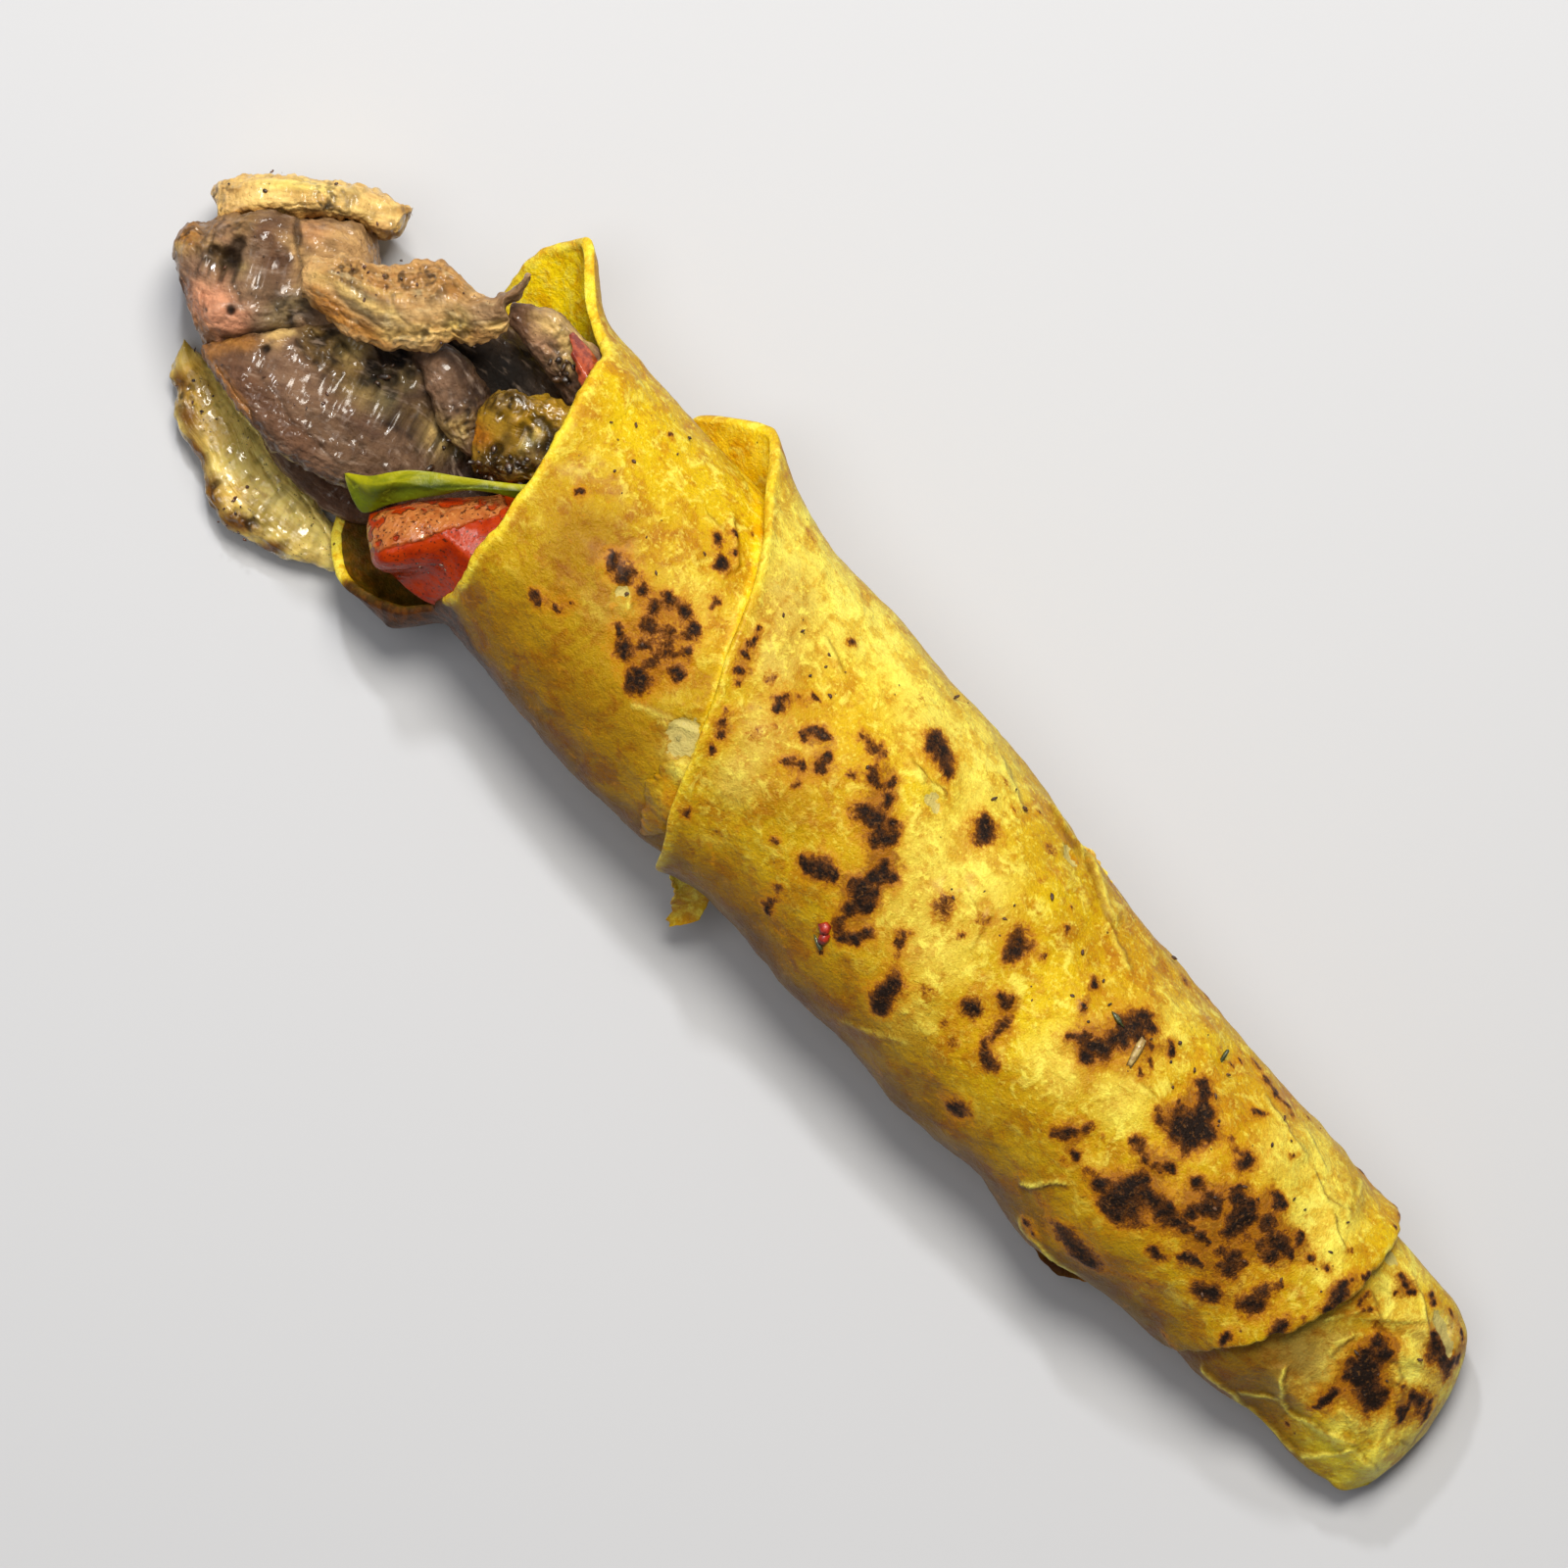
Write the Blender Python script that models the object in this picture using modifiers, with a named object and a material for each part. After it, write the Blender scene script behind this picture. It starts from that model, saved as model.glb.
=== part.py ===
# Gyro wrap: a flatbread rolled round meat, lying on its side with the open mouth at -X
# and the folded foot at +X. The shown side is up. Lengths below are in millimetres.
#
# Angles round the roll start at its +Y side, pass over the top and go down the -Y side,
# so 0 is the +Y side, 90 the top, 180 the -Y side and 270 the underside.

import math

import bpy
import numpy as np

MM = 0.001

# Bread
SHEET = 1.9            # thickness of the flatbread
PLY_GAP = 0.4          # air between the two turns of the roll
TWO_TURNS = 2 * SHEET + PLY_GAP
FLAT = 0.8             # how far the round underside is pressed flat
CLEARANCE = 0.4        # gap kept between touching pieces
CORE_CLEARANCE = 0.9   # the same round the core, whose sections lie between the bread's
COLUMNS = 42           # divisions round the roll
CORE_MOUTH_END = -41.0
CORE_FOOT_END = 106.0

# The outside of the outer turn: place along, middle across, half width, half height
ROLL = (
    (-108.0, 4.9, 29.7, 24.2),
    (-60.0, 4.9, 29.7, 24.2),
    (-40.0, 4.6, 30.3, 24.2),
    (-20.0, 5.3, 29.9, 24.0),
    (0.0, 7.0, 27.9, 23.6),
    (20.0, 6.4, 27.3, 23.0),
    (43.0, 5.7, 25.7, 22.2),
    (60.0, 5.9, 25.0, 21.5),
    (83.0, 5.7, 24.9, 20.6),
    (100.0, 7.6, 22.9, 18.8),
    (110.0, 8.0, 21.9, 17.6),
    (122.0, 7.4, 22.3, 15.8),
)

# The folded foot under the hem: place along, middle across, half width, half height
FOOT = (
    (102.0, 7.2, 20.6, 16.2),
    (116.0, 6.9, 20.4, 14.6),
    (127.0, 7.9, 19.2, 12.2),
    (137.0, 7.9, 18.6, 9.8),
    (142.5, 6.7, 16.4, 8.2),
    (146.5, 3.6, 12.2, 6.2),
    (148.7, 2.0, 7.0, 3.8),
)
FOOT_TIP = (149.4, 1.8, 3.4)
FOOT_SOLE = 0.4        # height of the foot's underside

# Edges of the sheet: angle round the roll, place along it
MOUTH_RIM = ((0, -98.5), (14, -87.5), (52, -80.2), (92, -74.0), (121, -71.7), (165, -69.8),
             (180, -72.0), (194, -84.5), (205, -92.0), (215, -95.0), (240, -98.0), (275, -100.5),
             (315, -103.0), (338, -103.4), (352, -100.5))
LAP_EDGE = ((0, -54.5), (25, -46.3), (51, -37.9), (74, -32.1), (101, -24.4), (125, -19.1),
            (148, -14.2), (180, -12.0), (225, -12.0), (270, -24.0), (305, -46.0), (332, -64.5),
            (346, -61.0))
HEM = ((0, 116.0), (27, 118.6), (55, 119.9), (93, 118.8), (123, 114.3), (158, 108.5),
       (190, 105.5), (235, 104.5), (280, 107.0), (325, 112.5))

# Where the mouth opens out: angle, spread in degrees, lift, and the places along the roll
# where the lift begins to fall and where it ends
MOUTH_FLARES = ((357.0, 24.0, 7.6, -100.0, -84.5), (195.0, 20.0, 9.2, -74.5, -66.5),
                (268.0, 60.0, 1.2, -98.0, -76.0))

# Where the outer turn stands off at an edge: angle, spread, lift, reach from the edge
LAP_FLARES = ((-2.0, 26.0, 4.8, 24.0), (90.0, 200.0, 0.5, 6.0))
HEM_FLARES = ((40.0, 60.0, 0.7, 7.0), (140.0, 40.0, 0.9, 7.0))
POCKET_DEEP = 12.0     # depth of the gap behind the lifted corner of the lap
POCKET_SHALLOW = 1.2

# Flakes of the outer ply, fused to the bread: stations of x, y, z and half width. A height of
# None means that the flake lies on the roll, and its height is worked out from it.
FLAKES = (
    {"stations": ((-10.0, -21.2, 22.5, 1.8), (-7.0, -21.8, 19.5, 3.0), (-4.2, -23.6, 15.0, 2.8),
                  (-3.8, -27.2, 10.0, 1.0)), "thickness": 1.3},
    {"stations": ((-20.5, -7.8, None, 4.2), (-19.0, -13.0, None, 5.2), (-18.6, -18.0, None, 3.4),
                  (-18.5, -21.0, None, 1.4)), "thickness": 1.3},
    {"stations": ((73.5, -16.4, 13.0, 1.4), (79.0, -17.6, 11.5, 2.2), (84.5, -17.8, 10.5, 2.0),
                  (89.0, -16.4, 11.5, 1.2)), "thickness": 1.3},
)
FLAKE_LIFT = 0.5

# Pieces that show in the mouth. Each is carried along a line of stations:
# x, y, z, half width, half depth. lean turns the section about the line, in degrees, curl
# lowers its edges, box is the exponent of its rounded-box section, ragged is the unevenness
# of its rim and relief that of its faces. Later pieces give way to earlier ones.
FILLINGS = {
    "tomato_wedge": {
        "stations": ((-87.6, -17.6, 27.5, 3.2, 4.4), (-83.4, -14.4, 29.0, 8.6, 6.8),
                     (-76.6, -11.0, 30.0, 12.6, 8.0), (-67.0, -8.0, 29.5, 12.0, 8.0),
                     (-55.0, -6.0, 28.5, 7.5, 6.0)),
        "lean": 14.0, "curl": 0.0, "box": 2.2, "ragged": 0.03, "relief": 0.15,
        "rows": 18, "columns": 14, "colour": (0.34, 0.028, 0.004), "roughness": 0.22},
    "meat_slice_curled": {
        "stations": ((-130.2, -0.8, 35.0, 2.4, 1.6), (-124.5, 1.4, 36.2, 4.6, 2.2),
                     (-118.0, 4.4, 36.4, 6.0, 2.5), (-111.0, 9.4, 36.2, 7.8, 2.5),
                     (-104.6, 14.6, 36.8, 6.9, 2.3), (-100.2, 20.2, 38.0, 4.4, 2.0),
                     (-98.9, 27.4, 39.4, 1.6, 1.3)),
        "lean": -14.0, "curl": 2.6, "box": 3.0, "ragged": 0.16, "relief": 0.35,
        "rows": 24, "columns": 14, "colour": (0.57, 0.30, 0.085), "roughness": 0.42},
    "meat_slice_top": {
        "stations": ((-148.8, -3.2, 14.0, 2.0, 6.0), (-141.4, 2.6, 15.0, 4.3, 9.5),
                     (-132.2, 9.8, 15.5, 4.6, 10.0), (-121.6, 18.8, 16.0, 2.4, 7.0)),
        "lean": 10.0, "curl": 0.0, "box": 3.4, "ragged": 0.08, "relief": 0.3,
        "rows": 16, "columns": 14, "colour": (0.86, 0.60, 0.23), "roughness": 0.45},
    "meat_slice_front": {
        "stations": ((-131.0, -19.6, 21.0, 2.6, 4.0), (-124.0, -16.0, 23.5, 8.0, 6.2),
                     (-115.0, -13.0, 24.0, 10.6, 6.8), (-104.0, -10.6, 23.0, 12.6, 6.8),
                     (-93.0, -8.4, 21.0, 12.6, 6.2), (-80.0, -6.0, 17.5, 12.0, 5.0),
                     (-62.0, -3.0, 14.5, 10.0, 4.4), (-46.0, -2.0, 13.5, 7.0, 4.0)),
        "lean": 8.0, "curl": 0.4, "box": 3.0, "ragged": 0.06, "relief": 0.4,
        "rows": 24, "columns": 16, "colour": (0.25, 0.115, 0.062), "roughness": 0.38},
    "roasted_pepper": {
        "stations": ((-92.0, 3.4, 25.0, 2.6, 2.2), (-87.0, 6.0, 28.0, 6.8, 3.4),
                     (-79.5, 9.4, 30.2, 8.6, 4.0), (-67.0, 10.0, 30.5, 8.6, 4.0),
                     (-52.0, 9.0, 29.0, 6.0, 3.4)),
        "lean": -10.0, "curl": 1.6, "box": 2.8, "ragged": 0.12, "relief": 0.5,
        "rows": 16, "columns": 12, "colour": (0.20, 0.085, 0.007), "roughness": 0.3},
    "meat_strip_side": {
        "stations": ((-99.2, 21.6, 29.5, 1.8, 1.8), (-93.0, 23.2, 29.6, 3.8, 2.8),
                     (-84.5, 23.4, 28.0, 4.4, 3.0), (-72.0, 21.5, 27.0, 4.0, 3.0),
                     (-60.0, 19.0, 26.5, 2.6, 2.2)),
        "lean": -20.0, "curl": 0.5, "box": 2.8, "ragged": 0.1, "relief": 0.3,
        "rows": 14, "columns": 10, "colour": (0.46, 0.27, 0.13), "roughness": 0.4},
    "red_pepper_bit": {
        "stations": ((-89.0, 26.6, 33.6, 1.0, 1.0), (-86.2, 26.8, 34.4, 2.0, 1.6),
                     (-82.0, 24.6, 34.6, 2.0, 1.6), (-78.0, 21.6, 35.0, 1.0, 1.0)),
        "lean": 0.0, "curl": 0.0, "box": 2.4, "ragged": 0.1, "relief": 0.1,
        "rows": 9, "columns": 10, "colour": (0.46, 0.10, 0.03), "roughness": 0.25},
    "meat_shred_inner": {
        "stations": ((-105.0, 4.6, 26.5, 1.6, 1.6), (-99.5, 6.6, 28.0, 4.0, 2.8),
                     (-92.0, 4.4, 27.0, 4.4, 3.0), (-84.0, 1.6, 25.0, 3.0, 2.4)),
        "lean": 12.0, "curl": 0.4, "box": 2.6, "ragged": 0.15, "relief": 0.35,
        "rows": 12, "columns": 10, "colour": (0.20, 0.12, 0.07), "roughness": 0.4},
    "onion_petal": {
        "stations": ((-134.6, -23.6, 4.0, 1.8, 1.4), (-125.0, -26.6, 5.0, 6.2, 2.4),
                     (-112.5, -29.6, 5.2, 9.6, 2.8), (-100.5, -30.6, 5.0, 7.8, 2.6),
                     (-88.0, -28.8, 4.2, 2.6, 1.6)),
        "lean": 8.0, "curl": 1.8, "box": 2.8, "ragged": 0.07, "relief": 0.25, "beside": True,
        "rows": 20, "columns": 12, "colour": (0.36, 0.20, 0.03), "roughness": 0.2},
    "meat_slice_under": {
        "stations": ((-117.6, -20.6, 11.4, 2.6, 2.6), (-108.0, -20.0, 12.0, 5.6, 3.6),
                     (-98.0, -18.6, 11.6, 6.4, 2.8), (-87.0, -15.5, 10.8, 4.2, 1.7)),
        "lean": 0.0, "curl": 0.3, "box": 2.8, "ragged": 0.08, "relief": 0.3,
        "rows": 12, "columns": 12, "colour": (0.17, 0.085, 0.05), "roughness": 0.38},
    "meat_slice_back": {
        "stations": ((-148.6, -12.2, 15.0, 3.8, 9.0), (-140.5, -7.6, 15.8, 10.6, 13.4),
                     (-131.0, -4.8, 16.2, 15.4, 14.6), (-121.0, 1.2, 15.6, 10.8, 13.8),
                     (-110.0, 5.4, 14.6, 8.8, 11.4), (-97.0, 10.0, 14.2, 9.0, 8.8),
                     (-74.0, 11.0, 14.6, 9.0, 7.6), (-46.0, 10.0, 15.0, 7.0, 6.4)),
        "lean": 0.0, "curl": 0.0, "box": 3.0, "ragged": 0.07, "relief": 0.5,
        "rows": 24, "columns": 16, "colour": (0.36, 0.19, 0.095), "roughness": 0.42},
}
END_BLUNT = 3.4        # exponent of the rounded ends of a filling piece
FLOOR_GAP = 0.3

# Leaf between tomato and meat: x, y, z and half width along its midrib
LEAF_STATIONS = ((-97.4, -18.6, 29.5, 1.2), (-93.0, -17.0, 32.5, 3.2), (-88.0, -11.8, 35.0, 3.6),
                 (-81.0, -3.6, 37.0, 3.4), (-74.0, 2.6, 38.0, 3.4), (-64.0, 8.0, 37.0, 1.6))
LEAF_THICK = 1.1
LEAF_LEAN = 34.0
LEAF_ROWS = 20
LEAF_COLUMNS = 4
LEAF_COLOUR = (0.16, 0.22, 0.006)

BREAD_COLOUR = (0.60, 0.35, 0.012)
CORE_COLOUR = (0.16, 0.075, 0.03)


def clear_scene():
    for thing in list(bpy.data.objects):
        bpy.data.objects.remove(thing, do_unlink=True)


def new_collection(name):
    collection = bpy.data.collections.new(name)
    bpy.context.scene.collection.children.link(collection)
    return collection


def finish(name, colour, roughness):
    material = bpy.data.materials.new(name)
    material.use_nodes = True
    shader = material.node_tree.nodes["Principled BSDF"]
    shader.inputs["Base Color"].default_value = (*colour, 1.0)
    shader.inputs["Roughness"].default_value = roughness
    shader.inputs["Metallic"].default_value = 0.0
    return material


# Curves and relief

def through(places, values, at):
    """A smooth curve through the values: cubic pieces, each knot's slope from its neighbours."""
    places = np.asarray(places, float)
    values = np.asarray(values, float)
    slopes = np.gradient(values, places)
    at = np.clip(at, places[0], places[-1])
    left = np.clip(np.searchsorted(places, at, side="right") - 1, 0, len(places) - 2)
    span = places[left + 1] - places[left]
    t = (at - places[left]) / span
    return ((2 * t**3 - 3 * t**2 + 1) * values[left] + (t**3 - 2 * t**2 + t) * span * slopes[left]
            + (3 * t**2 - 2 * t**3) * values[left + 1] + (t**3 - t**2) * span * slopes[left + 1])


def round_the_roll(edge, angle):
    """The same curve on a closed ring of (angle, place) knots."""
    ring = np.array(edge, float)
    ring = np.vstack((ring[-3:] - (360.0, 0.0), ring, ring[:3] + (360.0, 0.0)))
    return through(ring[:, 0], ring[:, 1], np.mod(angle, 360.0))


def ease(start, end, value):
    t = np.clip((value - start) / (end - start), 0.0, 1.0)
    return t * t * (3.0 - 2.0 * t)


def ripples(points, wavelength, seed, waves=8):
    """Smooth uneven relief, about -1 to 1: a sum of sines in seeded directions."""
    draw = np.random.default_rng(seed)
    directions = draw.normal(size=(waves, 3))
    directions /= np.linalg.norm(directions, axis=1)[:, None]
    pitch = 2.0 * math.pi / (wavelength * draw.uniform(0.7, 1.5, waves))
    phase = draw.uniform(0.0, 2.0 * math.pi, waves)
    return np.sin((points @ directions.T) * pitch + phase).sum(axis=-1) / waves**0.5 / 1.2


# The roll

def section(table, x):
    """Middle across, half width and half height of the roll or the foot at x."""
    knots = np.array(table)
    return [through(knots[:, 0], knots[:, k], x) for k in (1, 2, 3)]


def angle_from(angle, centre):
    return np.abs(np.mod(angle - centre + 180.0, 360.0) - 180.0)


def lift(flares, angle, distance):
    """Sum of bumps that fall off round the roll and with distance from the edge."""
    total = 0.0
    for centre, spread, height, reach in flares:
        around = np.exp(-(angle_from(angle, centre) / spread) ** 2)
        along = 1.0 - ease(0.0, 1.0, np.clip(distance, 0.0, None) / reach)
        total = total + height * around * along
    return total


def mouth_lift(angle, x):
    """How far the open mouth stands off the roll."""
    total = 0.0
    for centre, spread, height, falls_from, ends in MOUTH_FLARES:
        around = np.exp(-(angle_from(angle, centre) / spread) ** 2)
        total = total + height * around * (1.0 - ease(falls_from, ends, x))
    return total


def turn_lift(angle, x):
    """How far the outer turn stands off at its lap edge and its hem."""
    at_lap = lift(LAP_FLARES, angle, x - round_the_roll(LAP_EDGE, angle))
    at_hem = lift(HEM_FLARES, angle, round_the_roll(HEM, angle) - x)
    return at_lap + at_hem


def on_section(angle, x, inward, outward):
    """Points of the roll, offset inwards from the outer turn and lifted outwards."""
    middle, wide, high = section(ROLL, x)
    turn = np.radians(angle)
    axis = high - FLAT
    offset = outward - inward
    y = middle + (wide + offset) * np.cos(turn)
    z = axis + (high + offset) * np.sin(turn)
    return np.stack((x + 0.0 * y, y, np.maximum(z, 0.0 * z)), axis=-1)


def foot_section(angle, x):
    """The folded foot: a flattened round with one ply that ends in a step on its top."""
    middle, wide, high = section(FOOT, x)
    turn = np.radians(angle)
    y = middle + wide * np.cos(turn)
    z = FOOT_SOLE + high + high * np.sin(turn)
    ply_edge = -5.0 + 0.05 * (x - 124.0)
    fold = ease(-2.2, 2.2, ply_edge - y) * ease(118.0, 124.0, x) * ease(0.1, 0.5, np.sin(turn))
    crease = np.exp(-((y - 15.0 - 0.5 * (x - 130.0)) / 2.4) ** 2) * ease(0.2, 0.6, np.sin(turn))
    z = z - SHEET * 0.9 * fold - 0.8 * crease * ease(120.0, 126.0, x)
    return np.stack((x + 0.0 * y, y, z), axis=-1)


def bread_rows():
    """Rings of points from the inside end of the wrap, out over the mouth and on to the foot."""
    angle = np.arange(COLUMNS) * 360.0 / COLUMNS
    rim = round_the_roll(MOUTH_RIM, angle)
    lap = round_the_roll(LAP_EDGE, angle)
    hem = round_the_roll(HEM, angle)
    rows = []

    inside_end = np.full(COLUMNS, CORE_FOOT_END + 1.2)
    closing = on_section(angle, inside_end, TWO_TURNS, 0.0)
    middle = closing.mean(axis=0)
    rows.append(middle + (closing - middle) * 0.55)
    for t in np.linspace(1.0, 0.0, 12) ** 1.7:
        x = rim + (inside_end - rim) * t
        rows.append(on_section(angle, x, TWO_TURNS, mouth_lift(angle, x)))

    rounding = on_section(angle, rim - 0.5, TWO_TURNS - 0.5 * SHEET, mouth_lift(angle, rim))
    rows.append(rounding)
    outside = SHEET + PLY_GAP
    for t in np.linspace(0.0, 1.0, 8):
        x = rim + (lap - rim) * t
        rows.append(on_section(angle, x, outside, mouth_lift(angle, x)))

    depth = POCKET_SHALLOW + POCKET_DEEP * np.exp(-(angle_from(angle, 2.0) / 26.0) ** 2)
    for t in (0.5, 1.0):
        rows.append(on_section(angle, lap + depth * t, outside, mouth_lift(angle, lap)))
    for t in (0.9, 0.45, 0.0):
        x = lap + depth * t
        rows.append(on_section(angle, x, SHEET, np.maximum(turn_lift(angle, x), 0.1)))
    rows.append(on_section(angle, lap - 0.4, 0.5 * SHEET, turn_lift(angle, lap)))

    for t in np.linspace(0.0, 1.0, 16):
        x = lap + (hem - lap) * t
        ring = on_section(angle, x, 0.0, turn_lift(angle, x))
        waver = ripples(ring, 34.0, 5) * 0.55 * ease(0.0, 0.2, t) * ease(0.0, 0.15, 1.0 - t)
        rows.append(on_section(angle, x, 0.0, turn_lift(angle, x) + waver))
    rows.append(on_section(angle, hem + 0.4, 0.5 * SHEET, turn_lift(angle, hem)))
    rows.append(on_section(angle, hem, SHEET, turn_lift(angle, hem)))

    foot_end = FOOT[-1][0]
    for t in np.linspace(0.0, 1.0, 11) ** 0.85:
        x = hem - 0.6 + (foot_end - hem + 0.6) * t
        ring = foot_section(angle, x)
        waver = ripples(ring, 16.0, 9) * 0.5 * ease(0.1, 0.4, t) * ease(0.0, 0.2, 1.0 - t)
        ring[:, 2] += waver * ease(-0.2, 0.4, np.sin(np.radians(angle)))
        rows.append(ring)

    start = np.array((CORE_FOOT_END + 1.8, middle[1], middle[2]))
    return rows, start, np.array(FOOT_TIP)


# Meshes

def loft(name, rows, start, end, collection):
    """A closed solid through rings of equal count, closed by a point at each end."""
    count = len(rows[0])
    points = np.vstack([start[None]] + list(rows) + [end[None]]) * MM
    faces = []
    for k in range(count):
        faces.append((0, 1 + (k + 1) % count, 1 + k))
    for r in range(len(rows) - 1):
        near = 1 + r * count
        far = near + count
        for k in range(count):
            after = (k + 1) % count
            faces.append((near + k, near + after, far + after, far + k))
    last = 1 + (len(rows) - 1) * count
    for k in range(count):
        faces.append((last + k, last + (k + 1) % count, len(points) - 1))
    mesh = bpy.data.meshes.new(name)
    mesh.from_pydata(points.tolist(), [], faces)
    if signed_volume(mesh) < 0.0:
        mesh.flip_normals()
    mesh.shade_smooth()
    mesh.set_sharp_from_angle(angle=math.radians(50.0))
    solid = bpy.data.objects.new(name, mesh)
    collection.objects.link(solid)
    return solid


def signed_volume(mesh):
    mesh.calc_loop_triangles()
    total = 0.0
    for triangle in mesh.loop_triangles:
        a, b, c = (mesh.vertices[v].co for v in triangle.vertices)
        total += a.dot(b.cross(c))
    return total


def evaluated_copy(thing):
    """The mesh of an object with its modifiers worked in."""
    depsgraph = bpy.context.evaluated_depsgraph_get()
    return bpy.data.meshes.new_from_object(thing.evaluated_get(depsgraph))


def frames_along(stations, rows):
    """Places, sideways and upward directions along the line through the stations."""
    knots = np.array(stations, float)
    steps = np.linalg.norm(np.diff(knots[:, :3], axis=0), axis=1)
    reached = np.concatenate(((0.0,), np.cumsum(steps))) / steps.sum()
    u = np.linspace(0.0, 1.0, rows + 2)[1:-1]
    at = 0.5 * u + 0.25 * (1.0 - np.cos(math.pi * u))
    columns = [through(reached, knots[:, k], at) for k in range(knots.shape[1])]
    line = np.stack(columns[:3], axis=1)
    ahead = np.gradient(line, axis=0)
    ahead /= np.linalg.norm(ahead, axis=1)[:, None]
    side = np.cross(ahead, (0.0, 0.0, 1.0))
    side /= np.linalg.norm(side, axis=1)[:, None]
    up = np.cross(side, ahead)
    return at, line, side, up, columns[3:]


def inside_bread(points):
    """Holds points within the inner wall wherever the bread goes round them."""
    x, y, z = points[..., 0], points[..., 1], points[..., 2]
    middle, wide, high = section(ROLL, x)
    axis = high - FLAT
    inner = TWO_TURNS + CLEARANCE
    angle = np.degrees(np.arctan2((z - axis) / high, (y - middle) / wide))
    stand_off = mouth_lift(angle, x) - inner
    across = (y - middle) / (wide + stand_off)
    above = (z - axis) / (high + stand_off)
    reach = np.hypot(across, above)
    covered = ease(-14.0, -5.0, x - round_the_roll(MOUTH_RIM, angle))
    pull = 1.0 + covered * (1.0 / np.maximum(reach, 1.0) - 1.0)
    held = points.copy()
    held[..., 1] = middle + (y - middle) * pull
    held[..., 2] = np.maximum(axis + (z - axis) * pull, FLOOR_GAP)
    return held


def hold(points, shape, outward, grow):
    """Keeps a piece inside the bread, or on the floor beside it, and then grows it."""
    if shape.get("beside", False):
        held = points.copy()
        held[..., 2] = np.maximum(held[..., 2], FLOOR_GAP)
    else:
        held = inside_bread(points)
    return held + outward * grow


def filling_piece(name, shape, seed, collection, grow=0.0):
    """One piece in the mouth, or with grow the room that its neighbours leave for it."""
    at, line, side, up, (wide, deep) = frames_along(shape["stations"], shape["rows"])
    closing = (1.0 - np.abs(2.0 * at - 1.0) ** END_BLUNT) ** (1.0 / END_BLUNT)
    turn = np.arange(shape["columns"]) * 2.0 * math.pi / shape["columns"]
    power = 2.0 / shape["box"]
    across = np.sign(np.cos(turn)) * np.abs(np.cos(turn)) ** power
    above = np.sign(np.sin(turn)) * np.abs(np.sin(turn)) ** power
    lean = math.radians(shape["lean"])
    rows = []
    for r in range(len(at)):
        wide_way = side[r] * math.cos(lean) + up[r] * math.sin(lean)
        deep_way = up[r] * math.cos(lean) - side[r] * math.sin(lean)
        p = across * wide[r] * closing[r]
        q = above * deep[r] * closing[r] - shape["curl"] * across**2 * closing[r]
        out = p[:, None] * wide_way + q[:, None] * deep_way
        swell = across[:, None] * wide_way + above[:, None] * deep_way
        ragged = 1.0 + shape["ragged"] * ripples(line[r] + out, 9.0, seed) * np.abs(across)
        relief = shape["relief"] * ripples(line[r] + out, 7.0, seed + 1)
        ring = line[r] + out * ragged[:, None] + swell * relief[:, None]
        rows.append(hold(ring, shape, swell, grow))
    first, last = line[1] - line[0], line[-1] - line[-2]
    start = hold(line[0] - first * 0.25, shape, -first / np.linalg.norm(first), grow)
    end = hold(line[-1] + last * 0.25, shape, last / np.linalg.norm(last), grow)
    piece = loft(name, rows, start, end, collection)
    piece.data.materials.append(finish(name, shape["colour"], shape["roughness"]))
    return piece


def leaf(collection, grow=0.0):
    """A thin wavy sheet split into triangles, with Solidify for its thickness."""
    at, line, side, up, (wide,) = frames_along(LEAF_STATIONS, LEAF_ROWS)
    lean = math.radians(LEAF_LEAN)
    lying = side * math.cos(lean) + up * math.sin(lean)
    facing = up * math.cos(lean) - side * math.sin(lean)
    across = np.linspace(-1.0, 1.0, LEAF_COLUMNS + 1)
    reach = (wide + grow)[:, None, None]
    points = line[:, None] + across[None, :, None] * reach * lying[:, None]
    wave = 0.5 * np.sin(at * 21.0)[:, None] * across[None] ** 2 + 0.35 * np.sin(at * 34.0 + 1.0)[:, None]
    points = points + wave[..., None] * facing[:, None]
    points = inside_bread(points)
    stride = LEAF_COLUMNS + 1
    faces = []
    for r in range(LEAF_ROWS - 1):
        for k in range(LEAF_COLUMNS):
            corner = r * stride + k
            faces.append((corner, corner + 1, corner + stride + 1))
            faces.append((corner, corner + stride + 1, corner + stride))
    mesh = bpy.data.meshes.new("green_leaf")
    mesh.from_pydata((points.reshape(-1, 3) * MM).tolist(), [], faces)
    blade = bpy.data.objects.new("green_leaf", mesh)
    collection.objects.link(blade)
    thickness = blade.modifiers.new("thickness", "SOLIDIFY")
    thickness.thickness = (LEAF_THICK + 2.0 * grow) * MM
    thickness.offset = 0.0
    blade.data.materials.append(finish("green_leaf", LEAF_COLOUR, 0.3))
    return blade


# The pieces

def height_on_roll(x, y, inward):
    """Height of the upper side of the roll over a point, offset inwards from the outer turn."""
    middle, wide, high = section(ROLL, np.array(x))
    share = np.clip((y - middle) / (wide - inward), -0.999, 0.999)
    return float(high - FLAT + (high - inward) * math.sqrt(1.0 - share**2))


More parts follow.
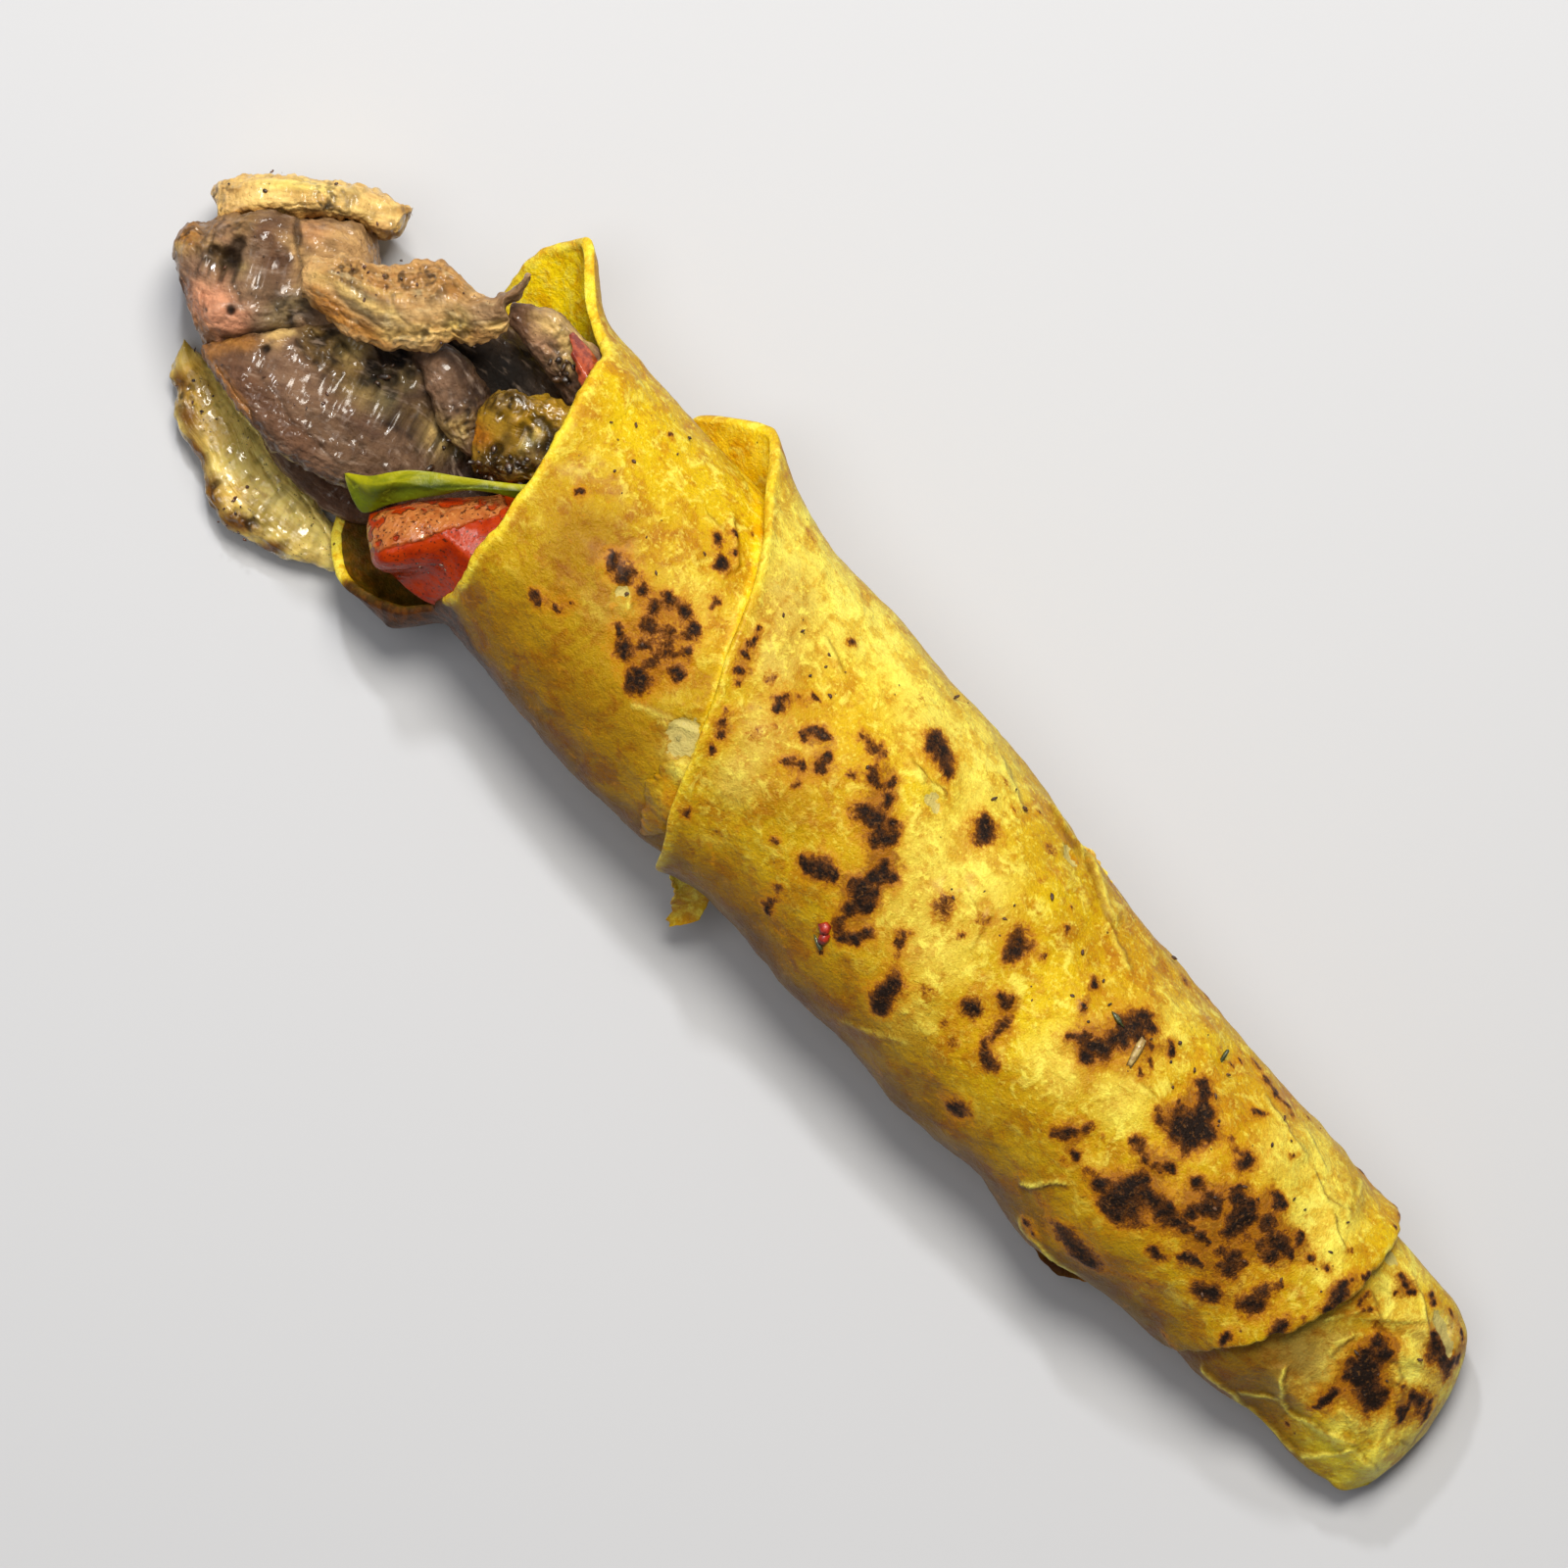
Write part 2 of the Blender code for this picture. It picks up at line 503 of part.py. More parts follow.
def flake(number, shape, collection):
    """A curled scrap of the sheet, as wide as its stations say."""
    stations = []
    for x, y, z, wide in shape["stations"]:
        if z is None:
            z = height_on_roll(x, y, SHEET + PLY_GAP) + FLAKE_LIFT
        stations.append((x, y, z, wide))
    at, line, side, up, (wide,) = frames_along(stations, 9)
    turn = np.arange(10) * 2.0 * math.pi / 10
    rows = []
    for r in range(len(at)):
        edge = 1.0 + 0.18 * math.sin(9.0 * at[r] + number)
        p = np.cos(turn) * wide[r] * edge
        q = np.sin(turn) * 0.5 * shape["thickness"]
        rows.append(line[r] + p[:, None] * side[r] + q[:, None] * up[r])
    start = line[0] - (line[1] - line[0]) * 0.4
    end = line[-1] + (line[-1] - line[-2]) * 0.4
    return loft(f"flake_{number}", rows, start, end, collection)


def flatbread(collection):
    rows, start, end = bread_rows()
    bread = loft("flatbread", rows, start, end, collection)
    flakes = new_collection("flakes")
    for number, shape in enumerate(FLAKES, 1):
        flake(number, shape, flakes)
    fuse = bread.modifiers.new("fused flakes", "BOOLEAN")
    fuse.operation = "UNION"
    fuse.operand_type = "COLLECTION"
    fuse.collection = flakes
    bread.data = evaluated_copy(bread)
    bread.modifiers.clear()
    for scrap in list(flakes.objects):
        bpy.data.objects.remove(scrap, do_unlink=True)
    bpy.data.collections.remove(flakes)
    bread.data.materials.clear()
    bread.data.materials.append(finish("flatbread", BREAD_COLOUR, 0.5))
    return bread


def meat_core(collection):
    """The filling that runs through the roll, a clearance inside the bread."""
    angle = np.arange(COLUMNS) * 360.0 / COLUMNS
    inward = TWO_TURNS + CORE_CLEARANCE
    mouth_end = CORE_MOUTH_END + 1.6 * np.sin(np.radians(3.0 * angle + 40.0))
    rows = []
    for t in np.concatenate(((0.0,), np.linspace(0.02, 0.985, 11), (1.0,))):
        x = mouth_end + (CORE_FOOT_END - mouth_end) * t
        rounding = 1.4 * (1.0 - ease(0.0, 0.03, t)) + 2.5 * ease(0.985, 1.0, t)
        rows.append(on_section(angle, x, inward + rounding, 0.0))
    front = rows[0].mean(axis=0)
    inner_ring = front + (rows[0] - front) * 0.55
    inner_ring[:, 0] -= 1.2 + 0.8 * np.sin(np.radians(2.0 * angle))
    rows.insert(0, inner_ring)
    start = front - (2.0, 0.0, 0.0)
    back = rows[-1].mean(axis=0)
    core = loft("meat_core", rows, start, back, collection)
    core.data.materials.append(finish("meat_core", CORE_COLOUR, 0.5))
    return core


def boxes_meet(one, other):
    low, high = (np.array([v.co[:] for v in one.data.vertices]).min(0),
                 np.array([v.co[:] for v in one.data.vertices]).max(0))
    points = np.array([v.co[:] for v in other.data.vertices])
    margin = CLEARANCE * MM
    return bool(np.all(points.min(0) < high + margin) and np.all(points.max(0) > low - margin))


def keep_largest(mesh):
    """Drops the loose scraps that a cut leaves."""
    count = len(mesh.vertices)
    group = list(range(count))

    def root(v):
        while group[v] != v:
            group[v] = group[group[v]]
            v = group[v]
        return v

    for edge in mesh.edges:
        a, b = (root(v) for v in edge.vertices)
        group[a] = b
    roots = [root(v) for v in range(count)]
    sizes = {r: roots.count(r) for r in set(roots)}
    largest = max(sizes, key=sizes.get)
    kept = [v for v in range(count) if roots[v] == largest]
    place = {v: k for k, v in enumerate(kept)}
    faces = [[place[v] for v in face.vertices] for face in mesh.polygons
             if face.vertices[0] in place]
    trimmed = bpy.data.meshes.new(mesh.name)
    trimmed.from_pydata([mesh.vertices[v].co[:] for v in kept], [], faces)
    for material in mesh.materials:
        trimmed.materials.append(material)
    return trimmed


def make_room(pieces, rooms):
    """Cuts each piece clear of the rooms of the pieces before it in the list."""
    for number, piece in enumerate(pieces):
        near = [room for room in rooms[:number] if boxes_meet(room, piece)]
        for room in near:
            cut = piece.modifiers.new("clear of " + room.name, "BOOLEAN")
            cut.operation = "DIFFERENCE"
            cut.object = room
        if near:
            material = piece.data.materials[0]
            piece.data = keep_largest(evaluated_copy(piece))
            piece.modifiers.clear()
            piece.data.materials.clear()
            piece.data.materials.append(material)


def build():
    clear_scene()
    wrap = new_collection("gyro_wrap")
    cutters = new_collection("cutters")
    flatbread(wrap)
    meat_core(wrap)
    pieces = [leaf(wrap)]
    rooms = [leaf(cutters, CLEARANCE)]
    for number, (name, shape) in enumerate(FILLINGS.items()):
        seed = 20 + 3 * number
        pieces.append(filling_piece(name, shape, seed, wrap))
        rooms.append(filling_piece(name, shape, seed, cutters, CLEARANCE))
    for room, piece in zip(rooms, pieces):
        room.name = "room_for_" + piece.name
        room.hide_render = True
        room.display_type = "WIRE"
    make_room(pieces, rooms)


build()
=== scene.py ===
# Gyro wrap: what is seen of it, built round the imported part.
# The tables are in millimetres: x runs from the open mouth to the folded foot, y across, z up.
# Angles round the roll: 0 is the +Y side, 90 the top, 180 the -Y side and 270 the underside.

import math

import bpy
import numpy as np
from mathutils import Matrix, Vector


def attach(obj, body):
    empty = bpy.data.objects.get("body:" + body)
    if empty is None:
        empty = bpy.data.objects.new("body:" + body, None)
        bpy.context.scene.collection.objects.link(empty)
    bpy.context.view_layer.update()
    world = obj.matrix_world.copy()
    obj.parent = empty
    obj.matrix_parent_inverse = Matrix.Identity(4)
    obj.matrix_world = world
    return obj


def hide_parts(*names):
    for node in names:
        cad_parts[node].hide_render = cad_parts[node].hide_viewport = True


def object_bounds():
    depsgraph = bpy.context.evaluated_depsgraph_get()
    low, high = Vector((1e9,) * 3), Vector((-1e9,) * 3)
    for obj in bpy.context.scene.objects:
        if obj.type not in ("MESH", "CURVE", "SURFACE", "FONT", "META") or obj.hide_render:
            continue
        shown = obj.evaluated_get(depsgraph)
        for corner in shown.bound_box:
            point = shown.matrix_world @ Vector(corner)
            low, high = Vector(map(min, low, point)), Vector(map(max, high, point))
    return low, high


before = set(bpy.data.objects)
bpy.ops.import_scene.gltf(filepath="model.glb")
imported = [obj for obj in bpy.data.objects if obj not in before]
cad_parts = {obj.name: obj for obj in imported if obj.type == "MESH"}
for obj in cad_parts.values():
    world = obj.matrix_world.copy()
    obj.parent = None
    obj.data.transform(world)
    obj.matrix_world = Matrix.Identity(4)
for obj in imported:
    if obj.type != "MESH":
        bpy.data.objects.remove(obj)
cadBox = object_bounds()
mm = 0.001

# the cook's colours, linear
paint = {
    "golden": (0.60, 0.375, 0.002),
    "bright": (0.78, 0.545, 0.002),
    "cream": (0.94, 0.86, 0.150),
    "paleGrey": (0.66, 0.50, 0.100),
    "orange": (0.60, 0.310, 0.001),
    "olive": (0.38, 0.205, 0.002),
    "deepOlive": (0.21, 0.092, 0.001),
    "dullTan": (0.34, 0.215, 0.030),
    "dough": (0.66, 0.55, 0.180),
    # the pale rim colour below is partly the sheet's cut edge and partly a painted highlight along it
    "rim": (0.90, 0.70, 0.035),
    "shadowed": (0.16, 0.075, 0.003),
    "lemon": (0.98, 0.80, 0.030),
    "tanGrey": (0.36, 0.25, 0.055),
    "paleLitInsideWall": (0.99, 0.72, 0.005),
    "sauce": (0.030, 0.007, 0.001),
    "sauceBrown": (0.110, 0.030, 0.002),
    "tanFat": (0.92, 0.63, 0.210),
    "tan": (0.70, 0.43, 0.170),
    "honey": (0.44, 0.215, 0.048),
    "goldCrust": (0.40, 0.170, 0.025),
    "orangeFat": (0.40, 0.170, 0.040),
    "pink": (0.74, 0.33, 0.180),
    "pinkTan": (0.52, 0.285, 0.150),
    "lilac": (0.152, 0.082, 0.042),
    "greyBrown": (0.155, 0.080, 0.045),
    "gristle": (0.150, 0.085, 0.020),
    "oliveGristle": (0.115, 0.078, 0.026),
    "darkMeat": (0.028, 0.012, 0.006),
    "tomatoCut": (0.44, 0.145, 0.034),
    "tomatoSkin": (0.37, 0.030, 0.001),
    "tomatoTop": (0.34, 0.085, 0.014),
    "lime": (0.36, 0.34, 0.003),
    "leafDeep": (0.10, 0.125, 0.001),
    "onionPale": (1.00, 0.78, 0.220),
    "onionGold": (0.66, 0.38, 0.040),
    "onionBrown": (0.150, 0.055, 0.005),
    "pepperYellow": (0.340, 0.190, 0.012),
    "pepperOrange": (0.40, 0.130, 0.006),
    "pepperDark": (0.060, 0.032, 0.008),
    "brick": (0.42, 0.070, 0.020),
    "charBrown": (0.075, 0.024, 0.004),
    "char": (0.009, 0.004, 0.002),
    "orangeGlow": (0.50, 0.210, 0.030),
    "rust": (0.50, 0.25, 0.070),
    "greyOlive": (0.24, 0.175, 0.080),
    "greyTan": (0.27, 0.160, 0.085),
    "pinkGrey": (0.26, 0.148, 0.085),
    "mauve": (0.150, 0.066, 0.032),
    "duskBrown": (0.115, 0.055, 0.026),
    "brownGold": (0.30, 0.165, 0.055),
    "paleGristle": (0.42, 0.29, 0.100),
    "greenGrey": (0.115, 0.100, 0.045),
    "panel": (0.56, 0.33, 0.125),
    "pinkPanel": (0.58, 0.29, 0.120),
    # the near-black colour below is painted shade deep in the mouth between the pieces
    "cavityShade": (0.006, 0.003, 0.001),
    "onionOlive": (0.36, 0.24, 0.030),
    "onionGreen": (0.60, 0.46, 0.090),
    "tomatoDeep": (0.160, 0.012, 0.002),
}

# the rolled sheet: its sizes, the roll's sections (x, middle y, half width, half height) and
# the lines of its edges (angle, x), as in the part
bread = {
    "sheet": 1.9, "plyGap": 0.4, "pressedFlat": 0.8, "clearance": 0.4, "floorGap": 0.3,
    "roll": ((-108, 4.9, 29.7, 24.2), (-60, 4.9, 29.7, 24.2), (-40, 4.6, 30.3, 24.2),
             (-20, 5.3, 29.9, 24), (0, 7, 27.9, 23.6), (20, 6.4, 27.3, 23),
             (43, 5.7, 25.7, 22.2), (60, 5.9, 25, 21.5), (83, 5.7, 24.9, 20.6),
             (100, 7.6, 22.9, 18.8), (110, 8, 21.9, 17.6), (122, 7.4, 22.3, 15.8)),
    "foot": ((102, 7.2, 20.6, 16.2), (116, 6.9, 20.4, 14.6), (127, 7.9, 19.2, 12.2),
             (137, 7.9, 18.6, 9.8), (142.5, 6.7, 16.4, 8.2), (146.5, 3.6, 12.2, 6.2),
             (148.7, 2, 7, 3.8)),
    "footTip": (149.4, 1.8, 3.4), "footSole": 0.4,
    "mouthRim": ((0, -98.5), (14, -87.5), (52, -80.2), (92, -74), (121, -71.7), (165, -69.8),
                 (180, -72), (194, -84.5), (205, -92), (215, -95), (240, -98),
                 (275, -100.5), (315, -103), (338, -103.4), (352, -100.5)),
    "lapEdge": ((0, -54.5), (25, -46.3), (51, -37.9), (74, -32.1), (101, -24.4), (125, -19.1),
                (148, -14.2), (180, -12), (225, -12), (270, -24), (305, -46),
                (332, -64.5), (346, -61)),
    "hem": ((0, 116), (27, 118.6), (55, 119.9), (93, 118.8), (123, 114.3), (158, 108.5),
            (190, 105.5), (235, 104.5), (280, 107), (325, 112.5)),
    "mouthFlares": ((357, 24, 6.8, -100, -84.5), (1, 10, 1.8, -101, -90), (195, 20, 9.2, -74.5, -66.5),
                    (268, 60, 1.2, -98, -76)),
    "lapFlares": ((-2, 24, 4.2, 24), (1, 9, 1.8, 9), (90, 200, 0.5, 6)),
    "hemFlares": ((40, 60, 0.7, 7), (140, 40, 0.9, 7)),
    "lapBead": (0.55, 1.3),      # the thick pale rim of the lap: how proud and how broad
    # points of the grids: columns round the roll, rows along each stretch and round its edge
    "columns": 340, "footColumns": 300, "footRows": 150,
    "innerRows": {"wall": 52, "rim": 8, "face": 220},
    "outerRows": {"face": 264, "edge": 7, "wall": 16},
    "crowding": 13,      # degrees by which the columns crowd towards the shown side
    "underLap": 24,      # how far the inner turn runs on under the lap
}

# scorch marks of each stretch of bread: x, y, radius, gathered by how dark they are, 1 being char
scorches = {
    "innerTurn": {
        1: ((-55.3, 6.3, 1.5), (-52, 6, 2), (-48.2, 6.7, 1.2), (-43.9, 9, 1.5), (-40.8, 9.4, 1.5),
            (-37.6, 8.2, 1.3), (-34.3, 0.7, 1.5), (-43.2, -3.7, 2), (-37.4, -5.9, 2.3), (-37.8, -4.2, 1.5),
            (-42.5, 19.7, 1.7)),
        0.9: ((-45.9, -1.7, 1.3), (-46.4, 22.3, 1.3), (-44.7, 25.1, 0.7), (-42.5, 23.3, 0.7),
            (-42.9, 28.1, 0.7), (-38.3, 14.6, 0.8), (-58.5, -8.6, 0.7), (-56.1, -6.9, 0.8),
            (-67.7, 9.5, 0.7), (-64.5, 29.4, 0.5)),
        0.8: ((-45.1, 5.6, 1.5), (-35.5, 4.8, 1.3), (-43.3, 3.1, 1.7), (-41.4, 0.2, 1.5),
            (-38.2, -0.7, 1.5), (-39.9, 15.1, 0.7), (-60.3, -8.6, 1.2), (-55.2, -5, 0.7),
            (-25.8, -7.4, 0.7)),
        0.7: ((-39.9, 4.5, 2.3),), 0.6: ((-37.6, 2.4, 1.5),)},
    "outerTurn": {
        1.1: ((4, 8.5, 2), (6.8, 9.1, 2), (5.1, 13, 1.2), (10, 8.5, 1.8), (6.5, -3, 2), (14.3, -2.4, 1.8),
            (59.6, 8.2, 1.3), (60.8, 11.6, 1.8), (60.9, 14.7, 2.2), (61, 17.7, 2.2), (76.1, 20.2, 1.2),
            (77.9, 19, 1.5), (79.9, 17.7, 1.7), (80.5, 15.3, 2.3), (91, 15.7, 1.5), (70.6, -3.6, 1),
            (81.2, -0.2, 2), (81.1, -2.8, 2), (95.1, 11.1, 1.2), (97.2, 11, 1.7), (97.3, 8.6, 1.7),
            (97.4, 6.2, 1.2), (99.1, 16.5, 1), (95.5, 2.6, 1.2), (105.7, 11.8, 1.5), (106, 9.2, 1.5),
            (102.7, -3.5, 1.8), (119.2, 10.3, 1.3), (119, 12.6, 1.5), (111.4, -5.6, 1.2)),
        1: ((-30.7, 15.7, 0.7), (-29.6, 13.8, 0.8), (-28.4, 11.6, 0.8), (-27.1, 9.5, 0.8), (-26, 7.4, 0.8),
            (-23.7, 2.9, 0.7), (-22.7, 1, 0.8), (-21.8, -0.9, 0.8), (-20.7, -3.3, 0.8), (-18.3, 9.6, 1.2),
            (-15.5, 15.6, 1), (-11.5, 12, 1.2), (-9.8, 12.3, 1), (-6.2, 8.5, 1.2), (-6.7, 10.2, 1),
            (6.1, 24.8, 2.2), (8.8, 23.3, 1.3), (19.2, 22.4, 1.8), (20.7, 21, 2), (3.4, 15.4, 1),
            (9.4, 6.1, 1.2), (4.5, -4.3, 1.3), (8.4, -2.5, 1.3), (13.8, 4.5, 1.5), (13.7, 2.9, 1.5),
            (15.8, 4.7, 1), (13.7, -0.1, 1.7), (18.7, -6.5, 1.7), (29.2, -8.3, 2), (30.2, -10.6, 2),
            (40.6, -0.2, 2), (42.7, 4.8, 1), (52, -13.5, 2.2), (51.8, 18, 0.8), (58.7, 10.8, 1.7),
            (61.1, 20.3, 1.8), (68.2, 20.2, 0.8), (80.8, 12.8, 2.7), (83.2, 14.7, 1.5), (90.8, 16.8, 1),
            (82.9, 6.1, 1), (67.8, -1.1, 0.7), (80.9, 1.9, 1.3), (81, -5.4, 1.8), (90.8, 1.9, 1.3),
            (92.9, 1.8, 1.2), (88, 7.3, 1.2), (93.6, 12, 1), (98.6, 11, 1.3), (100.5, 15.6, 1.2),
            (106.8, 15.3, 1), (95.9, -1.4, 1.2), (97.5, -0.6, 1), (110.9, 13.8, 1), (114.2, 14.8, 0.5),
            (104, -2.4, 1.8), (118.5, 14.1, 1), (74, -18, 1)),
        0.9: ((-19.4, 11.1, 0.8), (-17.1, 13.1, 0.7), (-11.8, 10, 1), (-10.7, 4.8, 1), (-8.8, 5.7, 1),
            (-18, 27, 0.8), (3.3, 25.6, 1.7), (2.1, 13.4, 1), (8.9, 11.5, 1), (13, 5.5, 0.8),
            (14.1, -4.6, 1.3), (16.3, -1.1, 1.3), (15.9, 0.8, 1), (16.9, -8, 1.3), (19.3, -4.3, 1),
            (15.1, -11.9, 0.5), (16.6, -12.5, 0.5), (44.2, 4.7, 0.8), (48.7, -4.2, 1.5), (50.5, -4.2, 1.3),
            (41.4, 20.7, 0.7), (39.5, 23.6, 0.5), (42.4, 14.6, 0.7), (52.5, 14.4, 0.5), (53, 12.9, 0.5),
            (23.9, 30.3, 0.5), (21, 27.8, 0.3), (63.7, 19.7, 1.5), (52, 18, 0.7), (52.9, 14.3, 0.7),
            (75.2, 15.2, 0.7), (79.2, 4.6, 1), (67.1, -2.3, 1.2), (77.8, -3.9, 1.5), (84, 0.4, 1.5),
            (85.9, 1, 1.5), (88, 1.3, 1.5), (88.1, 8.4, 0.8), (91.8, 6, 1.8), (93.3, 7.7, 1.3),
            (96.9, 2.7, 0.7), (103.8, 11.7, 1.5), (107.8, 11.7, 1.2), (107.3, 13.9, 0.7), (103.3, 2.3, 1.2),
            (92.9, -4.5, 1.5), (119.7, 18.4, 1), (116.2, 1.8, 1.7), (76.2, -18.1, 0.8), (86.7, 24.1, 0.7),
            (86.5, 23.4, 0.5), (77.6, 26.5, 0.5), (78.6, 27.9, 0.5), (114.7, 20, 0.5)),
        0.8: ((-15.9, -13.5, 1.2), (3.6, 23.7, 1.5), (0.3, 13.9, 1.2), (3, -4.4, 0.8), (5, -14.3, 1.3),
            (4.7, -12.4, 1.3), (11.6, -0.9, 0.8), (23.5, 0, 1), (24.4, -1.7, 1), (28.9, -6.7, 1.3),
            (30.6, 6.6, 1), (37.1, 13.5, 2.2), (38.6, 12.4, 1.7), (44.3, 5.8, 0.7), (46, 2.3, 1.3),
            (46.3, 0, 1.3), (50.6, -14, 1.2), (64.1, 16.7, 1.3), (56.2, 11, 1.2), (66.3, 17.6, 0.8),
            (67.9, 15.9, 1), (67.6, 13.1, 0.8), (69.2, 19.8, 0.7), (78.7, 12, 1.7), (82, 11.3, 1.8),
            (76.7, 14.2, 1.2), (77.2, 5.3, 1.2), (75.5, 5, 0.8), (81, 5, 0.7), (65.6, -3.5, 1.2),
            (76.2, -4.2, 1.2), (83.6, -5.5, 1.8), (83.9, -2.7, 2), (89.9, 0.5, 1.3), (91, 8.1, 1.3),
            (91.1, 4.3, 1), (101.4, 12.1, 1.5), (101.8, 3.6, 1.5), (98.9, -0.5, 0.7), (109.8, 4.5, 1.7),
            (109.2, 1.4, 2), (110.9, 1.7, 1.5), (118.7, 16.2, 0.7), (124.3, 16, 1.2), (116.7, 3.1, 0.8),
            (84, -14.5, 3), (83.6, 28.7, 1.3), (86.5, 28.4, 1.2), (93.7, 29.9, 0.7), (96.4, 22.9, 0.7),
            (55.3, 9.4, 0.8)),
        0.7: ((-2.1, -6, 1), (-2.8, 16.7, 1.8), (-1.6, 11.3, 1), (4.4, -10.3, 1), (14.8, -6.8, 1.3),
            (47, -2.2, 1.2), (56.9, 9.3, 1), (82.2, 5.9, 0.8), (68.9, 0.6, 1.2), (88.3, -0.8, 1.3),
            (92.6, 9.3, 1), (103.4, 8.9, 1.2), (99.4, 4, 1.3), (101.7, 5.5, 1.2), (101.2, 1.5, 1),
            (91.6, -4.7, 0.8), (122.9, 16.9, 1), (107.1, -12.9, 0.8), (80.7, -14.6, 2.7),
            (87.1, -14.5, 2.3), (89.3, 28.5, 1), (115.4, 30.9, 1), (116.6, 29.3, 1)),
        0.6: ((-7, 3.4, 1), (-0.7, 17.3, 1.3), (-5.3, 17.2, 1), (25.9, -3.8, 1), (38.6, 10.6, 1.3),
            (74.4, 11.2, 1.2), (76.3, 10.8, 1), (86.7, 17.3, 1), (88.9, 16.7, 0.8), (74.3, -3.8, 1),
            (87, -3.7, 1.5), (97.3, 13.6, 0.8), (100.9, 13, 1), (104.1, 4.7, 1), (110.8, 7.1, 1),
            (118.1, 6.4, 0.8), (104.7, -13, 1), (78.4, -14.7, 2), (81, 29.3, 1.2), (91.2, 28.1, 0.8),
            (117.4, 27.7, 0.8), (62.3, 30.1, 1.5), (67, 30.8, 1.3)),
        0.5: ((-23.3, 12, 1.3), (24.6, 8.9, 2), (25.6, 7.1, 1.7), (43, -6.5, 1.5), (30.3, 27.6, 1.8),
            (16.3, 29.3, 1), (101.3, 8.1, 1), (99.5, 8, 1), (108.8, -0.5, 1.3), (73.1, -14, 1.7),
            (58.2, 29.3, 1.3), (70.8, 30.9, 1.2), (70.1, -5.9, 1)),
        0.4: ((-35.5, 32.5, 1.5), (-37.4, 33.1, 0.8), (-3.5, 28.6, 1.3), (-16, 7.1, 0.8), (-17.7, 4.1, 2),
            (30.7, 11.5, 1.3), (33.5, -4.1, 2.3), (39.4, -5, 1.7), (95.8, -9.4, 2), (92.6, -11, 1.7),
            (28, -5.2, 1.3), (71.9, 1.5, 0.8)),
        0.3: ((33.1, 22.8, 1.3),)},
    "foot": {
        1.1: ((130.5, 9.9, 1.7), (131.1, 7.6, 2), (133, 8.2, 2), (135.9, 20.3, 1), (137.9, 19.5, 1.3),
            (140, 18.9, 1.5), (126, 22.8, 0.8), (142.3, 7.3, 1)),
        1: ((130.6, 13, 1), (132.3, 12.4, 1), (133.3, 6.1, 2), (135.7, 5.7, 1.7), (137.4, 5.1, 1.7),
            (131.3, 0.4, 1.3), (141.9, 19.4, 1.5), (124.7, 23.3, 0.7), (127.5, 22.4, 0.8),
            (143.3, 10.9, 1.2), (145.1, 11.1, 1), (142.6, 8.4, 0.7)),
        0.9: ((131, 5.9, 1.3), (131.2, -1.2, 1.3), (130.8, 24.6, 0.7), (132.2, 24.2, 0.8), (142.5, 20.7, 1),
            (138.9, 24.6, 1), (140.6, 23.5, 0.7), (126.5, 20.8, 0.5), (141.6, 10.7, 1), (139.1, 10.5, 0.5),
            (133, 12.6, 0.7)),
        0.8: ((129.4, 13.2, 0.8), (131.2, 1.7, 1), (130.9, -8, 0.7)),
        0.7: ((137.3, 7.4, 1.2), (138.2, 17.4, 1.2), (122.7, 14.8, 0.8), (124.6, 15.3, 1),
            (122.4, 16.4, 0.8)),
        0.6: ((131.1, -2.3, 0.8), (135.9, 25.3, 0.8)), 0.5: ((127.5, 14.5, 1),)},
}
# the same over the side that lies down: how many, angles and radii between which they are drawn
hiddenScorches = {"count": 90, "seed": 4, "from": 188.0, "to": 356.0, "radius": (0.7, 2.4)}

# darkening down the sides of each stretch, browning that is partly painted shade on the -Y side: where it
# starts and where it is full (1 is the -Y side, -1 the +Y side), how much it covers, colour
sideShadeAndBrowning = {
    "innerTurn": ((-0.2, 0.85, 0.65, "olive"), (0.55, 1.0, 0.62, "deepOlive"),
                  (0.86, 1.0, 0.42, "charBrown"), (-0.88, -1.0, 0.35, "orange")),
    "outerTurn": ((-0.1, 0.85, 0.3, "olive"), (0.55, 1.0, 0.62, "deepOlive"),
                  (0.86, 1.0, 0.42, "charBrown"), (-0.88, -1.0, 0.35, "orange")),
    "foot": ((-0.1, 0.85, 0.195, "olive"), (0.55, 1.0, 0.403, "deepOlive"),
             (0.86, 1.0, 0.273, "charBrown"), (-0.88, -1.0, 0.2275, "orange")),
}
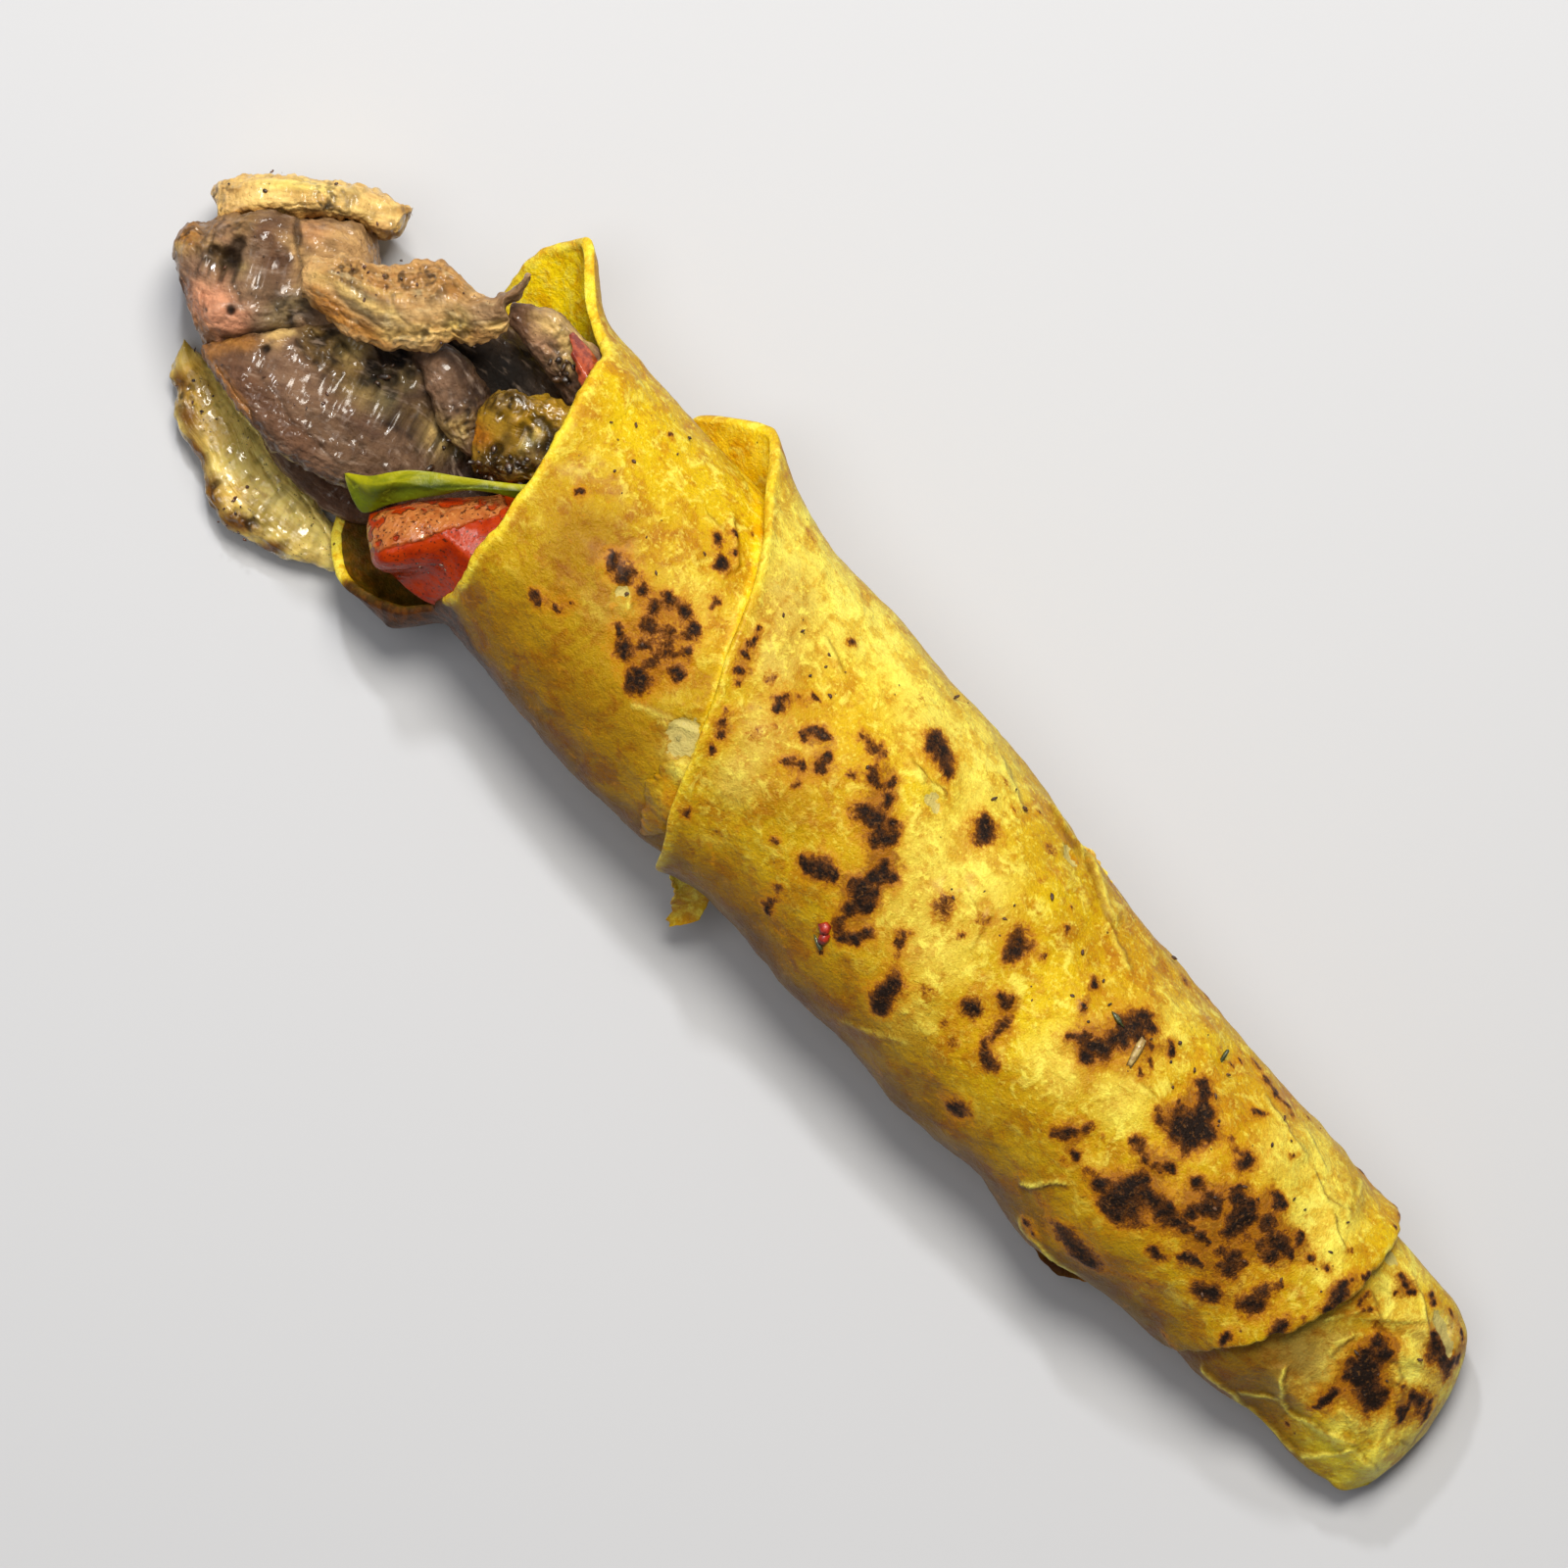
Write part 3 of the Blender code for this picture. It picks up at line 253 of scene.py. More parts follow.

# broad colouring of the bread: x, y, radius, colour, strength; the olive and deepOlive patches down the -Y
# side are partly painted shade, and the cream and bright ones towards the +Y side partly painted light
breadPatches = {
    "innerTurn": ((-75, 28, 9, "bright", 0.8), (-62, 26, 9, "bright", 0.7), (-50, 30, 9, "bright", 0.6),
        (-44, 30, 6, "bright", 0.6), (-52, 16, 9, "golden", 0.5), (-66, 6, 10, "olive", 0.35),
        (-41, 10, 6, "cream", 0.35), (-50, 1, 6, "paleGrey", 0.6), (-40, 6, 5, "golden", 0.4),
        (-36, -8, 7, "olive", 0.5), (-28, -10, 6, "olive", 0.5), (-62, -6, 8, "golden", 0.4),
        (-47, -14, 12, "olive", 0.75), (-60, -16, 10, "olive", 0.7), (-38, -20, 12, "deepOlive", 0.6),
        (-56, -22, 9, "deepOlive", 0.7), (-82, 34, 5, "golden", 0.4), (-33, 12, 5, "orange", 0.5),
        (-30, 2, 5, "olive", 0.4), (-78, 20, 4, "golden", 0.5), (-24.8, -6.3, 3.4, "dough", 0.9),
        (-60.4, 4.2, 8, "olive", 0.8), (-48.5, 2.4, 7, "olive", 0.65), (-59.9, -5.2, 6, "olive", 0.6)),
    "outerTurn": ((-36, 34, 9, "cream", 0.8), (-26, 31, 10, "cream", 0.85), (-12, 30, 10, "cream", 0.8),
        (4, 29, 9, "cream", 0.65), (14, 28, 9, "cream", 0.6), (-31, 23, 6, "paleGrey", 0.8),
        (-25, 16, 6, "paleGrey", 0.7), (-17, 5, 5, "paleGrey", 0.55), (-14, -3, 5, "paleGrey", 0.6),
        (-20, 21, 6, "orange", 0.3), (-11, 22, 7, "bright", 0.5), (-6, 16, 7, "bright", 0.45),
        (-9, 4, 6, "orange", 0.35), (-4, 1, 6, "olive", 0.5), (1, 4, 6, "orange", 0.4),
        (-2, -8, 7, "golden", 0.5), (8, 19, 6, "bright", 0.6), (17, 14, 7, "cream", 0.45),
        (26, 15, 7, "cream", 0.5), (22, 3, 7, "cream", 0.4), (30, 2, 6, "cream", 0.35),
        (36, 22, 6, "bright", 0.45), (24, 27, 6, "bright", 0.45), (35, -10, 6, "cream", 0.5),
        (33, -5, 5, "orange", 0.3), (45, -8, 7, "bright", 0.55), (50, 4, 8, "bright", 0.8),
        (48, 12, 7, "bright", 0.5), (57, 5, 6, "cream", 0.45), (59, 22, 7, "orange", 0.45),
        (66, 23, 7, "cream", 0.4), (50, 27, 6, "orange", 0.35), (60, 28, 6, "orange", 0.5),
        (73, 24, 7, "bright", 0.6), (82, 26, 6, "orange", 0.55), (76, 8, 6, "bright", 0.6),
        (70, 8, 5, "cream", 0.4), (88, 22, 7, "orange", 0.4), (92, 20, 6, "orange", 0.35),
        (97, 25, 7, "cream", 0.6), (104, 21, 6, "cream", 0.75), (110, 20, 6, "cream", 0.7),
        (100, 19, 4, "bright", 0.3), (117, 26, 5, "bright", 0.7), (115, 18, 5, "bright", 0.6),
        (112, 16, 4, "cream", 0.4), (95, -2, 8, "golden", 0.5), (106, 4, 6, "bright", 0.5),
        (2, -13, 7, "golden", 0.7), (24, -12, 8, "golden", 0.7), (44, -12, 8, "orange", 0.6),
        (62, -8, 7, "bright", 0.5), (78, -6, 7, "bright", 0.5), (88, -10, 8, "olive", 0.5),
        (98, -11, 7, "golden", 0.4), (105, -8, 6, "golden", 0.5), (66, -12, 8, "olive", 0.6),
        (75, -10, 7, "olive", 0.45), (58, -12, 7, "olive", 0.3), (40, -17, 9, "olive", 0.6),
        (20, -17, 10, "olive", 0.6), (8, -19, 9, "olive", 0.7), (-4, -20, 8, "olive", 0.7),
        (26, -19, 8, "deepOlive", 0.5), (50, -18, 8, "deepOlive", 0.4), (12, -21, 6, "deepOlive", 0.5),
        (86, -16, 7, "deepOlive", 0.5)),
    "foot": ((121.7, -3.7, 9, "dullTan", 0.9), (123.8, 3.5, 8, "dullTan", 0.85),
        (126.7, -8.2, 6, "olive", 0.5), (118.5, -9.8, 7, "deepOlive", 0.7),
        (111.5, -11.3, 5, "deepOlive", 0.8), (128, -11.7, 5, "deepOlive", 0.5),
        (127.2, 6, 4, "paleGrey", 0.8), (127, -2.9, 3.5, "paleGrey", 0.5), (128, 13.1, 4, "golden", 0.5),
        (127.1, 19.6, 5, "cream", 0.75), (125.1, 24.8, 4, "cream", 0.8), (130.5, 23.3, 4, "bright", 0.5),
        (134.9, 18.2, 5, "paleGrey", 0.8), (137.4, 13.6, 4, "cream", 0.8), (142.6, 16.8, 6, "cream", 0.8),
        (132.6, -4.6, 3.5, "bright", 0.6), (138.2, -1.7, 4, "cream", 0.8), (139.1, 3, 4, "dullTan", 0.6),
        (144.3, 5, 5, "cream", 0.6), (142.8, -0.3, 4, "paleGrey", 0.6), (144.2, -5, 7, "lemon", 1),
        (140.2, -7, 5, "lemon", 1), (147, -1.9, 3, "cream", 0.8), (136.8, 22.7, 3, "dough", 0.9),
        (142.4, 9.1, 3, "bright", 0.5), (131.3, 6.8, 4.5, "golden", 0.7), (121.9, 0.2, 4, "tanGrey", 0.6)),
}
# where the top layer has torn off: x, y, radius, strength
tornPatches = {"innerTurn": ((-24.6, -6, 3.8, 1), (-22.4, -4.4, 2.6, 1), (-50.5, 3.4, 1.2, 0.8)),
               "outerTurn": ((10.6, 18.6, 1.6, 0.8), (33, 29.5, 1.8, 0.8)),
               "foot": ((136.6, 22.2, 1.5, 1), (134.6, 23.2, 1.2, 1), (139.2, 21.4, 1.2, 1),
                        (121.5, 24, 1.4, 0.8))}
# where sauce has wetted the bread: x, angle, radius, strength
saucePatches = {"innerTurn": ((-70, 176, 5, 1), (-76, 184, 7, 1), (-83, 192, 8, 1), (-90, 201, 9, 1),
                              (-95, 213, 10, 1), (-98, 232, 14, 1), (-82, 210, 12, 1), (-70, 200, 12, 1),
                              (-62, 186, 9, 1), (-70, 225, 14, 1)),
                "outerTurn": ((15.6, 122, 0.9, 1),), "foot": ()}
# edges of thin plies and small folds: from x, y to x, y, rise, how far the high side reaches
plyEdges = {
    "innerTurn": ((-47.2, 25.3, -40.6, 20.2, 0.5, 0.8), (-40.6, 20.2, -41.2, 17.8, 0.4, 0.8),
        (-45.8, 15.7, -44.6, 19.8, 0.4, 0.8), (-50.4, 22.6, -46.5, 23.1, 0.3, 0.8),
        (-52.2, 5.8, -47.6, 2.9, 0.3, 0.6), (-30.4, -6.2, -24.6, -3.1, 0.7, 1),
        (-35, -7.6, -28.7, -4.3, 0.4, 0.8), (-98.6, 39, -86.5, 28.8, 0.5, 1.6)),
    "outerTurn": ((100.2, 24, 106, 21.9, 0.5, 1), (106, 21.9, 110.4, 24, 0.5, 1),
        (110.4, 24, 107.4, 28.3, 0.5, 1), (108.5, 21.2, 113.8, 18.6, 0.7, 1.4),
        (3.7, 19.6, 7.5, 20.2, 0.6, 0.7), (7.5, 20.2, 11.3, 20.6, 0.6, 0.7),
        (2.3, 19.8, 7.4, 19.2, 0.4, 0.8), (13, 32.1, 22.1, 28.8, 0.4, 1),
        (-21.8, 23.6, -15.8, 21.8, 0.4, 0.6), (73.3, -8.1, 68.8, -14.1, 0.7, 1.6),
        (89.8, -17, 74.1, -18.9, 1, 2), (46, 27.1, 35.3, 31.4, 1.1, 1.8), (34.1, 31, 24.6, 32.8, 0.8, 1.2),
        (45.4, 26.3, 54.3, 23.8, 0.4, 1.4), (71.6, 32.9, 80, 30.9, 0.5, 1.2),
        (67.9, 11.4, 76.7, 13.6, 0.4, 1.2), (86.1, 26.5, 98, 24.7, 0.4, 1.4),
        (28, -17.6, 37.7, -11.8, 0.3, 1), (94.3, 28, 101.4, 26, 0.4, 1), (24.8, 12.4, 32, 10.3, 0.3, 0.9),
        (31.2, 13.3, 32.8, 6.2, 0.3, 0.9)),
    "foot": ((122.2, -1.9, 125.2, -5.1, 0.8, 1.6), (125.2, -5.1, 129, -6.1, 0.8, 1.6),
        (129, -6.1, 134.4, -4.4, 0.8, 1.6), (134.4, -4.4, 140.8, -1.6, 0.7, 1.4),
        (120.8, -10.5, 126.4, -5.7, 0.5, 1.2), (128, 13.8, 134.5, 12.6, 0.6, 1.2),
        (134.5, 12.6, 138.4, 10.7, 0.6, 1), (125.8, 10.2, 126, 5.2, 0.4, 1),
        (126.1, 24.1, 131.6, 22, 0.8, 1.4), (131.6, 22, 136.5, 18.5, 0.8, 1.2),
        (136.6, -9.1, 141.7, -2.5, 0.9, 2.4), (141.7, -2.5, 147.7, -2.1, 0.7, 1.8),
        (138.6, 10.9, 143.5, 13, 0.5, 1), (144.6, 2.6, 149.4, 5.9, 0.6, 1.2),
        (124.3, -11.2, 135.1, -9.8, 0.7, 1.6), (113.3, -11.8, 123.9, -11.3, 0.7, 1.8),
        (128.1, -0.4, 135.2, -1.3, 0.4, 1), (134.5, 0.4, 140.6, 1.7, 0.5, 1),
        (145.7, 12.8, 147.9, 4, 0.5, 1.4), (120.6, 8.6, 124.4, 15.3, 0.4, 1),
        (122.3, 17.2, 127.9, 15.5, 0.5, 1.2), (129.6, 29.7, 136.8, 26.5, 0.5, 1)),
}


# Curves and relief

def curveThrough(places, values, at):
    # cubic pieces through the knots, each knot's slope taken from its neighbours
    places = np.asarray(places, float)
    values = np.asarray(values, float)
    slopes = np.gradient(values, places)
    at = np.clip(at, places[0], places[-1])
    left = np.clip(np.searchsorted(places, at, side="right") - 1, 0, len(places) - 2)
    span = places[left + 1] - places[left]
    t = (at - places[left]) / span
    return ((2 * t**3 - 3 * t**2 + 1) * values[left] + (t**3 - 2 * t**2 + t) * span * slopes[left]
            + (3 * t**2 - 2 * t**3) * values[left + 1] + (t**3 - t**2) * span * slopes[left + 1])


def ringCurve(edge, angle):
    # the same curve on a closed ring of (angle, place) knots
    ring = np.array(edge, float)
    ring = np.vstack((ring[-3:] - (360.0, 0.0), ring, ring[:3] + (360.0, 0.0)))
    return curveThrough(ring[:, 0], ring[:, 1], np.mod(angle, 360.0))


def ease(start, end, value):
    # 0 at start and 1 at end, level at both: 3t^2 - 2t^3
    t = np.clip((value - start) / (end - start), 0.0, 1.0)
    return t * t * (3.0 - 2.0 * t)


def ripples(points, wavelength, seed, waves=8):
    # a sum of sines in seeded directions, about -1 to 1
    draw = np.random.default_rng(seed)
    directions = draw.normal(size=(waves, 3))
    directions /= np.linalg.norm(directions, axis=1)[:, None]
    pitch = 2.0 * math.pi / (wavelength * draw.uniform(0.7, 1.5, waves))
    phase = draw.uniform(0.0, 2.0 * math.pi, waves)
    return np.sin((points @ directions.T) * pitch + phase).sum(axis=-1) / waves**0.5 / 1.2


def cloud(points, size, seed):
    # random numbers on a lattice of this size, blended smoothly between its corners
    table = np.random.default_rng(seed).uniform(-1.0, 1.0, (32, 32, 32))
    place = points / size
    cell = np.floor(place).astype(int)
    t = place - cell
    t = t * t * (3.0 - 2.0 * t)
    total = 0.0
    for corner in range(8):
        step = np.array([(corner >> k) & 1 for k in range(3)])
        weight = np.prod(np.where(step, t, 1.0 - t), axis=-1)
        at = np.mod(cell + step, 32)
        total = total + weight * table[at[..., 0], at[..., 1], at[..., 2]]
    return total


def clouds(points, size, seed, octaves=3):
    # clouds of half the size and half the strength laid on each other
    return sum(cloud(points, np.asarray(size) / 2**k, seed + k) / 2**k for k in range(octaves))


def strands(points, size, seed):
    # sharp ridges where a cloud passes through nothing, 0 in the furrows to 1 on the ridges
    return 1.0 - np.abs(cloud(points, size, seed)) * 2.0


# The roll

def rollSection(table, x):
    # middle, half width and half height of the roll at x
    knots = np.array(table, float)
    return [curveThrough(knots[:, 0], knots[:, k], x) for k in (1, 2, 3)]


def angleFrom(angle, centre):
    # degrees between an angle and a centre, the shorter way round
    return np.abs(np.mod(angle - centre + 180.0, 360.0) - 180.0)


def mouthLift(angle, x):
    # how far the open mouth stands off the roll: bumps round it that fall off along it
    total = 0.0
    for centre, spread, height, fallsFrom, ends in bread["mouthFlares"]:
        total = total + (height * np.exp(-(angleFrom(angle, centre) / spread) ** 2)
                         * (1.0 - ease(fallsFrom, ends, x)))
    return total


def edgeLift(flares, angle, distance):
    # how far an edge stands off: bumps round it that ease away within their reach
    total = 0.0
    for centre, spread, height, reach in flares:
        total = total + (height * np.exp(-(angleFrom(angle, centre) / spread) ** 2)
                         * (1.0 - ease(0.0, 1.0, np.clip(distance, 0.0, None) / reach)))
    return total


def turnLift(angle, x):
    # how far the outer turn stands off at its lap edge and its hem
    return (edgeLift(bread["lapFlares"], angle, x - ringCurve(bread["lapEdge"], angle))
            + edgeLift(bread["hemFlares"], angle, ringCurve(bread["hem"], angle) - x))


def onRoll(angle, x, inward, outward):
    # points of the roll's oval section at x, offset inwards and lifted outwards
    middle, wide, high = rollSection(bread["roll"], x)
    turn = np.radians(angle)
    offset = outward - inward
    y = middle + (wide + offset) * np.cos(turn)
    z = high - bread["pressedFlat"] + (high + offset) * np.sin(turn)
    return np.stack((x + 0.0 * y, y, np.maximum(z, 0.0)), axis=-1)


def ringAngles(columns):
    # angles round the roll, closer together on the side that shows
    t = np.arange(columns) / columns
    return (360.0 * t + bread["crowding"] * (np.cos(2.0 * math.pi * t) - 1.0))[None]


def insideBread(points):
    # holds points within the inner wall wherever the bread goes round them
    x, y, z = points[..., 0], points[..., 1], points[..., 2]
    middle, wide, high = rollSection(bread["roll"], x)
    axis = high - bread["pressedFlat"]
    inner = 2 * bread["sheet"] + bread["plyGap"] + bread["clearance"]
    angle = np.degrees(np.arctan2((z - axis) / high, (y - middle) / wide))
    standOff = mouthLift(angle, x) - inner
    reach = np.hypot((y - middle) / (wide + standOff), (z - axis) / (high + standOff))
    covered = ease(-14.0, -5.0, x - ringCurve(bread["mouthRim"], angle))
    pull = 1.0 + covered * (1.0 / np.maximum(reach, 1.0) - 1.0)
    held = points.copy()
    held[..., 1] = middle + (y - middle) * pull
    held[..., 2] = np.maximum(axis + (z - axis) * pull, bread["floorGap"])
    return held


# Meshes

def gridFaces(rows, columns, closed=False):
    # four-cornered faces of a grid that closes round its columns, and round its rows if closed
    r = np.arange(rows if closed else rows - 1)[:, None]
    c = np.arange(columns)[None]
    after, far = (c + 1) % columns, (r + 1) % rows
    return np.stack((r * columns + c, r * columns + after, far * columns + after,
                     far * columns + c), axis=-1).reshape(-1, 4)


def poleFaces(rows, columns):
    # fans that close both ends of a grid on the two points that follow it
    c = np.arange(columns)
    after = (c + 1) % columns
    last = (rows - 1) * columns
    first, end = rows * columns, rows * columns + 1
    return np.vstack((np.stack((np.full(columns, first), after, c), axis=1),
                      np.stack((np.full(columns, end), last + c, last + after), axis=1)))


def withEnds(rings):
    # the points of a grid, then the middles of its first and last rings for the fans to meet on
    return np.vstack((rings.reshape(-1, 3), rings[0].mean(axis=0)[None], rings[-1].mean(axis=0)[None]))


def inRows(marks, ends=False):
    # the marks of a grid with one row for each point, and with those of its two end points
    rows = {name: v.reshape(-1, 3) if v.ndim == 3 else v.ravel() for name, v in marks.items()}
    return {name: np.concatenate((v, v[:1], v[-1:])) for name, v in rows.items()} if ends else rows


def fromSpot(points, x, y):
    # the square of how far each point is from a spot, as seen from above
    return (points[..., 0] - x) ** 2 + (points[..., 1] - y) ** 2


def volumeOf(points, quads, triangles):
    # six times the volume, as the sum of a . (b x c) over the triangles: below 0 where it is inside out
    corners = [quads[:, [0, 1, 2]], quads[:, [0, 2, 3]], triangles]
    corners = np.vstack([c for c in corners if len(c)])
    a, b, c = (points[corners[:, k]] for k in range(3))
    return float(np.einsum("ij,ij->i", a, np.cross(b, c)).sum())


def addPiece(name, points, quads, triangles, finish, nodes=(), marks=None):
    # one closed piece, faces outwards, with its marks as point attributes
    if len(quads) == 0:
        quads = np.zeros((0, 4), int)
    if len(triangles) == 0:
        triangles = np.zeros((0, 3), int)
    if volumeOf(points, quads, triangles) < 0.0:
        quads, triangles = quads[:, ::-1], triangles[:, ::-1]
    mesh = bpy.data.meshes.new(name)
    mesh.from_pydata((points * mm).tolist(), [], quads.tolist() + triangles.tolist())
    for mark, values in (marks or {}).items():
        values = np.asarray(values, np.float32)
        if values.ndim == 1:
            mesh.attributes.new(mark, "FLOAT", "POINT").data.foreach_set("value", values)
        elif mark == "tint":
            colour = np.concatenate((values, np.ones((len(values), 1), np.float32)), axis=1)
            mesh.attributes.new(mark, "FLOAT_COLOR", "POINT").data.foreach_set("color", colour.ravel())
        else:
            mesh.attributes.new(mark, "FLOAT_VECTOR", "POINT").data.foreach_set("vector", values.ravel())
    mesh.materials.append(finish)
    mesh.shade_smooth()
    piece = bpy.data.objects.new(name, mesh)
    bpy.context.scene.collection.objects.link(piece)
    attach(piece, "root")
    if nodes:
        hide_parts(*nodes)
    return piece


def laidOver(tint, colour, cover):
    # a colour laid over the tint, as far as it covers each point
    cover = cover[..., None]
    return tint * (1.0 - cover) + np.array(colour) * cover


def painted(points, base, patches):
    # a base colour, with each patch's colour laid over it: patches fade from their middles, are
    # stretched along a heading where they have one, and their outlines wander
    x = points[..., 0] + 0.7 * cloud(points, 2.8, 601) + 0.35 * cloud(points, 1.1, 602)
    y = points[..., 1] + 0.7 * cloud(points, 2.8, 603) + 0.35 * cloud(points, 1.1, 604)
    tint = np.empty(points.shape)
    tint[:] = paint[base]
    for placeX, placeY, radius, colour, strength, *shape in patches:
        stretch, heading = shape or (1.0, 0.0)
        turn = math.radians(93.0 - heading)      # headings count clockwise from 3, across the roll
        along = (x - placeX) * math.cos(turn) + (y - placeY) * math.sin(turn)
        beside = (y - placeY) * math.cos(turn) - (x - placeX) * math.sin(turn)
        away = (along / (radius * stretch)) ** 2 + (beside / radius) ** 2
        tint = laidOver(tint, paint[colour], strength * np.exp(-away**1.5))
    return tint


# Finishes

class Amount:
    # a number that a material works out: sums on it add Math nodes
    def __init__(self, finish, socket):
        self.finish, self.socket = finish, socket

    def sum(self, operation, *others):
        return self.finish.add("ShaderNodeMath", {"operation": operation},
                               dict(enumerate((self,) + others)))

    def __add__(self, other):
        return self.sum("ADD", other)

    def __sub__(self, other):
        return self.sum("SUBTRACT", other)

    def __rsub__(self, other):
        return self.finish.add("ShaderNodeMath", {"operation": "SUBTRACT"}, {0: other, 1: self})

    def __mul__(self, other):
        return self.sum("MULTIPLY", other)

    def __lt__(self, other):
        return self.sum("LESS_THAN", other)

    def atMost(self, other):
        return self.sum("MINIMUM", other)

    def atLeast(self, other):
        return self.sum("MAXIMUM", other)

    def between(self, start, end):
        # 0 below start, 1 above end and smooth between them
        return self.finish.add("ShaderNodeMapRange", {"interpolation_type": "SMOOTHSTEP"},
                               {"Value": self, "From Min": start, "From Max": end})

    __radd__ = __add__
    __rmul__ = __mul__


class Finish:
    # a material: add() puts in a node, settings first, then the values or links of its sockets
    def __init__(self, name, **constants):
        self.material = bpy.data.materials.new(name)
        self.material.use_nodes = True
        self.tree = self.material.node_tree
        self.shader = self.tree.nodes["Principled BSDF"]
        for socket, value in constants.items():
            self.set(socket, value)

    def add(self, kind, settings, values, out=0):
        node = self.tree.nodes.new(kind)
        for key, value in settings.items():
            setattr(node, key, value)
        for key, value in values.items():
            self.feed(node.inputs[key], value)
        return Amount(self, node.outputs[out])

    def feed(self, socket, value):
        if isinstance(value, Amount):
            self.tree.links.new(value.socket, socket)
        elif isinstance(value, tuple) and len(value) == 3 and socket.type == "RGBA":
            socket.default_value = (*value, 1.0)
        else:
            socket.default_value = value

    def set(self, socket, value):
        self.feed(self.shader.inputs[socket.replace("_", " ")], value)

    def place(self, shift=0.0):
        # the place on the piece in metres, shifted so that patterns don't repeat each other
        spot = self.add("ShaderNodeTexCoord", {}, {}, "Object")
        return self.add("ShaderNodeVectorMath", {"operation": "ADD"}, {0: spot, 1: (shift,) * 3})

    def mark(self, name, out="Fac"):
        # a point attribute of the mesh
        return self.add("ShaderNodeAttribute", {"attribute_name": name}, {}, out)

    def cloud(self, size, shift=0.0, detail=3.0, rough=0.55, along=None, bend=0.0):
        # noise of about this size in millimetres, on the place or along the piece's own grain
        if along is None:
            spot, scale = self.place(shift), 1000.0 / size
        else:
            spot = self.add("ShaderNodeVectorMath", {"operation": "MULTIPLY_ADD"},
                            {0: self.mark("grain", "Vector"), 1: along, 2: (shift,) * 3})
            scale = 1.0 / size
        return self.add("ShaderNodeTexNoise", {"noise_dimensions": "3D"},
                        {"Vector": spot, "Scale": scale, "Detail": detail, "Roughness": rough,
                         "Distortion": bend})

    def cells(self, size, shift=0.0, out="Distance"):
        # cells of about this size in millimetres: the distance to the nearest one, or its colour
        return self.add("ShaderNodeTexVoronoi", {},
                        {"Vector": self.place(shift), "Scale": 1000.0 / size}, out)

    def channel(self, colour, number):
        # one channel of a colour: 0 red, 1 green, 2 blue
        return self.add("ShaderNodeSeparateColor", {}, {0: colour}, number)

    def mix(self, cover, under, over, how="MIX"):
        # one colour over another, as far as it covers
        node = self.tree.nodes.new("ShaderNodeMix")
        node.data_type, node.blend_type = "RGBA", how
        for key, value in ((0, cover), (6, under), (7, over)):
            self.feed(node.inputs[key], value)
        return Amount(self, node.outputs[2])

    def relief(self, height, depth, strength=1.0, onto=None):
        # height as a bump of this depth in millimetres
        values = {"Height": height, "Distance": depth * mm, "Strength": strength}
        if onto is not None:
            values["Normal"] = onto
        return self.add("ShaderNodeBump", {}, values)


# griddled bread: sizes of its mottling in millimetres, how strongly it shows, oil; then the shades
# that darken what is under them, and the colours that cover it
breadLook = {
    "mottle": 5.0, "mottleCover": 0.9, "paleCover": 0.65, "fleck": 1.3, "fleckCover": 0.6,
    "grainCover": 0.35, "speckSize": 2.6, "speckShare": 0.16, "oil": 0.07, "roughness": 0.44,
    "mottleShade": (0.80, 0.59, 0.25), "broadShade": (0.84, 0.70, 0.40), "fleckShade": (0.78, 0.59, 0.30),
    "grainShade": (0.58, 0.54, 0.46), "paleBlotch": (0.98, 0.90, 0.130), "paleGrain": (0.94, 0.82, 0.100),
    "tanSpot": (0.50, 0.205, 0.003), "speck": (0.085, 0.026, 0.006), "browned": (0.52, 0.220, 0.002),
    "deepBrowned": (0.21, 0.066, 0.003), "scorchEdge": (0.40, 0.145, 0.002),
    "scorch": (0.150, 0.044, 0.003), "deepScorch": (0.050, 0.016, 0.003), "crust": (0.20, 0.080, 0.016),
    "torn": (0.52, 0.44, 0.14),
}


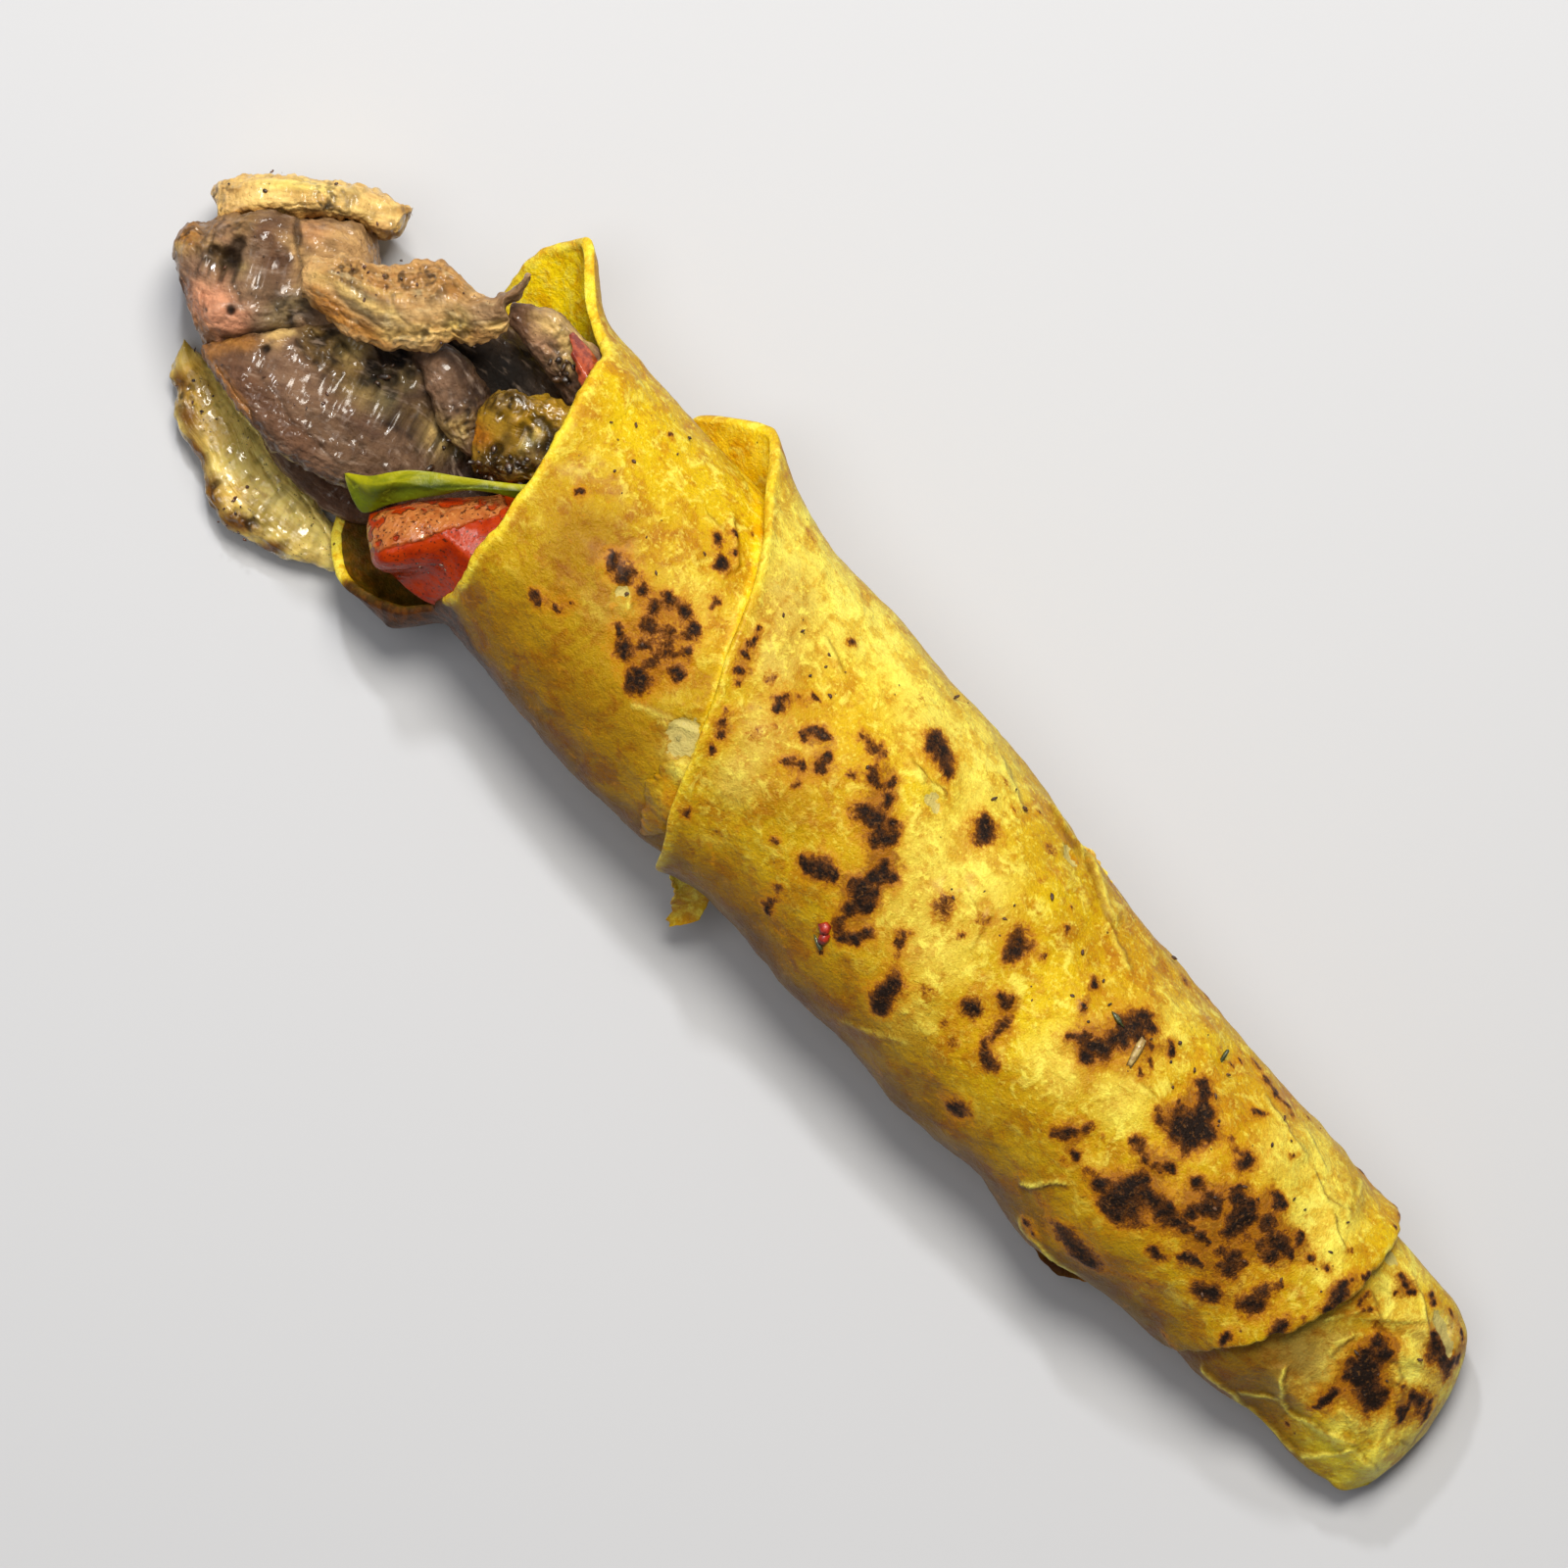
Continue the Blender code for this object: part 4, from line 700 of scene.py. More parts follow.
def breadFinish():
    # the tint, scorches, tears and sauce come from marks on the mesh; clouds break them up
    look = breadLook
    f = Finish("griddled bread", Specular_IOR_Level=0.15, Coat_Roughness=0.25)
    heat, torn, wet = f.mark("scorch"), f.mark("torn"), f.mark("wet")
    base = f.mark("tint", "Color")

    # mottling: golden blotches, pale cream flecks and a fine grain
    broad = f.cloud(look["mottle"], 0.3, 4.0, 0.62, bend=0.4)
    base = f.mix(broad.between(0.46, 0.62) * look["mottleCover"], base, look["mottleShade"], "MULTIPLY")
    wide = f.cloud(13.0, 4.9, 3.0, 0.6)
    base = f.mix(wide.between(0.46, 0.60) * 0.55, base, look["broadShade"], "MULTIPLY")
    pale = f.cloud(3.4, 1.7, 5.0, 0.66, bend=0.6)
    lit = f.channel(f.mark("tint", "Color"), 0).between(0.35, 0.75)
    base = f.mix(pale.between(0.50, 0.66) * lit * look["paleCover"], base, look["paleBlotch"])
    fleck = f.cloud(look["fleck"], 2.1, 5.0, 0.68)
    base = f.mix(fleck.between(0.50, 0.66) * look["fleckCover"], base, look["fleckShade"], "MULTIPLY")
    paleGrain = f.cloud(0.9, 5.2, 3.0).between(0.55, 0.70) * lit
    base = f.mix(paleGrain * look["fleckCover"], base, look["paleGrain"])
    fine = f.cloud(0.35, 0.9, 2.0, 0.6)
    grain = f.mix(fine.between(0.3, 0.7), look["grainShade"], (1.0, 1.0, 1.0))
    base = f.mix(look["grainCover"], base, grain, "MULTIPLY")
    tan = f.cloud(2.6, 7.7, 4.0, 0.62, bend=0.5).between(0.60, 0.72)
    base = f.mix(tan * 0.6, base, look["tanSpot"])

    # small dark specks, scattered in drifts
    drift = f.cloud(11.0, 3.9, 2.0).between(0.46, 0.62)
    distance = f.cells(look["speckSize"], 1.3) + f.cloud(0.5, 8.1, 2.0) * 0.12
    chosen = f.channel(f.cells(look["speckSize"], 1.3, "Color"), 0)
    speck = (1.0 - distance.between(0.12, 0.20)) * (chosen < look["speckShare"]) * drift
    base = f.mix(speck * 0.9, base, look["speck"])

    # scorches: soft orange-brown browning round them, then brown, then black, with clotted edges
    clot = f.cloud(1.3, 4.4, 5.0, 0.72, bend=0.8)
    grit = f.cloud(0.5, 6.3, 3.0, 0.7)
    singe = f.mark("singe")
    browned = singe + ((clot - 0.5) * 0.9 + (grit - 0.5) * 0.5) * singe.between(0.02, 0.15)
    base = f.mix(browned.between(0.12, 0.56) * 0.70, base, look["browned"])
    base = f.mix(browned.between(0.40, 0.74) * 0.85, base, look["deepBrowned"])
    burnt = heat + ((clot - 0.5) * 1.2 + (grit - 0.5) * 0.5) * heat.between(0.03, 0.35)
    base = f.mix(burnt.between(0.14, 0.36) * 0.75, base, look["scorchEdge"])
    base = f.mix(burnt.between(0.32, 0.52) * 0.88, base, look["scorch"])
    base = f.mix(burnt.between(0.52, 0.72) * 0.90, base, look["deepScorch"])
    base = f.mix(burnt.between(0.71, 0.91) * 0.96, base, paint["char"])
    crust = f.cloud(0.8, 9.4, 3.0).between(0.56, 0.68) * burnt.between(0.5, 0.7)
    base = f.mix(crust * 0.45, base, look["crust"])

    # torn layer and wet sauce
    bare = (torn + (f.cloud(1.4, 2.9, 3.0) - 0.5) * 0.9).between(0.47, 0.54)
    base = f.mix(bare * 0.85, base, look["torn"])
    soaked = (wet + (f.cloud(2.2, 7.1, 3.0) - 0.5) * 0.5).between(0.35, 0.62)
    sauce = f.mix(f.cloud(1.6, 0.2).between(0.4, 0.65), paint["sauce"], paint["sauceBrown"])
    base = f.mix(soaked * 0.93, base, sauce)
    f.set("Base Color", base)
    f.set("Roughness", (look["roughness"] + (fine - 0.5) * 0.18 + burnt.between(0.5, 0.8) * 0.2
                        - broad.between(0.5, 0.7) * 0.08).atLeast(0.12))
    oiled = f.cloud(14.0, 6.6, 2.0).between(0.42, 0.62) * look["oil"]
    f.set("Coat Weight", (oiled + soaked * 0.06).atMost(1.0))
    bump = f.relief(pale + fleck * 0.6, 0.9, 0.6)
    bump = f.relief(fine + f.cloud(0.7, 3.3, 2.0) * 0.8, 0.16, 0.6, bump)
    bump = f.relief(f.cloud(0.5, 1.9, 3.0) * burnt.between(0.5, 0.8), 0.35, 0.8, bump)
    f.set("Normal", bump)
    return f.material


def meatFinish(name, gloss=0.4, streak=0.5, speck=0.5, fibre=0.7, dark=(0.42, 0.34, 0.30),
               light=(1.0, 0.86, 0.62)):
    # the piece's tint, streaked along its fibres, with fat that catches the light
    f = Finish(name, Specular_IOR_Level=0.25, Coat_Roughness=0.12)
    base = f.mark("tint", "Color")
    long = f.cloud(fibre, 0.0, 4.0, 0.6, along=(0.22, 1.0, 1.0), bend=0.5)
    broad = f.cloud(3.4, 4.0, 4.0, 0.6, along=(0.45, 1.0, 1.0))
    base = f.mix(long.between(0.40, 0.62) * streak, base, f.mix(0.75, base, dark, "MULTIPLY"))
    base = f.mix(broad.between(0.50, 0.68) * streak * 0.8, base, f.mix(1.0, base, dark, "MULTIPLY"))
    pale = f.cloud(1.7, 9.0, 3.0, 0.6, along=(0.35, 1.0, 1.0)).between(0.56, 0.72)
    base = f.mix(pale * 0.30, base, light)
    crumbs = f.cloud(0.55, 2.4, 2.0).between(0.64, 0.72) * f.cloud(5.0, 8.4, 2.0).between(0.45, 0.6)
    base = f.mix(crumbs * speck, base, (0.050, 0.020, 0.008))
    f.set("Base Color", base)
    lit = f.channel(f.mark("tint", "Color"), 0).between(0.01, 0.12)
    wetness = f.cloud(2.2, 5.6, 3.0).between(0.42, 0.62) * lit
    f.set("Roughness", 0.55 - wetness * 0.22)
    f.set("Coat Weight", (wetness * gloss).atMost(1.0))
    bump = f.relief(long, 0.25, 0.4)
    bump = f.relief(f.cloud(0.9, 3.1, 5.0, 0.7), 0.65, 0.9, bump)
    f.set("Normal", bump)
    return f.material


def tomatoFinish():
    # the cut flesh where the tint is pale, and the skin elsewhere
    f = Finish("tomato flesh", Specular_IOR_Level=0.15, Coat_Roughness=0.06)
    base = f.mark("tint", "Color")
    flesh = (f.channel(base, 1) + (f.cloud(1.2, 4.1) - 0.5) * 0.02).between(0.09, 0.12)
    base = f.mix(flesh, paint["tomatoSkin"], base)
    base = f.mix(f.cloud(2.6, 1.0, 4.0).between(0.46, 0.66) * 0.7, base, (0.66, 0.42, 0.26), "MULTIPLY")
    base = f.mix(f.cloud(0.9, 2.0, 3.0).between(0.58, 0.70) * flesh * 0.35, base, (0.80, 0.42, 0.14))
    specks = f.cloud(0.6, 5.4, 2.0).between(0.60, 0.66)
    base = f.mix(specks * 0.85, base, (0.045, 0.010, 0.004))
    f.set("Base Color", base)
    f.set("Roughness", 0.20 + f.cloud(2.0, 3.0, 2.0) * 0.16)
    f.set("Coat Weight", f.cloud(1.8, 6.0, 2.0).between(0.46, 0.6) * (0.04 + flesh * 0.96))
    dented = f.cloud(2.2, 7.0, 3.0, 0.5, along=(1.2, 0.45, 1.0)) * (0.3 + flesh * 0.7)
    f.set("Normal", f.relief(dented, 1.5, 0.9))
    return f.material


def leafFinish():
    # the tint, darker in drifts along the blade, with pale veins
    f = Finish("green leaf", Specular_IOR_Level=0.25, Coat_Weight=0.12, Coat_Roughness=0.2)
    base = f.mark("tint", "Color")
    base = f.mix(f.cloud(1.8, 1.0, 3.0, along=(0.3, 1.0, 1.0)).between(0.45, 0.65) * 0.6, base,
                 (0.35, 0.48, 0.40), "MULTIPLY")
    veins = f.cloud(0.9, 2.0, 2.0, along=(0.8, 0.8, 0.5)).between(0.60, 0.72)
    base = f.mix(veins * 0.25, base, (0.34, 0.38, 0.02))
    f.set("Base Color", base)
    f.set("Roughness", 0.30 + f.cloud(1.5, 3.0) * 0.2)
    f.set("Normal", f.relief(f.cloud(1.1, 4.0, 3.0), 0.35, 0.6))
    return f.material


def onionFinish(name, dark=(0.34, 0.22, 0.08)):
    # soft and half clear, threaded along its length, wet
    f = Finish(name, Specular_IOR_Level=0.3, Coat_Roughness=0.07,
               Subsurface_Weight=0.15, Subsurface_Radius=(1.0, 0.7, 0.25), Subsurface_Scale=0.002)
    base = f.mark("tint", "Color")
    threads = f.cloud(0.9, 0.0, 3.0, 0.6, along=(0.12, 1.0, 1.0))
    base = f.mix(threads.between(0.42, 0.62) * 0.3, base, (0.74, 0.60, 0.42), "MULTIPLY")
    base = f.mix(f.cloud(2.6, 5.0, 4.0).between(0.54, 0.70) * 0.5, base, f.mix(1.0, base, dark, "MULTIPLY"))
    specks = f.cloud(0.6, 3.7, 2.0).between(0.63, 0.70) * f.cloud(4.0, 1.4, 2.0).between(0.44, 0.6)
    base = f.mix(specks * 0.85, base, (0.040, 0.016, 0.005))
    f.set("Base Color", base)
    wetness = f.cloud(1.8, 6.0, 3.0).between(0.42, 0.60)
    f.set("Roughness", 0.38 - wetness * 0.22)
    f.set("Coat Weight", wetness * 0.9)
    bump = f.relief(threads, 0.4, 0.7)
    f.set("Normal", f.relief(f.cloud(1.2, 8.0, 3.0), 0.45, 0.6, bump))
    return f.material


def plainFinish(name, colour, roughness, other, size=1.0, coat=0.0):
    # small bits: one colour clouded with another
    f = Finish(name, Coat_Weight=coat, Coat_Roughness=0.1)
    f.set("Base Color", f.mix(f.cloud(size, 0.4, 3.0).between(0.42, 0.62), colour, other))
    f.set("Roughness", roughness + (f.cloud(size * 0.5, 1.4) - 0.5) * 0.2)
    f.set("Normal", f.relief(f.cloud(size * 0.4, 2.4), 0.2, 0.6))
    return f.material


# The bread

def onAngles(table, spots):
    # places given as seen from above, x and y, turned to x and angle round the roll
    turned = []
    for x, y, radius, strength in spots:
        middle, wide, high = (float(v) for v in rollSection(table, np.array(x)))
        share = min(max((y - middle) / wide, -0.999), 0.999)
        turned.append((x, math.degrees(math.acos(share)), radius, strength))
    return turned


def underneathMarks(start, end):
    # the same kind of scorch scattered over the side that lies down
    draw = np.random.default_rng(hiddenScorches["seed"] + abs(int(start)))
    count = int(hiddenScorches["count"] * (end - start) / 150.0)
    return [(draw.uniform(start, end), draw.uniform(hiddenScorches["from"], hiddenScorches["to"]),
             draw.uniform(*hiddenScorches["radius"]), draw.uniform(0.5, 1.1)) for _ in range(count)]


def overMarks(x, angle, table, spots, sharpness=0.8, reach=1.0):
    # how much the marks cover each point together: each fades from its middle over the unrolled bread
    middle, wide, high = rollSection(table, x)
    radiusHere = (wide + high) / 2.0
    bare = np.ones(np.broadcast(x, angle).shape)
    for markX, markAngle, radius, strength in spots:
        apart = np.radians(np.mod(angle - markAngle + 180.0, 360.0) - 180.0) * radiusHere
        away = ((x - markX) ** 2 + apart**2) / (radius * reach) ** 2
        bare = bare * (1.0 - min(strength, 0.97) * np.exp(-sharpness * away))
    return 1.0 - bare


def plied(points, lines):
    # ply edges seen from above: steep on one side and easing away over the other; gives the rise,
    # how near the crest is, for a painted highlight on it, and how near its foot, for a painted shadow there
    x = points[..., 0] + 0.5 * cloud(points, 2.6, 631) + 0.2 * cloud(points, 0.9, 633)
    y = points[..., 1] + 0.5 * cloud(points, 2.6, 632) + 0.2 * cloud(points, 0.9, 634)
    rise, litCrest, shadow = np.zeros(x.shape), np.zeros(x.shape), np.zeros(x.shape)
    for fromX, fromY, toX, toY, height, reach in lines:
        runX, runY = toX - fromX, toY - fromY
        length = math.hypot(runX, runY)
        share = ((x - fromX) * runX + (y - fromY) * runY) / length**2
        aside = ((x - fromX) * runY - (y - fromY) * runX) / length
        here = ease(-0.10, 0.05, share) * ease(-0.10, 0.05, 1.0 - share)
        slope = np.where(aside < 0.0, np.exp(-(aside / 0.35) ** 2), np.exp(-np.maximum(aside, 0.0) / reach))
        rise = np.maximum(rise, height * slope * here)
        litCrest = np.maximum(litCrest, here * np.exp(-((aside - 0.15) / 0.35) ** 2) * min(height / 0.6, 1.0))
        shadow = np.maximum(shadow, here * np.exp(-((aside + 0.45) / 0.35) ** 2) * min(height / 0.6, 1.0))
    return rise, litCrest, shadow


def breadMarks(stretch, points, x, angle, table, outside):
    # colour, scorch, browning (partly painted shade down the -Y side), tear and sauce marks of a stretch,
    # with painted highlights and shadows at the ply edges; outside is 0 on its inner wall.
    # the outlines of the marks wander with two clouds, one finer than the other
    wanderX = 0.75 * cloud(points, 2.1, 621) + 0.45 * cloud(points, 0.9, 622)
    wanderTurn = (0.75 * cloud(points, 2.1, 623) + 0.45 * cloud(points, 0.9, 624)) * 2.3
    warpedX, warpedAngle = x + wanderX, angle + wanderTurn
    given = [(*mark, strength) for strength, marks in scorches[stretch].items() for mark in marks]
    shown = onAngles(table, given) + underneathMarks(x.min(), x.max())
    heat = overMarks(warpedX, warpedAngle, table, shown, 0.95) * outside
    halo = [(markX, turn, radius + 0.6, 0.58 * strength) for markX, turn, radius, strength in shown]
    singe = overMarks(warpedX, warpedAngle, table, halo, 0.9, 1.25) * outside
    torn = overMarks(warpedX, warpedAngle, table, onAngles(table, tornPatches[stretch]), 0.7) * outside
    wet = overMarks(x, angle, table, saucePatches[stretch], 0.7)
    tint = painted(points, "golden", breadPatches[stretch])
    low = np.array(paint["golden"]) * 0.35 + np.array(paint["olive"]) * 0.65
    tint = laidOver(tint, low, outside * (1.0 - ease(-0.35, 0.30, np.sin(np.radians(angle)))))
    # browner and deeper down both sides, most on the -Y one, where it is partly painted shade
    beside = 0.10 * cloud(points, 5.0, 641) - np.cos(np.radians(angle))
    for start, end, cover, colour in sideShadeAndBrowning[stretch]:
        tint = laidOver(tint, paint[colour], cover * ease(start, end, beside))
    rise, litCrest, shadow = plied(points, plyEdges[stretch])
    # painted highlight along the ply crests and painted shadow at their feet, on the upward faces only
    facing = outside * ease(0.05, 0.3, np.sin(np.radians(angle)))
    tint = laidOver(tint, paint["cream"], 0.75 * litCrest * facing)
    tint = laidOver(tint, paint["shadowed"], 0.6 * shadow * facing)
    # the inner wall in bright pale yellow: partly its own paler colour, partly painted light where it lies
    # in shade
    tint = laidOver(tint, paint["paleLitInsideWall"], 1.0 - outside)
    return {"scorch": heat, "singe": singe, "torn": torn, "wet": wet, "tint": tint}, rise * facing


def unevenness(points, seed):
    # puffed and dented as griddled bread is: soft lumps with smaller ones on them
    return (0.34 * clouds(points, 9.0, seed, 3) + 0.16 * cloud(points, 3.4, seed + 7)
            + 0.07 * cloud(points, 1.3, seed + 9))


def shell(name, x, angle, inward, outward, outside, stretch, finish, seed, rim=None):
    # a bent sheet with both faces and its edges: a grid that closes both ways
    flat = onRoll(angle, x, inward, outward)
    marks, rise = breadMarks(stretch, flat, x, angle, bread["roll"], outside)
    blister = (marks["scorch"] * (0.22 + 0.25 * cloud(flat, 2.4, seed + 3))
               - 0.55 * ease(0.4, 0.6, marks["torn"]))
    lumps = (unevenness(flat, seed) + blister) * outside + 0.12 * cloud(flat, 3.0, seed + 8)
    points = onRoll(angle, x, inward, outward + lumps + rise)
    if rim is not None:
        # the pale rim is laid along the sheet's edge: partly its own colour, partly a painted highlight
        marks["tint"] = laidOver(marks["tint"], paint["rim"], rim)
        marks["wet"], marks["singe"] = marks["wet"] * (1.0 - rim), marks["singe"] * (1.0 - 0.6 * rim)
    rows, columns = x.shape
    return addPiece(name, points.reshape(-1, 3), gridFaces(rows, columns, closed=True), [], finish,
                    ("flatbread",), inRows(marks))


def innerTurn(finish):
    # inner wall, round the mouth's rim, and outer wall on under the lap
    angle = ringAngles(bread["columns"])
    sheet, inward = bread["sheet"], 2 * bread["sheet"] + bread["plyGap"]
    rim = ringCurve(bread["mouthRim"], angle)
    at, rows = onRoll(angle, rim, 0.0, 0.0), bread["innerRows"]
    rim = rim + 0.5 * cloud(at, 6.0, 31) + 0.25 * cloud(at, 1.6, 32)
    tail = ringCurve(bread["lapEdge"], angle) + bread["underLap"]
    back = np.linspace(1.0, 0.0, rows["wall"])[:, None] ** 1.6
    turn = np.linspace(0.0, math.pi, rows["rim"])[1:-1, None]
    out = np.linspace(0.0, 1.0, rows["face"])[:, None]
    x = np.vstack((rim + (tail - rim) * back, rim - 0.8 * np.sin(turn), rim + (tail - rim) * out))
    inwards = np.vstack((np.full((len(back), 1), inward), inward - sheet * (0.5 - 0.5 * np.cos(turn)),
                         np.full((len(out), 1), inward - sheet))) + 0.0 * x
    outside = np.vstack((np.zeros((len(back), 1)), np.linspace(0.0, 1.0, len(turn))[:, None],
                         np.ones((len(out), 1)))) + 0.0 * x
    lifted = mouthLift(angle, np.maximum(x, rim))
    wave = 0.8 * ripples(onRoll(angle, x, 0.0, 0.0), 24.0, 41) * (1.0 - ease(0.0, 16.0, x - rim))
    clear = 1.0 - ease(-2.0, 0.0, x - ringCurve(bread["lapEdge"], angle))
    soakedRim = ease(160.0, 168.0, angle) * ease(197.0, 189.0, angle)
    # the rim's pale band along the mouth's edge, partly a painted highlight
    edge = 0.9 * np.exp(-(np.clip(x - rim, 0.0, None) / 0.8) ** 2) * (1.0 - soakedRim)
    return shell("bread_inner_turn", x, angle + 0.0 * x, inwards, lifted + wave * clear, outside * clear,
                 "innerTurn", finish, 51, edge)


def outerTurn(finish):
    # outer wall from the lap edge to the hem, round the hem, and inner wall back to the lap
    angle = ringAngles(bread["columns"])
    sheet, rows = bread["sheet"], bread["outerRows"]
    lap = ringCurve(bread["lapEdge"], angle)
    lap = lap + 0.3 * cloud(onRoll(angle, lap, 0.0, 0.0), 5.0, 61)
    hem = ringCurve(bread["hem"], angle)
    at = onRoll(angle, hem, 0.0, 0.0)
    hem = hem + 0.7 * cloud(at, 4.5, 62) + 0.45 * cloud(at, 1.2, 63) - 0.2
    out = np.linspace(0.0, 1.0, rows["face"])[:, None]
    turn = np.linspace(0.0, math.pi, rows["edge"])[1:-1, None]
    back = np.linspace(1.0, 0.0, rows["wall"])[:, None]
    x = np.vstack((lap + (hem - lap) * out, hem + 0.6 * np.sin(turn), lap + (hem - lap) * back,
                   lap - 0.6 * np.sin(turn)))
    inwards = np.vstack((np.zeros((len(out), 1)), sheet * (0.5 - 0.5 * np.cos(turn)),
                         np.full((len(back), 1), sheet), sheet * (0.5 + 0.5 * np.cos(turn)))) + 0.0 * x
    outside = np.vstack((np.ones((len(out), 1)), 1.0 - 0.8 * np.sin(turn / 2) ** 2,
                         np.zeros((len(back), 1)), 0.15 + 0.85 * np.sin(turn / 2) ** 2)) + 0.0 * x
    lifted = turnLift(angle, np.clip(x, lap, hem))
    share = np.clip((x - lap) / (hem - lap), 0.0, 1.0)
    flat = onRoll(angle, x, 0.0, lifted)
    beadHeight, beadWidth = bread["lapBead"]
    bead = beadHeight * np.exp(-(np.clip(x - lap, 0.0, None) / beadWidth) ** 2)
    lifted = lifted + bead * ease(-0.2, 0.3, np.sin(np.radians(angle)))
    waver = ripples(flat, 34.0, 5) * 0.55 * ease(0.0, 0.2, share) * ease(0.0, 0.15, 1.0 - share)
    waver = waver + 0.35 * ripples(flat, 14.0, 66) * ease(0.0, 0.06, share)
    standing = np.maximum(lifted + waver, np.where(inwards > 0.9 * sheet, 0.0, -1.0))
    # the rim's pale band along the lap edge, partly a painted highlight
    edge = 0.85 * np.exp(-(np.clip(x - lap, 0.0, None) / 1.1) ** 2) * (0.6 + 0.4 * cloud(flat, 5.0, 69))
    return shell("bread_outer_turn", x, angle + 0.0 * x, inwards, standing, outside, "outerTurn",
                 finish, 71, edge)


# folds of the foot: x, y, length along, width, height, slant
footFolds = ((128, -5, 12, 1.2, 0.9, 0.25), (136, 1, 9, 0.9, 0.8, -0.5), (133, 12, 9, 0.8, 0.5, 0.6),
             (130, 18, 8, 0.8, 0.6, 0.9), (140, 8, 7, 0.8, 0.6, -0.9), (124, 20, 7, 0.7, 0.5, 0.3),
             (143, 2, 5, 0.8, 0.7, -1.2), (137, 15, 8, 0.7, 0.5, 0.2), (126, 6, 8, 0.8, 0.4, -0.4),
             (145, -4, 5, 0.8, 0.6, 0.8))


def footEnd(finish):
    # the folded end: a flattened round drawn in to its tip, with plies, folds and creases on top
    angle = ringAngles(bread["footColumns"])
    start = ringCurve(bread["hem"], angle) - 13.0
    t = np.linspace(0, 1, bread["footRows"])[:, None] ** 0.9
    end = bread["foot"][-1][0]
    x = start + (end - start) * t
    middle, wide, high = rollSection(bread["foot"], np.maximum(x, 102))
    turn = np.radians(angle)
    y = middle + wide * np.cos(turn)
    z = bread["footSole"] + high + high * np.sin(turn)
    top = ease(0.05, 0.5, np.sin(turn))
    ply = ease(-1.3, 1.3, -5.0 + 0.05 * (x - 124) - y) * ease(118, 124, x) * top
    z = z - bread["sheet"] * 0.9 * ply
    z = z - 0.8 * np.exp(-((y - 15.0 - 0.5 * (x - 130)) / 1.6) ** 2) * top * ease(120, 126, x)
    for foldX, foldY, length, width, height, slant in footFolds:
        along = (x - foldX) / length
        across = (y - foldY - slant * (x - foldX)) / width
        z = z + height * top * np.exp(-along**2 * 4) * np.where(across < 0, np.exp(-(across / 0.6) ** 2),
                                                                   np.exp(-(across / 3) ** 2))
    flat = np.stack((x, y, z), axis=-1)
    uneven = unevenness(flat, 81) * 0.9 + 0.5 * ripples(flat, 16, 9) * ease(0, 0.2, 1.0 - t)
    marks, rise = breadMarks("foot", flat, x, angle + 0.0 * x, bread["foot"], np.ones(x.shape))
    uneven = uneven + rise + 0.3 * marks["scorch"] * cloud(flat, 2, 84) - 0.5 * ease(0.4, 0.6, marks["torn"])
    uneven = uneven * ease(0, 0.05, 1.0 - t)
    flat[..., 1] += uneven * np.cos(turn) * 0.8
    flat[..., 2] += uneven * np.maximum(np.sin(turn), 0)
    flat[..., 2] = np.maximum(flat[..., 2], bread["footSole"] * 0.5)
    rows, columns = x.shape
    closing = flat[0].mean(axis=0)
    points = np.vstack((flat.reshape(-1, 3), closing[None], np.array([bread["footTip"]])))
    return addPiece("bread_foot", points, gridFaces(rows, columns), poleFaces(rows, columns), finish,
                    ("flatbread",), inRows(marks, ends=True))


# scraps of the outer ply: stations x, y, z, half width (z None lies on the inner turn), thickness,
# how far the edges curl up, and colouring
scrapGrid = (90, 56)
scraps = {
    "hanging_flake": {
        "stations": ((-11, -20.8, 23.5, 1.4), (-8.6, -21.4, 21, 2.6), (-6.4, -22.2, 18, 3),
            (-4.4, -23.8, 14.6, 2.7), (-3.6, -26.2, 11.4, 1.7), (-4, -28.4, 9.2, 0.7)),
        "thickness": 1.1, "curl": 0.9, "colour": "golden",
        "patches": ((-4, -25, 3.5, "orange", 0.7), (-9, -21, 2.5, "cream", 0.5))},
    "torn_flap": {
        "stations": ((-21.6, -6.4, None, 1.6), (-20.8, -8, None, 4), (-19.4, -11.5, None, 5.2),
            (-18.6, -15.5, None, 4.6), (-18.4, -19, None, 2.8), (-18.4, -21.4, None, 1)),
        "thickness": 1.1, "curl": -0.5, "colour": "olive",
        "patches": ((-22, -9, 2.2, "cream", 0.7), (-19, -13, 4, "golden", 0.5))},
    "side_ply": {
        "stations": ((72, -16, 14, 0.8), (75.5, -16.8, 13, 1.8), (79, -17.6, 11.8, 2.4),
            (84, -17.8, 10.6, 2.4), (87.5, -17, 10.8, 1.7), (90, -16, 11.8, 0.7)),
        "thickness": 1.1, "curl": 0.3, "colour": "deepOlive",
        "patches": ((84, -17.5, 4, "charBrown", 0.8),)},
    "notch_flake": {
        "stations": ((32.5, 31.2, None, 0.8), (35, 31, None, 2), (38.5, 30, None, 2.7), (42, 29, None, 2.2),
            (45.5, 27.4, None, 0.8)),
        "thickness": 1, "curl": 0.7, "colour": "cream", "patches": ((36, 31.5, 2, "dough", 0.9),)},
}


def lineFrames(stations, rows):
    # a curve through the stations, with its directions ahead, sideways and up
    knots = np.array(stations, float)
    steps = np.linalg.norm(np.diff(knots[:, :3], axis=0), axis=1)
    reached = np.concatenate(((0.0,), np.cumsum(steps))) / steps.sum()
    u = np.linspace(0.0, 1.0, rows + 2)[1:-1]
    at = 0.5 * u + 0.25 * (1.0 - np.cos(math.pi * u))
    columns = [curveThrough(reached, knots[:, k], at) for k in range(knots.shape[1])]
    line = np.stack(columns[:3], axis=1)
    ahead = np.gradient(line, axis=0)
    ahead /= np.linalg.norm(ahead, axis=1)[:, None]
    side = np.cross(ahead, (0.0, 0.0, 1.0))
    side /= np.linalg.norm(side, axis=1)[:, None]
    return at, line, ahead, side, np.cross(side, ahead), columns[3:], steps.sum()


